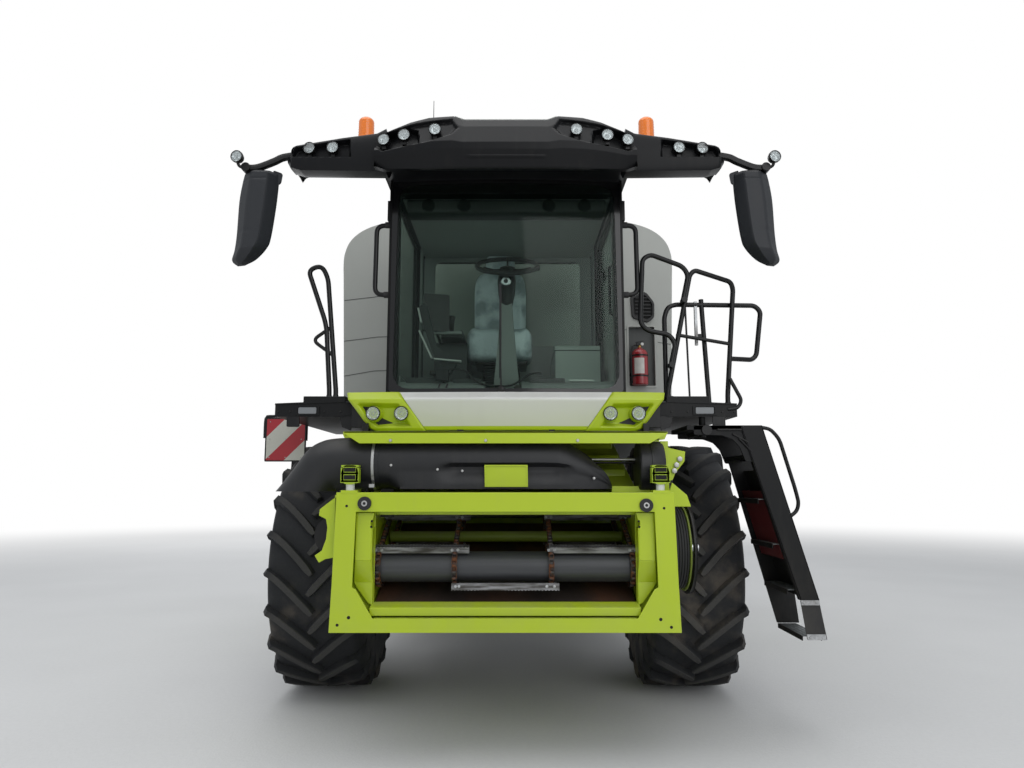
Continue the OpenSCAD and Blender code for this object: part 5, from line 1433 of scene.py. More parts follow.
engine_dark = painted("engine_enamel", (0.035, 0.037, 0.04), 0.5, dust=0.5)
dress("engine_block", engine_dark, 0.01)
dress("engine_hood", chopper_grey, 0.012)
hood = Piece("engine_hood_details")
# The grille's holes are painted near-black, painted shade seen through the screen; the steel
# between them is dark grey.
mesh_grille = Finish("punched_grille")
holes = mesh_grille.cells(42)
steel_and_hole_shade = holes.rise(0.1, 0.2).blend((0.004, 0.004, 0.004), (0.055, 0.055, 0.055))
mesh_grille.wear(steel_and_hole_shade, 0.5 + 0.2 * holes, mesh_grille.bumpy(holes.rise(0.05, 0.3),
    0.0015), metallic=0.4)
screen_ring = turned([(0.0, 0.255), (0.014, 0.25), (0.014, 0.225), (0.002, 0.215), (0.01, 0.15),
    (0.018, 0.03), (0.018, 0.003)], (1.146, 3.75, 3.35), "x", 64)
hood.add(across(screen_ring), mesh_grille.material)
for z in 3.2 + 0.038 * np.arange(9):
    fin = plate(rounded([(z, 1.143), (z + 0.026, 1.143), (z + 0.008, 1.16), (z, 1.16)], 0.003,
        2)[:, ::-1], 3.45, 4.35)
    hood.add(fin, chopper_grey)
    hood.add(moved(fin, (0, 0.78, 0), True), chopper_grey)
for x, y in ((-0.95, 3.1), (0.95, 3.1), (-0.95, 4.55), (0.95, 4.55)):
    hood.add(carried(circle_of(0.009, 12), spline([(x - 0.05, y, 3.668), (x - 0.05, y, 3.705),
        (x, y, 3.735), (x + 0.05, y, 3.705), (x + 0.05, y, 3.668)], 20)),
        galvanised_plate.material)
hood.add(turned([(3.665, 0.085), (3.68, 0.085), (3.69, 0.065), (3.93, 0.065), (3.95, 0.06),
    (3.95, 0.052), (3.7, 0.05)], (0.62, 3.55, 0), "z", 32), galvanised_plate.material)
hood.add(turned([(3.665, 0.12), (3.72, 0.12), (3.74, 0.15), (3.82, 0.15), (3.85, 0.12),
    (3.86, 0.01)], (-0.4, 3.5, 0), "z", 40), satin_black)
for y in (3.35, 4.25):
    hood.add(plate(rounded(rect(-0.7, y, 0.7, y + 0.05), 0.02, 4), 3.668, 3.678, "z"), chopper_grey)
hood.made("chassis", "dark_metal", edge=0.0015)


# ---------------------------------------------------------------- side doors
# Long moulded side doors hinge up along their top edges on gas struts. They are
# white with a lime sweep, pressed lines, louvres and recessed latches.

swept = Finish("side_door_paint")
sweep_line = swept.z - (swept.y + 2.5) * 0.1
lime_part = 1 - sweep_line.rise(1.449, 1.451)
mist = swept.noise(1.6, 6)
speck = swept.noise(45, 3)
two_tone = lime_part.blend((0.36, 0.37, 0.345), (0.4, 0.53, 0.015))
swept.wear((mist * 0.25).blend(two_tone, (0.24, 0.23, 0.19)), 0.33 + 0.14 * mist,
    swept.bumpy(speck, 0.00025), coat_weight=0.2)
for side, sign in (("left", 1), ("right", -1)):
    dress(f"side_door_{side}", swept.material, 0.012)
    panel = Piece(f"side_door_{side}_details")
    for z in (2.55, 2.86):
        swage = rounded(rect(1.25, z, 5.2, z + 0.022), 0.01, 3)
        panel.add(on_side(plate(swage, 1.498, 1.506, "x"), sign), swept.material)
    for z in 1.75 + 0.045 * np.arange(12):
        louvre = rounded([(1.499, z), (1.52, z + 0.006), (1.518, z + 0.012), (1.499, z + 0.03)],
            0.002, 2)
        panel.add(on_side(plate(louvre, 3.65, 4.55), sign), satin_black)
    for y in (1.55, 2.95, 4.95):
        latch = rounded(rect(y - 0.06, 1.66, y + 0.06, 1.74), 0.02, 5)
        grip = rounded(rect(y - 0.045, 1.685, y + 0.045, 1.715), 0.012, 5)
        panel.add(on_side(plate(latch, 1.499, 1.505, "x"), sign), satin_black)
        panel.add(on_side(plate(grip, 1.503, 1.516, "x"), sign), satin_black)
    for y in (1.35, 2.1, 3.2, 4.3, 5.1):
        rise = 0.33 + 0.02 * y if y > 3 else 0.24
        lens = plate(rounded(rect(y - 0.045, 1.665, y + 0.045, 1.705), 0.012, 5), 1.5, 1.508, "x")
        panel.add(on_side(moved(lens, (0, 0, rise)), sign), amber_prism)
    panel.made(f"side_door_{side}", "white_paint", edge=0.0008)


# ---------------------------------------------------------------- unloading tube
# A rolled steel tube on a turning elbow unloads the tank. Flanges join its
# parts, a rubber spout hangs at its end, and hoses run along it.

dress("unloading_tube", hood_white, 0.003)
tube = Piece("unloading_tube_fittings")
TUBE_AT = (1.302, 0.78)
for z in (2.16, 2.62, 3.22):
    tube.add(turned([(z, 0.15), (z, 0.176), (z + 0.014, 0.176), (z + 0.014, 0.15)], (*TUBE_AT, 0),
        "z", 48), galvanised_plate.material)
    for a in np.radians(np.arange(0, 360, 30)):
        tube.add(turned([(0.0, 0.002), (0.0, 0.01), (0.01, 0.01), (0.011, 0.002)],
            (TUBE_AT[0] + 0.164 * math.cos(a), TUBE_AT[1] + 0.164 * math.sin(a), z + 0.014), "z",
            6), galvanised_plate.material)
for y in (1.3, 3.9, 6.55):
    tube.add(turned([(y, 0.151), (y, 0.176), (y + 0.014, 0.176), (y + 0.014, 0.151)], (TUBE_AT[0],
        0, 3.45), "y", 48), galvanised_plate.material)
tube.add(turned([(6.6, 0.171), (6.61, 0.184), (6.63, 0.184), (6.64, 0.172)], (TUBE_AT[0], 0, 3.44),
    "y", 48), satin_black)
tube.add(turned([(6.84, 0.171), (6.85, 0.178), (6.895, 0.18), (6.898, 0.15), (6.8, 0.148)],
    (TUBE_AT[0], 0, 3.44), "y", 48), black_rubber)
tube.add(pipe(spline([(1.4, 0.9, 3.0), (1.46, 0.98, 3.3), (1.455, 1.2, 3.47), (1.458, 2.0, 3.46),
    (1.458, 5.5, 3.46), (1.44, 6.5, 3.47)], 60), 0.008, 10), black_rubber)
tube.add(block((1.292, 1.45, 3.597), (1.312, 6.4, 3.606)), hood_white)
tube.made("unloading_tube", "white_paint", edge=0.001)


# ---------------------------------------------------------------- nose panel
# A shallow moulded panel under the windscreen: white enamel in the middle, bright
# above a ridge and turned under below it, with a thin lime strip along its foot.
# At each end a lime moulding holds two driving lamps in a rounded pocket.

NOSE_TOP, NOSE_LOW = 2.207, 1.952


def shell(front, back):
    """A closed wall between two grids of as many points: the quads of both, and a
    strip of quads round their four edges."""
    rows, columns = front.shape[:2]
    count = rows * columns
    quads = grid_quads(rows, columns)
    number = np.arange(count).reshape(rows, columns)
    rim = np.concatenate([number[0, :-1], number[:-1, -1], number[-1, :0:-1], number[:0:-1, 0]])
    strip = np.stack([rim, np.roll(rim, -1), np.roll(rim, -1) + count, rim + count], 1)
    points = np.concatenate([front.reshape(-1, 3), back.reshape(-1, 3)])
    return points, np.concatenate([quads, quads[:, ::-1] + count, strip]), []


def inward(outline, u, v):
    """How far each place u, v lies inside a convex outline given anticlockwise:
    the least of its distances from the outline's edges, less than 0 outside."""
    a = np.asarray(outline, float)
    b = np.roll(a, -1, 0)
    edge = (b - a) / np.linalg.norm(b - a, axis=1)[:, None]
    away = [edge[k, 0] * (v - a[k, 1]) - edge[k, 1] * (u - a[k, 0]) for k in range(len(a))]
    return np.minimum.reduce(away)


white = painted("white_enamel", (0.64, 0.645, 0.62), 0.26, dust=0.3, coat=0.35, peel=0.0002,
    spread=0.03)
nose = Piece("nose_panel_middle")
# Heights and depths down the section, from the top edge over the ridge to the foot
section_z = np.array([2.207, 2.2, 2.168, 2.156, 2.148, 2.1, 2.04, 1.985, 1.962, 1.955])
section_y = np.array([-1.508, -1.514, -1.548, -1.556, -1.556, -1.544, -1.53, -1.518, -1.513,
    -1.506])
v_nose = np.linspace(0, 1, 40)
z_nose = np.interp(v_nose, np.linspace(0, 1, 10), section_z)[:, None]
y_nose = np.interp(v_nose, np.linspace(0, 1, 10), section_y)[:, None]
half_nose = 0.521 + (z_nose - NOSE_LOW) / (NOSE_TOP - NOSE_LOW) * 0.18
u_nose = np.linspace(-1, 1, 81)[None, :]
x_nose = half_nose * u_nose
lean = 0.02 * u_nose ** 2
front_nose = np.stack(np.broadcast_arrays(x_nose, y_nose + lean, z_nose + 0 * u_nose), -1)
back_nose = np.stack(np.broadcast_arrays(x_nose, y_nose + lean + 0.01, z_nose - 0.001 + 0
    * u_nose), -1)
nose.add(shell(front_nose, back_nose), white)
foot = np.abs(z_nose[:, 0] - 1.968) < 0.016
nose.add(shell(front_nose[foot] + (0, -0.0015, 0), front_nose[foot] + (0, 0.004, 0)), lime)
nose.made("chassis", "white_paint", ["fascia_centre"], smooth=30)


def lamp(r):
    """A round working lamp of radius r that looks forward: a black ring, a bright
    bowl with a stepped boss in it, and a slightly domed glass. Its rim's face is
    centred on the origin."""
    ring = turned([(0.03, 0.82 * r), (0.004, r), (-0.012, r), (-0.016, 0.965 * r), (-0.014,
        0.9 * r), (-0.004, 0.885 * r), (0.02, 0.76 * r)], (0, 0, 0), "y", 40, closed=True)
    bowl = turned([(0.016, 0.012 * r), (0.012, 0.16 * r), (0.004, 0.2 * r), (0.01, 0.36 * r),
        (0.008, 0.62 * r), (-0.006, 0.9 * r), (0.002, 0.91 * r), (0.018, 0.62 * r),
        (0.022, 0.2 * r), (0.022, 0.012 * r)], (0, 0, 0), "y", 40)
    glass = turned([(-0.0165, 0.01 * r), (-0.0155, 0.45 * r), (-0.012, 0.89 * r), (-0.009,
        0.89 * r), (-0.0125, 0.45 * r), (-0.0135, 0.01 * r)], (0, 0, 0), "y", 40)
    return ring, bowl, glass


reflector = Finish("lamp_reflector")
facet = reflector.cells(55, out="Color")
cell, _, _ = facet.parts()
flute = reflector.cells(55)
reflector.wear(reflector.tint((0.72, 0.74, 0.75), cell, 0.22), 0.1 + 0.12 * cell,
    reflector.bumpy(flute, 0.004), metallic=0.9)
lamp_glass = Finish("lamp_glass")
lamp_film = lamp_glass.noise(18, 3)
lamp_glass.wear((0.75, 0.78, 0.78), 0.03 + 0.05 * lamp_film, lamp_glass.bumpy(lamp_film, 0.0003))
lamp_glass.seen_through((0.93, 0.95, 0.95), 0.22)


def add_lamp(piece, place, radius, turn_z=0.0):
    """Puts a lamp into a piece at place, looking forward or turned by turn_z
    radians towards the side, and its mirror image on the other side."""
    c, s = math.cos(turn_z), math.sin(turn_z)
    for (points, quads, caps), finish in zip(lamp(radius), (satin_black, reflector.material,
            lamp_glass.material)):
        spun = np.stack([points[:, 0] * c - points[:, 1] * s, points[:, 0] * s + points[:, 1] * c,
            points[:, 2]], 1)
        piece.both((spun + np.asarray(place, float), quads, caps), finish)


pods = Piece("nose_panel_ends")
v_pod = np.linspace(0, 1, 64)[:, None]
u_pod = np.linspace(0, 1, 90)[None, :]
z_pod = NOSE_LOW + (NOSE_TOP - NOSE_LOW) * v_pod + 0 * u_pod
in_edge = 0.524 + 0.178 * v_pod
out_edge = np.interp(v_pod[:, 0], (0, 0.06, 0.3, 0.52, 0.8, 1.0), (0.862, 0.895, 0.945, 0.985,
    1.04, 1.055))[:, None]
x_pod = in_edge + (out_edge - in_edge) * u_pod
y_pod = np.interp(v_pod, (0, 0.06, 0.72, 0.8, 0.97, 1.0), (-1.5, -1.512, -1.536, -1.538, -1.506,
    -1.5)) + 0.03 * u_pod ** 2
pocket = [(0.615, 1.975), (0.85, 1.975), (0.905, 2.02), (0.975, 2.118), (0.962, 2.135),
    (0.7, 2.128)]
sunk = ease(inward(pocket, x_pod, z_pod), -0.002, 0.03)
y_pod = y_pod + 0.04 * sunk
round_off = 0.01 * (1 - ease(np.minimum(u_pod, 1 - u_pod) * (out_edge - in_edge), 0.0, 0.014))
front_pod = np.stack(np.broadcast_arrays(x_pod, y_pod + round_off, z_pod), -1)
pods.both(shell(front_pod, front_pod + (0, 0.012, 0)), lime)
for x in (0.683, 0.867):
    add_lamp(pods, (x, -1.528, 2.063), 0.047)
    pods.both(turned([(-0.01, 0.05), (0.03, 0.056)], (x, -1.51, 2.063), "y", 40), lime)
pods.made("chassis", "lime_paint", ["fascia_corners"], smooth=40)

# Black filler between the nose and the body, with its brackets
filler = Piece("nose_brackets")
filler.add(block((-1.02, -1.47, 1.975), (1.02, -1.44, 2.13)), satin_black)
for x in (0.3, 0.92):
    filler.both(block((x - 0.02, -1.505, 1.93), (x + 0.02, -1.44, 2.0)), satin_black)
filler.both(pipe([(0.36, -1.5, 1.948), (0.36, -1.5, 1.925)], 0.008, 8), zinc)
filler.made("chassis", "dark_metal", edge=0.002)


# ---------------------------------------------------------------- cab shell
# The cab's steel frame, sprayed satin black, on a floor with a rubber mat. Grey
# moulded linings cover its pillars, its rear wall and the sills.

cab_black = painted("cab_frame_black", (0.0038, 0.0038, 0.0042), 0.3, dust=0.12, shine=0.2)
dress("cab_shell", cab_black, 0.006)
FLOOR_Z = 2.217
lining_grey = painted("moulded_lining", (0.21, 0.225, 0.215), 0.62, dust=0.0, peel=0.0009,
    spread=0.06)
lining_dark = painted("dark_lining", (0.032, 0.034, 0.034), 0.58, dust=0.0, peel=0.0008)
mat_finish = Finish("floor_mat")
grain = mat_finish.noise(60, 4)
stud = mat_finish.cells(38)
mat_finish.wear(mat_finish.tint((0.035, 0.035, 0.033), grain, 0.4), 0.72 + 0.15 * grain,
    mat_finish.bumpy(stud.rise(0.35, 0.2) + 0.3 * grain, 0.002))
linings = Piece("cab_linings")
linings.add(plate(rounded(rect(-0.735, -1.2, 0.735, 0.035), 0.05), FLOOR_Z + 0.0005,
    FLOOR_Z + 0.01, "z"), mat_finish.material)
# Sill mouldings along the foot of the windscreen, stepped towards the glass
sill = rounded([(-1.4, 2.222), (-1.4, 2.262), (-1.335, 2.3), (-1.265, 2.304), (-1.235, 2.285),
    (-1.235, 2.222)], 0.018, 4)
for x0, x1 in ((-0.735, -0.145), (0.105, 0.735)):
    linings.add(plate(sill, x0, x1, "x"), lining_grey)
for x0, x1, z1 in ((-0.68, -0.42, 2.325), (-0.36, -0.17, 2.318), (0.16, 0.4, 2.32)):
    linings.add(block((x0, -1.36, 2.285), (x1, -1.27, z1)), lining_dark)
linings.add(block((0.43, -1.35, 2.3), (0.6, -1.29, 2.312)), stem_white)
# Rear wall with its window surround, and the roof lining with air outlets
linings.add(frame_plate(rounded(rect(-0.738, 2.23, 0.738, 3.6), 0.02, 8), rounded(rect(-0.64, 2.8,
    0.64, 3.56), 0.06, 8), 0.018, 0.036), lining_grey)
linings.add(block((-0.735, -1.3, 3.602), (0.735, 0.03, 3.618)), lining_grey)
linings.add(plate(rounded([(-1.34, 3.5), (-1.34, 3.604), (-1.06, 3.604), (-1.13, 3.515)], 0.03, 5),
    -0.7, 0.7, "x"), lining_dark)
for x in (-0.55, -0.3, 0.3, 0.55):
    linings.add(turned([(-0.006, 0.045), (0.004, 0.05), (0.004, 0.036), (0.01, 0.034)], (x, -1.345,
        3.552), "y", 28), satin_black)
for x in (-0.742, 0.722):
    linings.add(block((x, -0.235, 2.23), (x + 0.02, -0.165, 3.6)), lining_grey)
linings.add(block((-0.744, -1.3, 2.23), (-0.728, 0.03, 2.345)), lining_grey)
linings.made("chassis", "body_grey", edge=0.004)


# ---------------------------------------------------------------- cab windows
# A tinted windscreen bowed across its width and bonded in a black border with
# round corners, and flat tinted side and rear panes in rubber seals.

def glazing(name):
    """Green-tinted glass: mostly see-through, with faint dust and reflections."""
    f = Finish(name)
    smear = f.noise(2.2, 5, stretch=(1, 1, 0.5))
    f.wear((0.012, 0.02, 0.017), 0.025 + 0.04 * smear, f.bumpy(f.noise(1.6, 2), 0.0008),
        specular_ior_level=0.75)
    fresnel = f.node("ShaderNodeLayerWeight", {}, {"Blend": 0.22}, out="Fresnel")
    dusty = smear.rise(0.55, 0.85) * 0.05 + 0.105
    return f.seen_through((0.9, 0.965, 0.93), dusty + fresnel * 0.55)


BOW_DEPTH, BOW_HALF = 0.05, 0.79


def bowed(surface):
    """The surface moved back towards its sides: the bow's depth times the square of
    x over its half width."""
    points = np.array(surface[0], float)
    points[:, 1] += BOW_DEPTH * (points[:, 0] / BOW_HALF) ** 2
    return points, surface[1], surface[2]


cab_tint = glazing("cab_glazing")
GLASS_Y = -1.468
screen = Piece("cab_windows")
u_glass, v_glass = np.meshgrid(np.linspace(-0.778, 0.778, 49), np.linspace(2.222, 3.69, 17))
pane = np.stack([u_glass, np.full_like(u_glass, GLASS_Y), v_glass], -1)
screen.add(bowed(shell(pane, pane + (0, 0.006, 0))), cab_tint)
outer_edge = rounded(rect(-0.792, 2.215, 0.792, 3.695), 0.012, 12)
inner_edge = rounded([(-0.764, 2.236), (0.764, 2.236), (0.748, 3.662), (-0.748, 3.662)], 0.13, 12)


def dense_ring(outline, count):
    """count places along a closed outline, each corner pair's share by length."""
    closed = np.concatenate([outline, outline[:1]])
    length = np.concatenate([[0], np.cumsum(np.linalg.norm(np.diff(closed, axis=0), axis=1))])
    at = np.linspace(0, length[-1], count, endpoint=False)
    return np.stack([np.interp(at, length, closed[:, k]) for k in (0, 1)], 1)


def spokes(outer, inner, centre, count):
    """The same count of places on two closed outlines, taken where rays from the
    centre at even angles cross them."""
    angle = np.linspace(-math.pi, math.pi, count, endpoint=False)
    rings = []
    for outline in (outer, inner):
        fine = dense_ring(np.asarray(outline, float), 4000)
        a = np.arctan2(fine[:, 1] - centre[1], fine[:, 0] - centre[0])
        order = np.argsort(a)
        rings.append(np.stack([np.interp(angle, a[order], fine[order, k], period=2 * math.pi)
            for k in (0, 1)], 1))
    return rings


rim_out, rim_in = spokes(outer_edge, inner_edge, (0, 2.95), 240)
border = clouded("black_glass_border", (0.004, 0.004, 0.0045), (4, 3), 0.3, (0.1, 0.08), 0.0003)
screen.add(bowed(frame_plate(rim_out, rim_in, GLASS_Y - 0.003, GLASS_Y + 0.01)), border)
for x0, x1 in ((0.79, 0.804), (-0.806, -0.792)):
    screen.add(block((x0, -1.425, 2.215), (x1, -1.395, 3.7)), cab_black)
# Inner face, front, rear, foot and top of each side pane
side_panes = ((-0.78, -1.32, -0.23, 2.337, 3.62), (-0.78, -0.17, 0.04, 2.337, 3.62), (0.772, -0.17,
    0.04, 2.517, 3.62))
SEAL = 0.022
for x, y0, y1, z0, z1 in side_panes:
    screen.add(block((x, y0, z0), (x + 0.008, y1, z1)), cab_tint)
    out = rounded(rect(y0, z0, y1, z1), 0.01, 10)
    inside = rounded(rect(y0 + SEAL, z0 + SEAL, y1 - SEAL, z1 - SEAL), 0.03, 10)
    screen.add(frame_plate(out, inside, x - 0.003, x + 0.011, "x"), black_rubber)
screen.add(block((-0.74, 0.07, 2.777), (0.74, 0.078, 3.59)), cab_tint)
screen.add(frame_plate(rounded(rect(-0.74, 2.777, 0.74, 3.59), 0.01, 10), rounded(rect(-0.71,
    2.807, 0.71, 3.56), 0.05, 10), 0.066, 0.082), black_rubber)
screen.both(block((0.8, -1.41, 3.42), (0.824, -1.35, 3.56)), satin_black)
screen.made("chassis", "tinted_glass", ["cab_glass"], smooth=40)


# ---------------------------------------------------------------- wiper
# One long wiper stands upright on the windscreen: a sprung steel arm on a boss
# at the sill, with a thin blade. Its motor sits behind the glass.

wiper = Piece("windscreen_wiper")
wiper.add(turned([(-0.03, 0.016), (-0.026, 0.022), (0.0, 0.024)], (-0.032, -1.47, 2.226), "y", 24),
    satin_black)
wiper.add(carried(rounded(rect(-0.01, -0.006, 0.01, 0.006), 0.003, 2),
    spline([(-0.032, -1.492, 2.222), (-0.034, -1.498, 2.33), (-0.036, -1.494, 2.5), (-0.038,
    -1.487, 2.64)], 24), np.linspace(1.0, 0.5, 24)), satin_black)
wiper.add(block((-0.0425, -1.482, 2.3), (-0.0335, -1.47, 2.945)), black_rubber)
wiper.add(block((-0.0455, -1.487, 2.3), (-0.0305, -1.482, 2.945)), satin_black)
wiper.add(block((-0.47, -1.415, 2.3), (-0.39, -1.34, 2.375)), satin_black)
wiper.add(pipe([(-0.43, -1.395, 2.345), (-0.515, -1.395, 2.35)], 0.018, 14), satin_black)
wiper.add(pipe(spline([(-0.43, -1.4, 2.36), (-0.36, -1.4, 2.375), (-0.27, -1.4, 2.36), (-0.2, -1.4,
    2.29), (-0.1, -1.4, 2.262), (0.02, -1.4, 2.262), (0.1, -1.4, 2.3), (0.17, -1.4, 2.345),
    (0.24, -1.4, 2.345)], 60), 0.007, 10), satin_black)
for x in (-0.455, -0.405):
    wiper.add(plate([(x, 2.24), (x + 0.012, 2.24), (x + 0.022, 2.268), (x + 0.01, 2.268)], -1.462,
        -1.458), satin_black)
wiper.made("chassis", "black_plastic", edge=0.001)


# ---------------------------------------------------------------- cab door
# A glass door on the left in a black enamelled steel frame, hinged behind. A
# latch and a grab handle are bolted on.

dress("door_frame", cab_black, 0.005)
dress("door_glass", cab_tint)
door_trim = Piece("cab_door_trim")
out = rounded(rect(-1.224, 2.269, -0.296, 3.568), 0.008, 10)
inside = rounded(rect(-1.2, 2.293, -0.32, 3.544), 0.05, 10)
door_trim.add(frame_plate(out, inside, 0.781, 0.796, "x"), black_rubber)
door_trim.add(pipe([(0.779, -1.15, 2.8), (0.745, -1.15, 2.82), (0.745, -1.15, 3.16), (0.779, -1.15,
    3.18)], 0.012, 14), satin_black)
door_trim.add(plate(rounded(rect(-1.258, 2.86, -1.228, 3.02), 0.01), 0.802, 0.812, "x"),
    satin_black)
door_trim.add(block((0.76, -1.245, 2.9), (0.8, -1.215, 2.98)), satin_black)
door_trim.made("cab_door", "black_plastic", edge=0.001)


# ---------------------------------------------------------------- driver's seat
# A sprung seat on a bellows, in dark cloth under the maker's clear dust film.
# The cushions are foam: crowned in the middle and round at every edge.

film = Finish("seat_under_film")
crease = film.noise(7.5, 7, rough=0.66)
fold = film.cells(6.5, feature="SMOOTH_F1")
pale = (crease * 0.65 + fold * 0.6).rise(0.42, 0.72)
film.wear(pale.blend((0.26, 0.31, 0.33), (0.66, 0.74, 0.78)), 0.2 + 0.35 * crease,
          film.bumpy(crease + fold * 0.8, 0.03), coat_weight=0.7, coat_roughness=0.12)
rubber_fold = painted("seat_bellows", (0.018, 0.018, 0.018), 0.6, dust=0.0)


def cushion(size, place, crown=0.03, power=0.42, tilt=0.0):
    """A foam cushion: a ball whose sines and cosines are raised to a power below
    one, so it has flat faces and round edges, and grown by crown in the middle of
    its top. Stretched to its size, tilted about x and carried to its place."""
    a = np.linspace(-math.pi, math.pi, 64, endpoint=False)[None, :]
    b = np.linspace(-math.pi / 2 + 0.02, math.pi / 2 - 0.02, 40)[:, None]

    def squared(w):
        return np.sign(w) * np.abs(w) ** power

    x = squared(np.cos(b)) * squared(np.cos(a)) * size[0] / 2
    y = squared(np.cos(b)) * squared(np.sin(a)) * size[1] / 2
    z = squared(np.sin(b)) * size[2] / 2 + 0 * a
    top = (z > 0) * crown * (1 - (2 * x / size[0]) ** 2) * (1 - (2 * y / size[1]) ** 2)
    bolster = (z > 0) * 0.018 * np.exp(-((np.abs(x) - 0.4 * size[0]) / (0.06 * size[0])) ** 2)
    z = z + top + bolster
    c, s = math.cos(tilt), math.sin(tilt)
    points = np.stack([x, y * c - z * s, y * s + z * c], -1) + np.asarray(place, float)
    return points.reshape(-1, 3), grid_quads(40, 64, False, True), [list(range(64)),
        list(range(39 * 64, 40 * 64))]


seat = Piece("driver_seat_cushions")
seat.add(cushion((0.52, 0.52, 0.26), (-0.06, -0.44, 2.69), 0.022, 0.34, 0.05), film.material)
seat.add(cushion((0.44, 0.62, 0.12), (-0.06, -0.15, 3.09), 0.016, 0.42, math.radians(94)),
    film.material)
seat.add(cushion((0.25, 0.16, 0.085), (-0.06, -0.14, 3.48), 0.01, 0.5, math.radians(94)),
    film.material)
seat_made = seat.made("chassis", "seat_cover", ["driver_seat"], smooth=60)
seat_base = Piece("driver_seat_base")
# Bellows: a rounded square, every other ring of it drawn in by 7 per cent
FOLDS = 29
ring = rounded(rect(-0.15, -0.42, 0.15, -0.12), 0.04, 5)
drawn_in = np.arange(FOLDS)[:, None, None] % 2
stack = ring * (1 - 0.07 * drawn_in) + (-0.045, -0.13) - (0, 0.0189) * drawn_in
height = np.broadcast_to(np.linspace(2.222, 2.545, FOLDS)[:, None, None], (FOLDS, len(ring), 1))
caps = [list(range(len(ring))), list(range((FOLDS - 1) * len(ring), FOLDS * len(ring)))]
seat_base.add((np.concatenate([stack, height], -1).reshape(-1, 3), grid_quads(FOLDS, len(ring),
    False, True), caps), rubber_fold)
seat_base.add(plate(rounded(rect(-0.25, -0.62, 0.16, -0.18), 0.02), 2.543, 2.566, "z"), satin_black)
for x in (-0.12, 0.0):
    seat_base.add(pipe([(x, -0.145, 3.38), (x, -0.145, 3.45)], 0.007, 10), chrome)
seat_base.made("chassis", "dark_metal", edge=0.002)


# ---------------------------------------------------------------- steering
# A tilting column behind a grey cover, with a black head and a silver centre.
# The padded wheel has three spokes and leans back towards the driver.

column = Piece("steering_column_and_wheel")
cover = [(-1.02, 2.222), (-1.1, 2.232), (-1.125, 2.33), (-1.045, 2.78), (-0.985, 2.985), (-0.925,
    3.0), (-0.935, 2.78), (-0.985, 2.4), (-0.955, 2.222)]
cover_path = rounded(cover, 0.03, 4)
taper = 0.09 - 0.052 * ease(cover_path[:, 1], 2.25, 2.95)
low_side = np.stack([-taper, cover_path[:, 0], cover_path[:, 1]], 1)
around_cover = len(cover_path)
column.add((np.concatenate([low_side, low_side * (-1, 1, 1)]), grid_quads(2, around_cover, False,
    True), [list(range(around_cover)), list(range(around_cover, 2 * around_cover))]), lining_grey)
# The column's head: its distance along the column, and its radius there
head_at, head_r = np.array([(0.0, 0.02), (0.02, 0.045), (0.1, 0.062), (0.2, 0.07), (0.27, 0.062),
    (0.3, 0.045), (0.31, 0.01)]).T
head_run = np.stack([np.zeros(7), np.interp(head_at, (0, 0.31), (-0.985, -0.865)),
    np.interp(head_at, (0, 0.31), (2.905, 3.23))], 1)
column.add(pipe(head_run, 1.0, 28, head_r), satin_black)
BOSS = (-0.005, -1.0, 3.098)
column.add(turned([(-0.012, 0.012), (-0.012, 0.03), (-0.006, 0.036), (0.01, 0.038)], BOSS, "y",
    32), chrome)
column.add(turned([(-0.016, 0.004), (-0.016, 0.016), (-0.006, 0.018)], BOSS, "y", 24), satin_black)
WHEEL_X, WHEEL_Y, WHEEL_Z, WHEEL_LEAN = 0.005, -0.85, 3.262, math.radians(30)


def on_wheel(surface):
    """A surface made flat about the upright axis, leant with the steering wheel."""
    return moved(placed(surface, WHEEL_Y, WHEEL_Z, WHEEL_LEAN), (WHEEL_X, 0, 0))


ring_a = np.linspace(0, 2 * math.pi, 20, endpoint=False)
grip = [(0.018 * math.sin(a), 0.232 + 0.018 * math.cos(a)) for a in ring_a]
column.add(on_wheel(turned(grip, (0, 0, 0), "z", 72, closed=True)), black_rubber)
for a in np.radians((90, 210, 330)):
    spoke = spline([(r * math.cos(a), r * math.sin(a), z) for r, z in ((0.04, -0.035),
        (0.12, -0.03), (0.21, 0.0))], 12)
    column.add(on_wheel(carried(rounded(rect(-0.02, -0.007, 0.02, 0.007), 0.004, 3), spoke)),
        satin_black)
column.add(on_wheel(turned([(-0.06, 0.03), (-0.04, 0.06), (-0.015, 0.058), (-0.008, 0.04), (-0.006,
    0.004)], (0, 0, 0), "z", 32)), satin_black)
for sign, reach in ((1, 0.2), (-1, 0.17)):
    column.add(pipe([(0.04 * sign, -0.9, 3.19), (reach * sign, -0.905, 3.215)], 0.008, 10),
        satin_black)
    column.add(pipe([(reach * sign, -0.905, 3.215), ((reach + 0.05) * sign, -0.905, 3.22)], 0.012,
        10), satin_black)
column.add(block((-0.12, -1.22, 2.222), (-0.02, -1.1, 2.262)), black_rubber)
for x0, x1 in ((-0.115, -0.035), (0.06, 0.13)):
    column.add(plate([(-1.23, 2.235), (-1.1, 2.3), (-1.105, 2.312), (-1.235, 2.247)], x0, x1, "x"),
        satin_black)
column.made("chassis", "black_plastic", ["steering_column"], edge=0.001, smooth=40)


# ---------------------------------------------------------------- console
# The driver's right console with its armrest, lever and screen, and beside the
# seat a moulded box that is the companion seat.

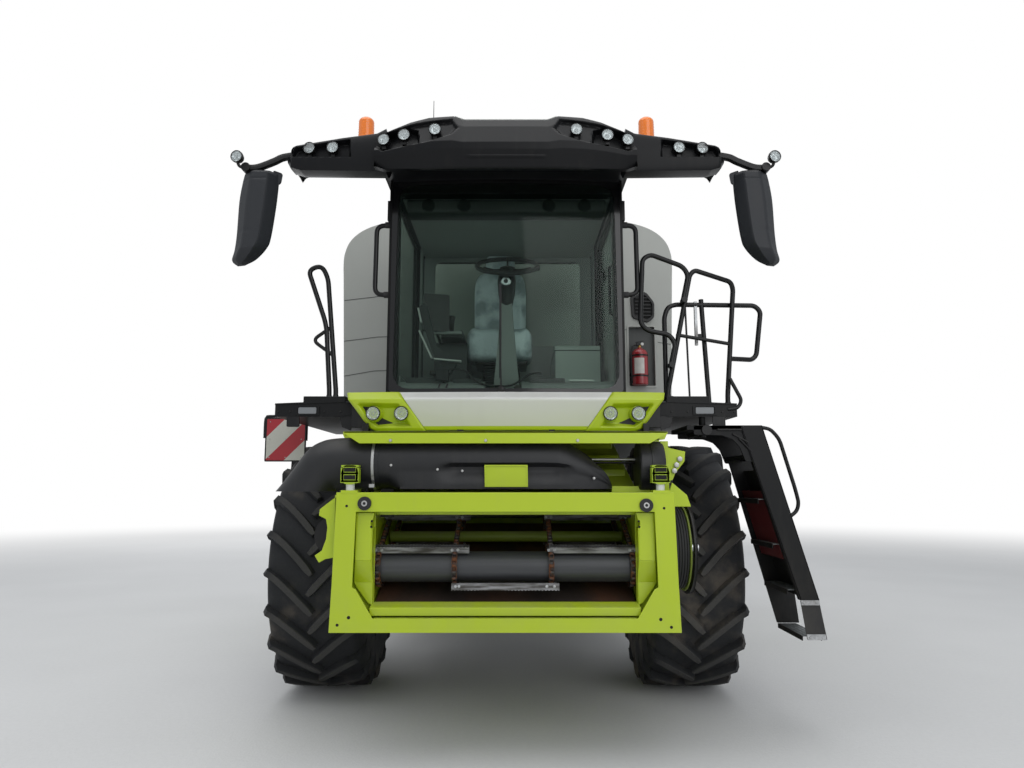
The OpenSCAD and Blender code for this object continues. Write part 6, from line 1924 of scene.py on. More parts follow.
box_cream = painted("moulded_box", (0.4, 0.45, 0.41), 0.5, dust=0.0, peel=0.0006, spread=0.05)
console = Piece("cab_console_and_screen")
console.add(plate(rounded([(-0.7, 2.222), (0.015, 2.222), (0.015, 2.62), (-0.2, 2.7),
    (-0.62, 2.715), (-0.7, 2.66)], 0.05, 5), -0.56, -0.31, "x"), lining_dark)
console.add(cushion((0.185, 0.45, 0.06), (-0.425, -0.52, 2.748), 0.006, 0.35), lining_dark)
console.add(pipe(spline([(-0.425, -0.74, 2.77), (-0.425, -0.765, 2.83), (-0.42, -0.76, 2.885)],
    14), 0.02, 16, np.linspace(0.8, 1.35, 14)), satin_black)
console.add(plate(rounded(rect(-0.56, 2.745, -0.345, 2.765), 0.004), -0.79, -0.745), lining_grey)
pad = rounded(rect(-0.1, -0.145, 0.1, 0.145), 0.014, 5)
# The screen's dark face is lightened and darkened in soft clouds: painted glare.
glare = clouded("screen_face_painted_glare", (0.035, 0.045, 0.055), (3, 2), 0.4, (0.08, 0.06), 0.0002)
SCREEN_TURN = np.array([(0.94, 0.34, 0), (-0.34, 0.94, 0), (0, 0, 1)])
for surface, finish in ((plate(pad, -0.018, 0.018), satin_black), (plate(pad * 0.86, 0.0185,
        0.0195), glare)):
    points, quads, caps = surface
    console.add((points @ SCREEN_TURN + (-0.54, -0.8, 2.905), quads, caps), finish)
console.add(pipe([(-0.54, -0.79, 2.77), (-0.52, -0.66, 2.7)], 0.012, 12), satin_black)
# Pale edge mouldings of the side shelf
edge_strip = rounded(rect(-0.02, -0.006, 0.02, 0.006), 0.003, 2)
for a, b in (((-0.655, -0.98, 2.9), (-0.63, -0.98, 2.79)), ((-0.64, -1.02, 2.72), (-0.545, -1.02,
        2.515)), ((-0.53, -1.02, 2.51), (-0.33, -1.02, 2.492))):
    console.add(carried(edge_strip, [a, np.add(a, b) / 2 + (0.0001, 0.004, 0), b]), stem_white)
console.add(plate(rounded([(-0.66, 2.9), (-0.545, 2.56), (-0.42, 2.4), (-0.36, 2.49),
    (-0.52, 2.62), (-0.6, 2.95)], 0.02), -0.98, -0.9), lining_dark)
box_side = rounded([(-0.7, 2.222), (-0.06, 2.222), (-0.06, 2.597), (-0.2, 2.675), (-0.68, 2.675),
    (-0.7, 2.65)], 0.03, 5)
console.add(plate(box_side, 0.375, 0.722, "x"), box_cream)
console.add(block((0.372, -0.702, 2.628), (0.724, -0.2, 2.636)), lining_dark)
console.add(plate(rounded([(0.395, 2.25), (0.705, 2.25), (0.705, 2.61), (0.64, 2.61), (0.6, 2.585),
    (0.5, 2.585), (0.46, 2.61), (0.395, 2.61)], 0.025, 5), -0.712, -0.7), box_cream)
console.made("chassis", "body_grey", ["cab_console"], edge=0.003)


# ---------------------------------------------------------------- grain tank
# The tank is folded steel sheet, sprayed pale grey outside, bare zinc inside.
# Pressed swages stiffen its walls; a levelling auger stands in it.

tank_paint = painted("tank_paint", (0.36, 0.37, 0.345), 0.42, dust=0.3, spread=0.05)
dress("grain_tank", tank_paint, 0.006)
dress("tank_auger", galvanised.material, 0.003)
tank_trim = Piece("grain_tank_swages")
for z in (3.2, 3.5, 3.8):
    tank_trim.both(plate([(1.118, z - 0.024), (1.13, z - 0.01), (1.13, z + 0.01),
        (1.118, z + 0.024)], 0.6, 2.86), tank_paint)
for y in (0.585, 2.875):
    tank_trim.both(block((1.118, y - 0.022, 3.1), (1.134, y + 0.022, 3.99)), tank_paint)
tank_trim.made("chassis", "tank_steel", edge=0.002)


# ---------------------------------------------------------------- tank front panel
# A big moulded panel behind the cab, in white, with a black plastic vent on its
# left, shallow pressed lines and a recess for the fire extinguisher.

panel_white = painted("panel_white", (0.35, 0.36, 0.335), 0.38, dust=0.25, coat=0.15, spread=0.045)
PANEL_Y, PANEL_BACK = 0.45, 0.51
front = Piece("tank_front_panel_moulding")
shoulder = spline([(0.9, 4.112), (1.129, 4.087), (1.3, 4.04), (1.42, 3.975), (1.505, 3.885),
    (1.548, 3.77), (1.556, 3.66), (1.552, 3.55)], 36)
half_panel = np.concatenate([[(0.0, 2.5), (0.0, 4.115)], shoulder, [(1.51, 2.25), (0.84, 2.25),
    (0.84, 2.5)]])
niche = rect(1.13, 2.508, 1.37, 3.065)
front.add(plate(half_panel * (-1, 1), PANEL_Y, PANEL_BACK), panel_white)
front.add(frame_plate(*spokes(half_panel, niche, (1.25, 2.79), 720), PANEL_Y, PANEL_BACK),
    panel_white)
vent = rounded([(1.151, 3.363), (1.293, 3.401), (1.375, 3.295), (1.371, 3.151), (1.314, 3.103),
    (1.165, 3.151)][::-1], 0.03, 5)
vent_mid = vent.mean(0)
vent_ring = vent_mid + (vent - vent_mid) * 0.8
front.add(frame_plate(vent, vent_ring, PANEL_Y - 0.022, PANEL_Y + 0.001), satin_black)
# Behind the vent's slats a black plate stands for the shade inside: painted shade.
front.add(plate(vent_mid + (vent - vent_mid) * 0.83, PANEL_Y - 0.006, PANEL_Y + 0.001), hole_shade_black)
for z in np.arange(3.165, 3.36, 0.034):
    front.add(block((1.195, PANEL_Y - 0.016, z), (1.34, PANEL_Y - 0.008, z + 0.012)), satin_black)
# Pressed lines: each groove is drawn as a thin dark grey bead, a painted shadow in the groove
groove_shade_grey = painted("painted_groove_shade", (0.1, 0.105, 0.1), 0.6, dust=0.0)
for path in ([(-1.535, 3.32), (-1.2, 3.36), (-0.86, 3.43)], [(-1.53, 2.93), (-1.22, 2.97),
        (-0.86, 2.98)], [(-1.52, 2.6), (-1.24, 2.65), (-0.86, 2.66)], [(0.86, 3.02), (1.12, 3.04)],
        [(1.4, 2.92), (1.52, 2.9)]):
    line = np.array([(x, PANEL_Y - 0.001, z) for x, z in path])
    front.add(carried(rect(-0.0035, -0.001, 0.0035, 0.002), line), groove_shade_grey)
front.add(frame_plate(rounded(rect(1.112, 2.49, 1.388, 3.083), 0.03, 6), rounded(niche, 0.012, 6),
    PANEL_Y - 0.008, PANEL_Y + 0.001), panel_white)
# The recess's back wall is a darker grey than the panel: painted shade in the recess.
niche_shade_grey = painted("niche_back_painted_shade", (0.075, 0.08, 0.078), 0.6, dust=0.3)
front.add(block((1.126, PANEL_Y + 0.045, 2.504), (1.374, PANEL_Y + 0.059, 3.069)), niche_shade_grey)
front.both(block((1.4, PANEL_Y - 0.01, 2.262), (1.5, PANEL_Y, 2.3)), satin_black)
front.made("chassis", "white_paint", ["tank_front_panel"], edge=0.003)


# ---------------------------------------------------------------- extinguisher
# A red steel bottle with a black valve head and hose, a brass neck and pale
# blank labels, held by two straps in the panel's recess.

red_enamel = painted("red_enamel", (0.3, 0.012, 0.018), 0.3, dust=0.15, coat=0.4)
BOTTLE_X, BOTTLE_Y, BOTTLE_FOOT = BOTTLE_AT = (1.222, 0.412, 2.509)
bottle = Piece("fire_extinguisher")
bottle.add(turned([(0.0, 0.04), (0.002, 0.066), (0.01, 0.073), (0.285, 0.074), (0.305, 0.07),
    (0.325, 0.055), (0.338, 0.034), (0.342, 0.02), (0.352, 0.019)], BOTTLE_AT, "z", 48),
    red_enamel)
brass = clouded("brass", (0.45, 0.27, 0.08), (14, 4), 0.3, (0.28, 0.25), 0.0003, metallic=0.9)
bottle.add(turned([(0.35, 0.012), (0.352, 0.016), (0.372, 0.016), (0.375, 0.01)], BOTTLE_AT, "z",
    24), brass)
bottle.add(block((1.195, 0.395, 2.88), (1.249, 0.428, 2.905)), satin_black)
bottle.add(plate([(1.188, 2.906), (1.262, 2.92), (1.26, 2.927), (1.186, 2.914)], 0.403, 0.421),
    satin_black)
bottle.add(turned([(-0.003, 0.004), (-0.003, 0.014), (0.004, 0.015)], (1.245, 0.392, 2.892), "y",
    20), stem_white)
bottle.add(pipe(spline([(1.196, 0.412, 2.89), (1.165, 0.408, 2.88), (1.147, 0.404, 2.83),
    (1.143, 0.402, 2.72), (1.146, 0.402, 2.6), (1.15, 0.402, 2.545)], 40), 0.0085, 12),
    black_rubber)
bottle.add(pipe([(1.15, 0.402, 2.55), (1.151, 0.402, 2.525)], 0.012, 12), satin_black)
label_paper = clouded("blank_label", (0.62, 0.6, 0.56), (22, 3), 0.2, (0.4, 0.2), 0.0002)
around_bottle, up_bottle = np.meshgrid(np.radians(np.linspace(-140, -66, 15)),
    np.array((2.61, 2.755)))
outside, inside = (np.stack([BOTTLE_X + r * np.cos(around_bottle),
    BOTTLE_Y + r * np.sin(around_bottle), up_bottle], -1) for r in (0.0748, 0.0738))
bottle.add(shell(outside, inside), label_paper)
bottle.add(block((1.128, 0.478, 2.6), (1.316, 0.49, 2.63)), satin_black)
for z in (2.585, 2.775):
    up = z - BOTTLE_FOOT
    strap = [(up, 0.0735), (up, 0.0765), (up + 0.015, 0.0765), (up + 0.015, 0.0735)]
    bottle.add(turned(strap, BOTTLE_AT, "z", 40, closed=True), satin_black)
    for x in (1.146, 1.293):
        bottle.add(block((x, 0.405, z), (x + 0.005, 0.492, z + 0.015)), satin_black)
bottle.made("chassis", "red_paint", ["extinguisher"], edge=0.0008)


# ---------------------------------------------------------------- tank lids
# Two lids of pale enamelled sheet steel close the tank and swing up on strap
# hinges. Folded ribs stiffen them, and each has three bent wire handles.

for side, sign in (("left", 1), ("right", -1)):
    dress(f"tank_lid_{side}", tank_paint, 0.004)
    lid = Piece(f"tank_lid_{side}_ribs")
    profile = rounded([(-0.035, 4.0435), (0.035, 4.0435), (0.02, 4.058), (-0.02, 4.058)][::-1],
        0.004, 2)
    for y in (0.95, 1.35, 2.05, 2.35):
        lid.add(on_side(plate(profile + (y, 0), 0.1, 1.02, "x"), sign), tank_paint)
    for y in (0.78, 1.73, 2.62):
        handle = [(0.3, y, 4.044), (0.3, y, 4.075), (0.36, y, 4.08), (0.42, y, 4.075), (0.42, y,
            4.044)]
        lid.add(on_side(pipe(spline(handle, 20), 0.007, 10), sign), satin_black)
    lid.made(f"tank_lid_{side}", "tank_steel", edge=0.001)


# ---------------------------------------------------------------- cab roof
# A deep black moulded roof with a visor over the windscreen. Lamps sit in dark
# pockets in the visor and in the two wings that reach out to the mirrors.

ROOF_LOW, ROOF_HALF = 3.68, 0.84
roof_black = painted("moulded_black_roof", (0.0045, 0.0048, 0.0058), 0.34, dust=0.1, peel=0.0005,
    spread=0.2, shine=0.2)
LAMP_BOX = [(0.3, 3.858), (0.345, 3.8), (0.5, 3.742), (0.79, 3.7), (0.892, 3.777), (0.857, 3.86),
    (0.6, 3.915), (0.345, 3.94)]
LAMP_DEEP = [(0.545, 3.752), (0.78, 3.716), (0.846, 3.79), (0.835, 3.862), (0.62, 3.893),
    (0.56, 3.86)]


def roof_front(u, v):
    """Places on the visor's front: u across and v up, from the lip to the crown.
    It is furthest forward at a third of its height. Two sunk fields lie in it on
    each side: a shallow one for the inner lamp, a deep one for the outer two."""
    x = ROOF_HALF * u
    ax = np.abs(x)
    crown = np.interp(ax, (0, 0.27, 0.34, 0.5, 0.62, 0.75, ROOF_HALF), (3.948, 3.948, 3.976, 3.97,
        3.946, 3.902, 3.868))
    low = 3.585 + 0.022 * ease(ax, 0.76, ROOF_HALF)
    z = low + (crown - low) * v
    y = np.interp(v, (0, 0.02, 0.3, 0.42, 0.78, 0.95, 1.0), (-1.885, -1.895, -1.936, -1.94, -1.885,
        -1.845, -1.815))
    y = y + 0.075 * (ax / ROOF_HALF) ** 3
    y = y + 0.03 * ease(inward(LAMP_BOX, ax, z), 0.0, 0.022) + 0.055 * ease(inward(LAMP_DEEP, ax,
        z), 0.0, 0.02)
    strip = (1 - ease(ax, 0.22, 0.26)) * ease(z, 3.64, 3.646) * ease(z, 3.662, 3.656)
    return np.stack(np.broadcast_arrays(x, y - 0.006 * strip, z), -1)


def roof_rest(u, v):
    """Places from the crown's front edge back over the roof and down its rear."""
    x = ROOF_HALF * u
    ax = np.abs(x)
    start = roof_front(u, np.ones_like(v))
    y = start[..., 1] + (0.2 - start[..., 1]) * np.interp(v, (0, 0.9, 0.97, 1.0), (0, 0.97, 0.998,
        1.0))
    fall = np.interp(v, (0, 0.1, 0.35, 0.85, 0.95, 1.0), (0, 0.004, 0.0, 0.02, 0.07, 0.296))
    side = 0.075 * ease(ax, 0.62, ROOF_HALF) * ease(v, 0.0, 0.2)
    z = np.maximum(start[..., 2] * (1 - ease(v, 0, 0.12)) + ease(v, 0, 0.12) * 3.968 - fall - side,
        ROOF_LOW)
    groove = 0.008 * np.exp(-((ax - 0.4) / 0.02) ** 2) * ease(v, 0.15, 0.2) * (1 - ease(v, 0.86,
        0.9))
    return np.stack(np.broadcast_arrays(x, y, z - groove), -1)


def roof_under(u, v):
    """Places under the roof, from its rear edge forward, then down into the lip."""
    x = ROOF_HALF * u
    y = np.interp(v, (0, 0.8, 0.84, 0.94, 1.0), (0.2, -1.46, -1.74, -1.845, -1.885))
    z = np.interp(v, (0, 0.8, 0.84, 0.94, 1.0), (3.68, 3.69, 3.7, 3.588,
        3.585)) + 0.02 * ease(np.abs(x), 0.76, ROOF_HALF)
    return np.stack(np.broadcast_arrays(x, y, z), -1)


roof = Piece("roof_moulding")
u_roof = np.linspace(-1, 1, 169)[None, :]
front_grid = roof_front(u_roof, np.linspace(0, 1, 90)[:, None])
rest_grid = roof_rest(u_roof, np.linspace(0, 1, 40)[1:, None])
under_grid = roof_under(u_roof, np.linspace(0, 1, 40)[1:-1, None])
roof_grid = np.concatenate([front_grid, rest_grid, under_grid])
rows, columns = roof_grid.shape[:2]
roof.add((roof_grid.reshape(-1, 3), grid_quads(rows, columns, True, False),
    [list(np.arange(rows) * columns), list(np.arange(rows) * columns + columns - 1)]), roof_black)
# A white line along the crown where its upper half overlaps the visor: a painted highlight on that
# edge
crown_highlight_x = np.linspace(-0.33, 0.33, 60)
crown_highlight = np.stack([crown_highlight_x, np.full(60, -1.812), np.interp(np.abs(crown_highlight_x), (0, 0.27, 0.34),
    (3.951, 3.951, 3.977))], 1)
roof.add(pipe(crown_highlight, 0.0035, 8), stem_white)


WING_BACK = -1.38


def wing_grid():
    """Places round the wing, station by station out from the visor. Its front is
    upright with a sunk field, its top falls outwards and its underside rises
    towards the back. Returns stations by places round the section."""
    s = np.linspace(0, 1, 110)[:, None]
    x = 0.78 + 0.65 * s
    top = np.interp(x, (0.78, 0.84, 1.06, 1.363, 1.41, 1.43), (3.905, 3.872, 3.842, 3.789, 3.765,
        3.735))
    low = np.interp(x, (0.78, 1.33, 1.4, 1.43), (3.612, 3.618, 3.64, 3.69))
    v = np.linspace(0, 1, 60)[None, :]
    front_z = low + (top - low) * v
    rounding = 1 - np.sin(math.pi * np.clip(v * 0.94 + 0.05, 0, 1)) ** 0.35
    front_y = -1.8 + 0.03 * rounding + 0.06 * ease(x, 1.38, 1.43)
    hole = [(1.0, 3.7), (1.385, 3.7), (1.398, 3.722), (1.368, 3.778), (1.01, 3.832)]
    front_y = front_y + 0.05 * ease(inward(hole, x, front_z), 0.0, 0.02)
    notch = [(1.385, 3.715), (1.46, 3.715), (1.46, 3.762), (1.378, 3.768)]
    front_y = front_y + 0.05 * ease(inward(notch, x, front_z), 0.0, 0.012)
    back = np.linspace(0, 1, 12)[None, 1:]
    back_y = front_y[:, -1:] + (WING_BACK - front_y[:, -1:]) * np.sin(back * math.pi / 2)
    back_z = top - 0.012 * back - 0.02 * ease(back, 0.8, 1)
    under = np.linspace(0, 1, 10)[None, :-1]
    under_y = WING_BACK + (front_y[:, :1] - WING_BACK) * under
    under_z = np.interp(under, (0, 0.08, 0.62, 0.9, 1), (0.205, 0.195, 0.01, 0.0, 0.0)) + low
    under_z = np.minimum(under_z, top - 0.025)
    y = np.concatenate([front_y, back_y, under_y], 1)
    z = np.concatenate([front_z, back_z, under_z], 1)
    return np.stack([x + 0 * y, y, z], -1)


wing_places = wing_grid()
rows, columns = wing_places.shape[:2]
roof.both((wing_places.reshape(-1, 3), grid_quads(rows, columns, False, True),
           [list(range(columns)), list(range((rows - 1) * columns, rows * columns))]), roof_black)
# Beacon sockets and the aerial's foot
BEACON_X, BEACON_Y = 0.969, -1.5
roof.both(turned([(0.0, 0.062), (0.012, 0.062), (0.04, 0.05), (0.11, 0.046)], (BEACON_X, BEACON_Y,
    3.843), "z", 32), roof_black)
roof.add(turned([(-0.02, 0.025), (0.01, 0.025), (0.024, 0.015), (0.06, 0.009)], (-0.56, -1.0,
    3.968), "z", 24), roof_black)
roof.add(pipe([(-0.56, -1.0, 3.98), (-0.56, -1.0, 4.2), (-0.56, -1.0, 4.525)], 0.0045, 10,
    [1.0, 0.8, 0.5]), roof_black)
roof.made("chassis", "black_plastic", ["cab_roof"], smooth=38)

lamps = Piece("roof_working_lamps")
for x, y, z, turn_z in ((0.45, -1.895, 3.84, 0.0), (0.65, -1.868, 3.816, 0.05), (0.784, -1.84,
        3.798, 0.12), (1.126, -1.775, 3.776, 0.1), (1.277, -1.775, 3.771, 0.15)):
    add_lamp(lamps, (x, y, z), 0.04, turn_z=turn_z)
    lamps.both(block((x - 0.012, y + 0.004, z - 0.06), (x + 0.012, y + 0.034, z - 0.03)),
        satin_black)
lamps.made("chassis", "lamp_glass", ["work_lamps"], smooth=40)


# ---------------------------------------------------------------- beacons
# Two flashing beacons on the roof's wings: ribbed domes of orange plastic,
# moulded in one piece and clipped to black sockets.

orange = clouded("orange_lens", (0.8, 0.19, 0.012), (14, 3), 0.12, (0.14, 0.1), 0.0006,
    coat_weight=0.5, emission_color=(0.8, 0.17, 0.01, 1), emission_strength=0.12)
domes = Piece("beacon_domes")
height = np.linspace(0, 1, 26)
SHOULDER = 0.78
crown_r = 0.961 * np.sqrt(np.clip(1 - ((height - SHOULDER) / 0.2201) ** 2, 0.0004, 1))
dome_r = 0.055 * np.where(height < SHOULDER, 1 - 0.05 * height, crown_r)
dome_r = dome_r * (1 + 0.018 * np.cos(2 * math.pi * 9 * height) * (height < SHOULDER))
DOME_FOOT = (BEACON_X, BEACON_Y, 3.953)
domes.both(turned(np.stack([0.172 * height + 0.002, dome_r], 1), DOME_FOOT, "z", 40), orange)
domes.both(turned([(-0.012, 0.054), (-0.006, 0.058), (0.008, 0.058), (0.012, 0.054)], DOME_FOOT,
    "z", 40), satin_black)
domes.made("chassis", "orange_lens", ["beacons"], smooth=40)


# ---------------------------------------------------------------- mirrors
# Each mirror hangs from a square steel arm at the wing's end. Its black moulded
# back is an upright shell with three facets, and its lower part bends outwards.

mirror_black = painted("moulded_mirror_back", (0.017, 0.019, 0.023), 0.48, dust=0.1, peel=0.0009,
    spread=0.2, shine=0.4)


def mirror_back():
    """Stations up the mirror between an inner and an outer edge. Across a station
    the shell rises steeply from the inner edge, lies flat, then slopes back."""
    z_in = (3.006, 3.047, 3.121, 3.194, 3.4, 3.56, 3.622)
    x_in = (1.69, 1.617, 1.553, 1.528, 1.503, 1.492, 1.49)
    z_out = (3.001, 3.035, 3.1, 3.214, 3.43, 3.56, 3.648)
    x_out = (1.735, 1.771, 1.758, 1.749, 1.744, 1.728, 1.709)
    v = np.linspace(0, 1, 70)
    inner = spline(np.stack([x_in, z_in], 1), 70)
    outer = spline(np.stack([x_out, z_out], 1), 70)
    u = np.linspace(0, 1, 40)
    rise = np.interp(u, (0, 0.03, 0.2, 0.23, 0.62, 0.7, 0.97, 1.0), (0, 0.18, 0.93, 1.0, 0.98,
        0.88, 0.25, 0.0))
    x = inner[:, :1] + (outer[:, :1] - inner[:, :1]) * u
    z = inner[:, 1:] + (outer[:, 1:] - inner[:, 1:]) * u
    bulge = 0.097 * np.interp(v, (0, 0.05, 0.3, 0.93, 1.0), (0.25, 0.55, 1.0, 0.95, 0.55))[:, None]
    seams = np.exp(-((z - 3.215) / 0.004) ** 2) + 0.7 * np.exp(-((z - 3.565) / 0.003) ** 2)
    y = -1.702 - bulge * rise + 0.005 * seams * (rise > 0.3)
    front = np.stack([x, y, z], -1)
    back = np.stack([x, np.full_like(x, -1.699), z], -1)
    return shell(front, back)


mirrors = Piece("mirrors_and_arms")
mirrors.both(mirror_back(), mirror_black)
arm = rounded(rect(-0.019, -0.019, 0.019, 0.019), 0.006, 3)
arm_line = [(1.4, -1.715, 3.748), (1.47, -1.722, 3.73), (1.52, -1.73, 3.7), (1.62, -1.745, 3.652),
    (1.7, -1.752, 3.645)]
mirrors.both(carried(arm, spline(arm_line, 30)), satin_black)
mirrors.both(turned([(-0.03, 0.026), (-0.026, 0.03), (0.026, 0.03), (0.03, 0.026)], (1.69, -1.752,
    3.646), "y", 28), satin_black)
mirrors.both(plate(rounded([(1.478, 3.56), (1.468, 3.628), (1.53, 3.65), (1.52, 3.54)], 0.012),
    -1.712, -1.7), mirror_black)
mirrors.both(pipe(spline([(1.7, -1.76, 3.64), (1.728, -1.775, 3.65), (1.738, -1.782, 3.668)], 12),
    0.01, 10), satin_black)
add_lamp(mirrors, (1.737, -1.8, 3.702), 0.04, turn_z=0.15)
mirrors.made("chassis", "black_plastic", ["mirror_housings"], smooth=38)
dress("mirror_glass", clouded("mirror_face", (0.86, 0.88, 0.88), (6, 4), 0.03, (0.03, 0.05),
    0.0001, metallic=1.0))


# ---------------------------------------------------------------- platforms
# Folded steel decks stand on each side of the cab: aluminium tread plate with
# raised bars on top, dark painted edges, and blank lids let into their fronts.

deck_paint = painted("deck_paint", (0.005, 0.0053, 0.0058), 0.4, dust=0.22, shine=0.25)
dress("platforms", deck_paint, 0.006)
tread = clouded("tread_plate", (0.15, 0.16, 0.16), (6, 6), 0.4, (0.34, 0.3), 0.0006, metallic=0.65)
decks = Piece("deck_treads")


BAR_TURN, BAR_HALF_WIDTH, BAR_HEIGHT = math.radians(45), 0.003, 0.0022


def bars(low, high, z, pitch=0.034, length=0.026):
    """Raised bars of tread plate, each a low block with a smaller top, every other
    one turned the other way, on a grid of the given pitch over a rectangle."""
    xs, ys = np.meshgrid(np.arange(low[0] + pitch / 2, high[0], pitch), np.arange(low[1] + pitch
        / 2, high[1], pitch))
    odd = (np.indices(xs.shape).sum(0) % 2).ravel()
    angle = np.where(odd, BAR_TURN, -BAR_TURN)[:, None]
    outline = np.array(rect(-length / 2, -BAR_HALF_WIDTH, length / 2, BAR_HALF_WIDTH))
    u = outline[:, 0] * np.cos(angle) - outline[:, 1] * np.sin(angle) + xs.ravel()[:, None]
    v = outline[:, 0] * np.sin(angle) + outline[:, 1] * np.cos(angle) + ys.ravel()[:, None]
    foot = np.stack([u, v, np.full_like(u, z)], -1)
    middle = foot.mean(1, keepdims=True)
    top = middle + (foot - middle) * 0.75 + (0, 0, BAR_HEIGHT)
    points = np.concatenate([foot, top], 1).reshape(-1, 3)
    corner = (np.arange(len(u)) * 8)[:, None]
    faces = [(k, (k + 1) % 4, (k + 1) % 4 + 4, k + 4) for k in range(4)] + [(4, 5, 6, 7), (3, 2, 1,
        0)]
    return points, np.concatenate([corner + np.array(face) for face in faces]), []


for x0, x1, z in ((1.085, 1.36, 2.19), (1.366, 1.548, 2.1405)):
    sheet = rounded(rect(x0, -1.396, x1, 0.345), 0.004, 2)
    decks.both(plate(sheet, z - 0.001, z + 0.0015, "z"), tread)
    decks.both(bars((x0 + 0.01, -1.385), (x1 - 0.01, 0.335), z + 0.0014), tread)
decks.add(plate(rounded(rect(-1.07, -1.395, 1.07, -1.425)[::-1], 0.002, 2), 2.149, 2.1515, "z"),
    tread)
blank = painted("blank_lid", (0.2, 0.21, 0.22), 0.35, dust=0.2)
decks.both(plate(rounded(rect(1.272, 2.073, 1.393, 2.116), 0.008, 4), -1.404, -1.4), blank)
decks.both(frame_plate(rounded(rect(1.252, 2.062, 1.413, 2.127), 0.012, 4), rounded(rect(1.268,
    2.07, 1.397, 2.119), 0.008, 4), -1.408, -1.399), deck_paint)
decks.both(plate([(1.08, 2.15), (1.55, 2.132), (1.55, 2.142), (1.365, 2.15), (1.08, 2.192)],
    -1.407, -1.399), deck_paint)
for x in (1.11, 1.22, 1.45, 1.53):
    decks.both(turned([(-0.005, 0.001), (-0.005, 0.006), (0.0, 0.008)], (x, -1.4, 2.085), "y", 8),
        satin_black)
# Folded gusset and bolted foot under each deck
decks.both(plate([(1.02, 2.06), (1.12, 2.06), (1.1, 1.985), (1.04, 1.96)], -1.392, -1.38),
    satin_black)
decks.both(plate(rounded(rect(1.385, 1.985, 1.47, 2.055), 0.01), -1.398, -1.385), satin_black)
decks.made("chassis", "dark_metal", edge=0.0006)


# ---------------------------------------------------------------- handrails
# Black coated steel tube, bent round at every corner with real bend radii, its
# ends flattened and bolted to the decks and to the cab's pillars.

rail_black = painted("rail_black", (0.003, 0.003, 0.0033), 0.26, dust=0.12, coat=0.1, shine=0.3)


def bent(path, radius):
    """A tube's centre line: straight runs joined by arcs. Each corner is replaced by
    a curve from a point radius before it to one radius after, as a quadratic."""
    path = np.asarray(path, float)
    run = [path[0]]
    for before, corner, after in zip(path[:-2], path[1:-1], path[2:]):
        back, on = before - corner, after - corner
        reach = min(radius, 0.48 * np.linalg.norm(back), 0.48 * np.linalg.norm(on))
        first, last = corner + back / np.linalg.norm(back) * reach, corner + on / np.linalg.norm(
            on) * reach
        t = np.linspace(0, 1, 7)[:, None]
        run.extend((1 - t) ** 2 * first + 2 * t * (1 - t) * corner + t ** 2 * last)
    return np.array(run + [path[-1]])


# The tube's radius, the deck's height, and how far forward the rows of rails stand
TUBE, Z = 0.0168, 2.19
Y0, Y1, Y2, Y3 = -1.375, -1.335, -1.29, -1.3
rails = Piece("handrails_bent")
rails.both(pipe(bent([(0.795, Y0, 3.396), (0.902, Y0, 3.39), (0.906, Y0, 2.9), (0.795, Y0, 2.897)],
    0.085), TUBE, 18), rail_black)
for z in (3.396, 2.897):
    rails.both(turned([(0.795, 0.018), (0.795, 0.026), (0.803, 0.026), (0.803, 0.018)], (0, Y0, z),
        "x", 24), satin_black)
    rails.both(turned([(0.806, 0.0172), (0.806, 0.022), (0.842, 0.022), (0.842, 0.0172)],
        (0, Y0, z), "x", 24), black_rubber)
runs = [[(1.118, Y0, 2.392), (1.155, Y0, 2.556), (1.116, Y0, 2.618), (0.966, Y0, 2.646),
    (0.919, Y0, 2.7), (0.944, Y0, 3.15), (1.0, Y0, 3.185), (1.22, Y0, 3.1), (1.258, Y0, 3.04),
    (1.214, Y0, 2.845)], [(1.104, Y1, Z), (1.104, Y1, 2.23), (1.279, Y1, 3.05), (1.313, Y1, 3.084),
    (1.561, Y1, 3.0), (1.576, Y1, 2.95), (1.51, Y1, 2.2), (1.51, Y1, Z - 0.05)], [(1.102, Y2, Z),
    (1.102, Y2, 2.763), (1.13, Y2, 2.83), (1.18, Y2, 2.849), (1.735, Y2, 2.842), (1.775, Y2,
    2.799), (1.733, Y2, 2.49), (1.7, Y2, 2.458), (1.6, -1.318, 2.458), (1.535, Y1, 2.458)],
    [(-1.17, Y3, Z), (-1.17, Y3, 2.24), (-1.25, Y3, 3.04), (-1.3, Y3, 3.13), (-1.39, Y3, 3.095),
    (-1.25, Y3, 2.7), (-1.215, Y3, 2.24), (-1.215, Y3, Z)]]
for run in runs:
    rails.add(pipe(bent(run, 0.07), TUBE, 18), rail_black)
rails.add(pipe([(1.395, Y2, 2.145), (1.362, Y2, 2.885)], 0.0165, 18), rail_black)
rails.add(block((1.312, Y2 - 0.012, 2.56), (1.33, Y2 + 0.012, 2.87)), galvanised.material)
rails.add(block((1.312, Y2 - 0.006, 2.6), (1.372, Y2 + 0.006, 2.64)), satin_black)
for x, z in ((1.127, 2.41), (1.226, 2.862)):
    rails.add(turned([(-0.02, 0.01), (-0.02, 0.02), (0.05, 0.02), (0.05, 0.01)], (x, Y0, z), "y",
        20), satin_black)
rails.add(pipe([(1.262, Y2, Z), (1.25, Y2, 2.844)], 0.007, 12), rail_black)
thin = [[(1.172, Y1, 2.625), (1.54, Y1, 2.561)], [(-1.225, Y3, 2.68), (-1.344, Y3, 2.594),
    (-1.2, Y3, 2.49)], [(1.511, -1.395, 2.312), (1.586, -1.395, 2.163), (1.557, -1.395, 2.11),
    (1.489, -1.395, 2.103)]]
for run in thin:
    rails.add(pipe(bent(run, 0.05), 0.0125, 16), rail_black)
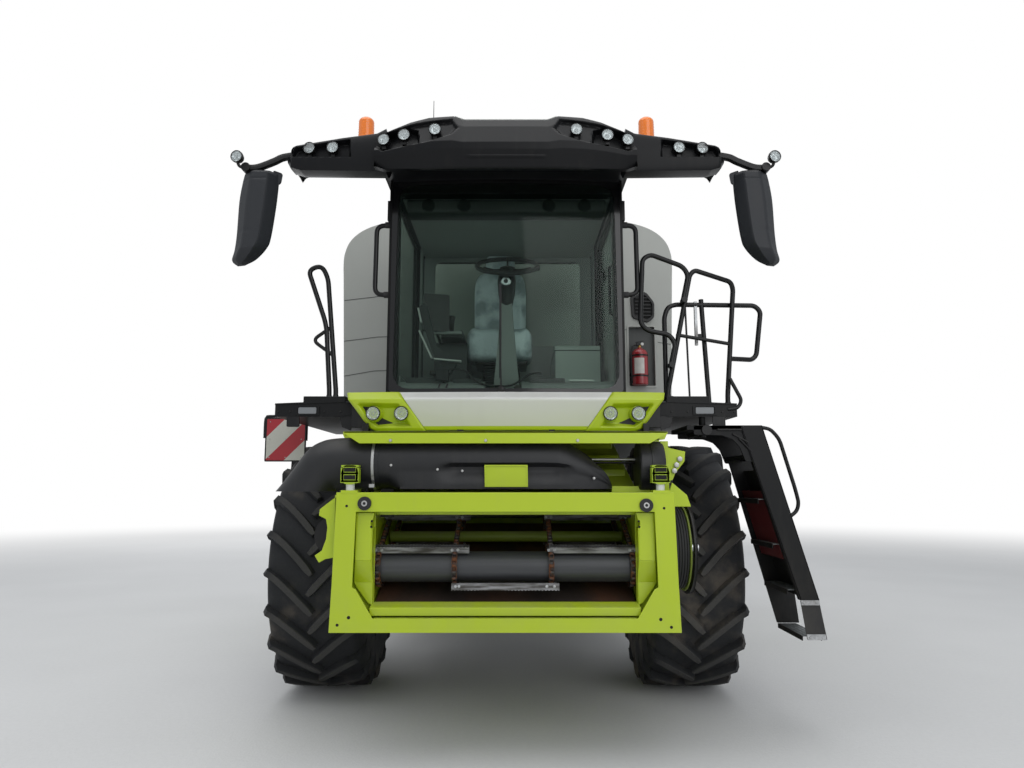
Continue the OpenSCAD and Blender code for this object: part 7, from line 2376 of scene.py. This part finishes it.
for x, y, z in ((1.104, Y1, Z), (1.102, Y2, Z), (1.395, Y2, 2.142), (1.51, Y1, Z - 0.05),
        (-1.17, Y3, Z), (-1.215, Y3, Z)):
    rails.add(turned([(0.0, 0.016), (0.0, 0.036), (0.008, 0.036), (0.009, 0.02), (0.02, 0.0185)],
        (x, y, z), "z", 20), satin_black)
rails.made("chassis", "black_plastic", ["handrails"], smooth=50)


# ---------------------------------------------------------------- ladder
# The boarding ladder hangs by a pin from the left deck. Two broad folded black
# stringers carry five treads of punched plate, with a bent rail on the outside.

# A red darkened as painted shade, for the panel inside the ladder.
shaded_ladder_red = painted("ladder_panel_red_painted_shade", (0.085, 0.006, 0.008), 0.38, dust=0.25, shine=0.4)
boarding = Piece("boarding_ladder")
LADDER_FRONT = -1.45
stringer = [(1.556, 1.988), (1.695, 1.988), (2.012, 0.866), (1.892, 0.866)]
foot = [(1.892, 0.866), (2.012, 0.866), (2.052, 0.62), (1.925, 0.62)]
boarding.add(plate(rounded(stringer, 0.006, 3), LADDER_FRONT, -1.444), deck_paint)
for folded_edge in ([(1.69, 1.986), (1.697, 1.988), (2.014, 0.866), (2.006, 0.866)],
        [(1.554, 1.986), (1.562, 1.986), (1.9, 0.866), (1.89, 0.866)]):
    boarding.add(plate(folded_edge, LADDER_FRONT, -1.405), deck_paint)
boarding.add(plate(rounded(foot, 0.006, 3), -1.446, -1.44), black_rubber)
for z0, z1 in ((0.835, 0.866), (0.62, 0.655)):
    a, b = (1.892 + (0.866 - z) * 0.136 for z in (z1, z0))
    boarding.add(plate([(b, z0), (b + 0.12, z0), (a + 0.12, z1), (a, z1)], -1.452, -1.445),
        galvanised.material)
    for x in (0.02, 0.1):
        boarding.add(turned([(-0.004, 0.001), (-0.004, 0.006), (0.0, 0.008)], (a + x, -1.452,
            (z0 + z1) / 2), "y", 10), galvanised.material)
rear_string = [(1.5, 1.988), (1.74, 1.988), (2.035, 0.866), (2.06, 0.64), (1.905, 0.64),
    (1.61, 1.75), (1.545, 1.86)]
boarding.add(plate(rounded(rear_string, 0.006, 3), -0.962, -0.95), deck_paint)
# The arm that carries the ladder from its pin, with pressed ribs
arm_plate = [(1.245, 1.99), (1.245, 1.93), (1.43, 1.926), (1.5, 1.9), (1.545, 1.85),
    (1.583, 1.752), (1.64, 1.752), (1.68, 1.9), (1.69, 1.99)]
for y in (-1.44, -0.968):
    boarding.add(plate(rounded(arm_plate, 0.01, 3), y, y + 0.014), deck_paint)
for x0, z0, x1, z1 in ((1.4, 1.962, 1.56, 1.962), (1.5, 1.935, 1.6, 1.88), (1.54, 1.905, 1.62,
        1.82)):
    boarding.add(pipe([(x0, -1.446, z0), (x1, -1.446, z1)], 0.007, 10), satin_black)
boarding.add(block((1.2, -1.44, 1.962), (1.7, -0.955, 1.992)), deck_paint)
boarding.add(turned([(-1.455, 0.022), (-1.455, 0.034), (-1.42, 0.034), (-1.42, 0.022), (-0.975,
    0.022), (-0.975, 0.034), (-0.945, 0.034), (-0.945, 0.004)], (1.33, 0, 1.96), "y", 28),
    satin_black)
# Treads: a punched plate with a turned-down edge
TREAD_REAR, TREAD_FRONT = -0.964, -1.404
for rise in 0.29 * np.arange(5):
    x, z = 1.963 - rise * 0.284, 0.637 + rise
    sheet = rounded(rect(x - 0.052, TREAD_FRONT, x + 0.07, TREAD_REAR), 0.006, 3)
    boarding.add(plate(sheet, z - 0.004, z + 0.001, "z"), tread)
    boarding.add(bars((x - 0.046, -1.395), (x + 0.062, -0.972), z + 0.0008, 0.03, 0.022), tread)
    for x0 in (x - 0.056, x + 0.066):
        boarding.add(block((x0, TREAD_FRONT, z - 0.03), (x0 + 0.006, TREAD_REAR, z + 0.001)),
            deck_paint)
boarding.add(plate([(1.715, 1.7), (1.728, 1.703), (1.965, 0.87), (1.952, 0.866)], -1.4, -0.966),
    deck_paint)
# A slanting red panel inside the ladder, in red darkened as painted shade.
boarding.add(plate([(1.69, 1.56), (1.7, 1.56), (1.822, 1.12), (1.812, 1.12)], -1.395, -0.97),
    shaded_ladder_red)
outer_rail = [(1.7, 1.978), (1.755, 1.968), (1.812, 1.905), (1.903, 1.567), (1.92, 1.483),
    (1.905, 1.43), (1.858, 1.395)]
boarding.add(pipe(bent([(x, -1.43, z) for x, z in outer_rail], 0.06), 0.0125, 16), rail_black)
boarding.add(pipe([(1.64, -0.955, 1.95), (1.78, -0.955, 1.93), (1.9, -0.955, 1.5), (1.82, -0.955,
    1.4)], 0.0125, 14), rail_black)
boarding.made("ladder", "dark_metal", ["ladder"], edge=0.001)
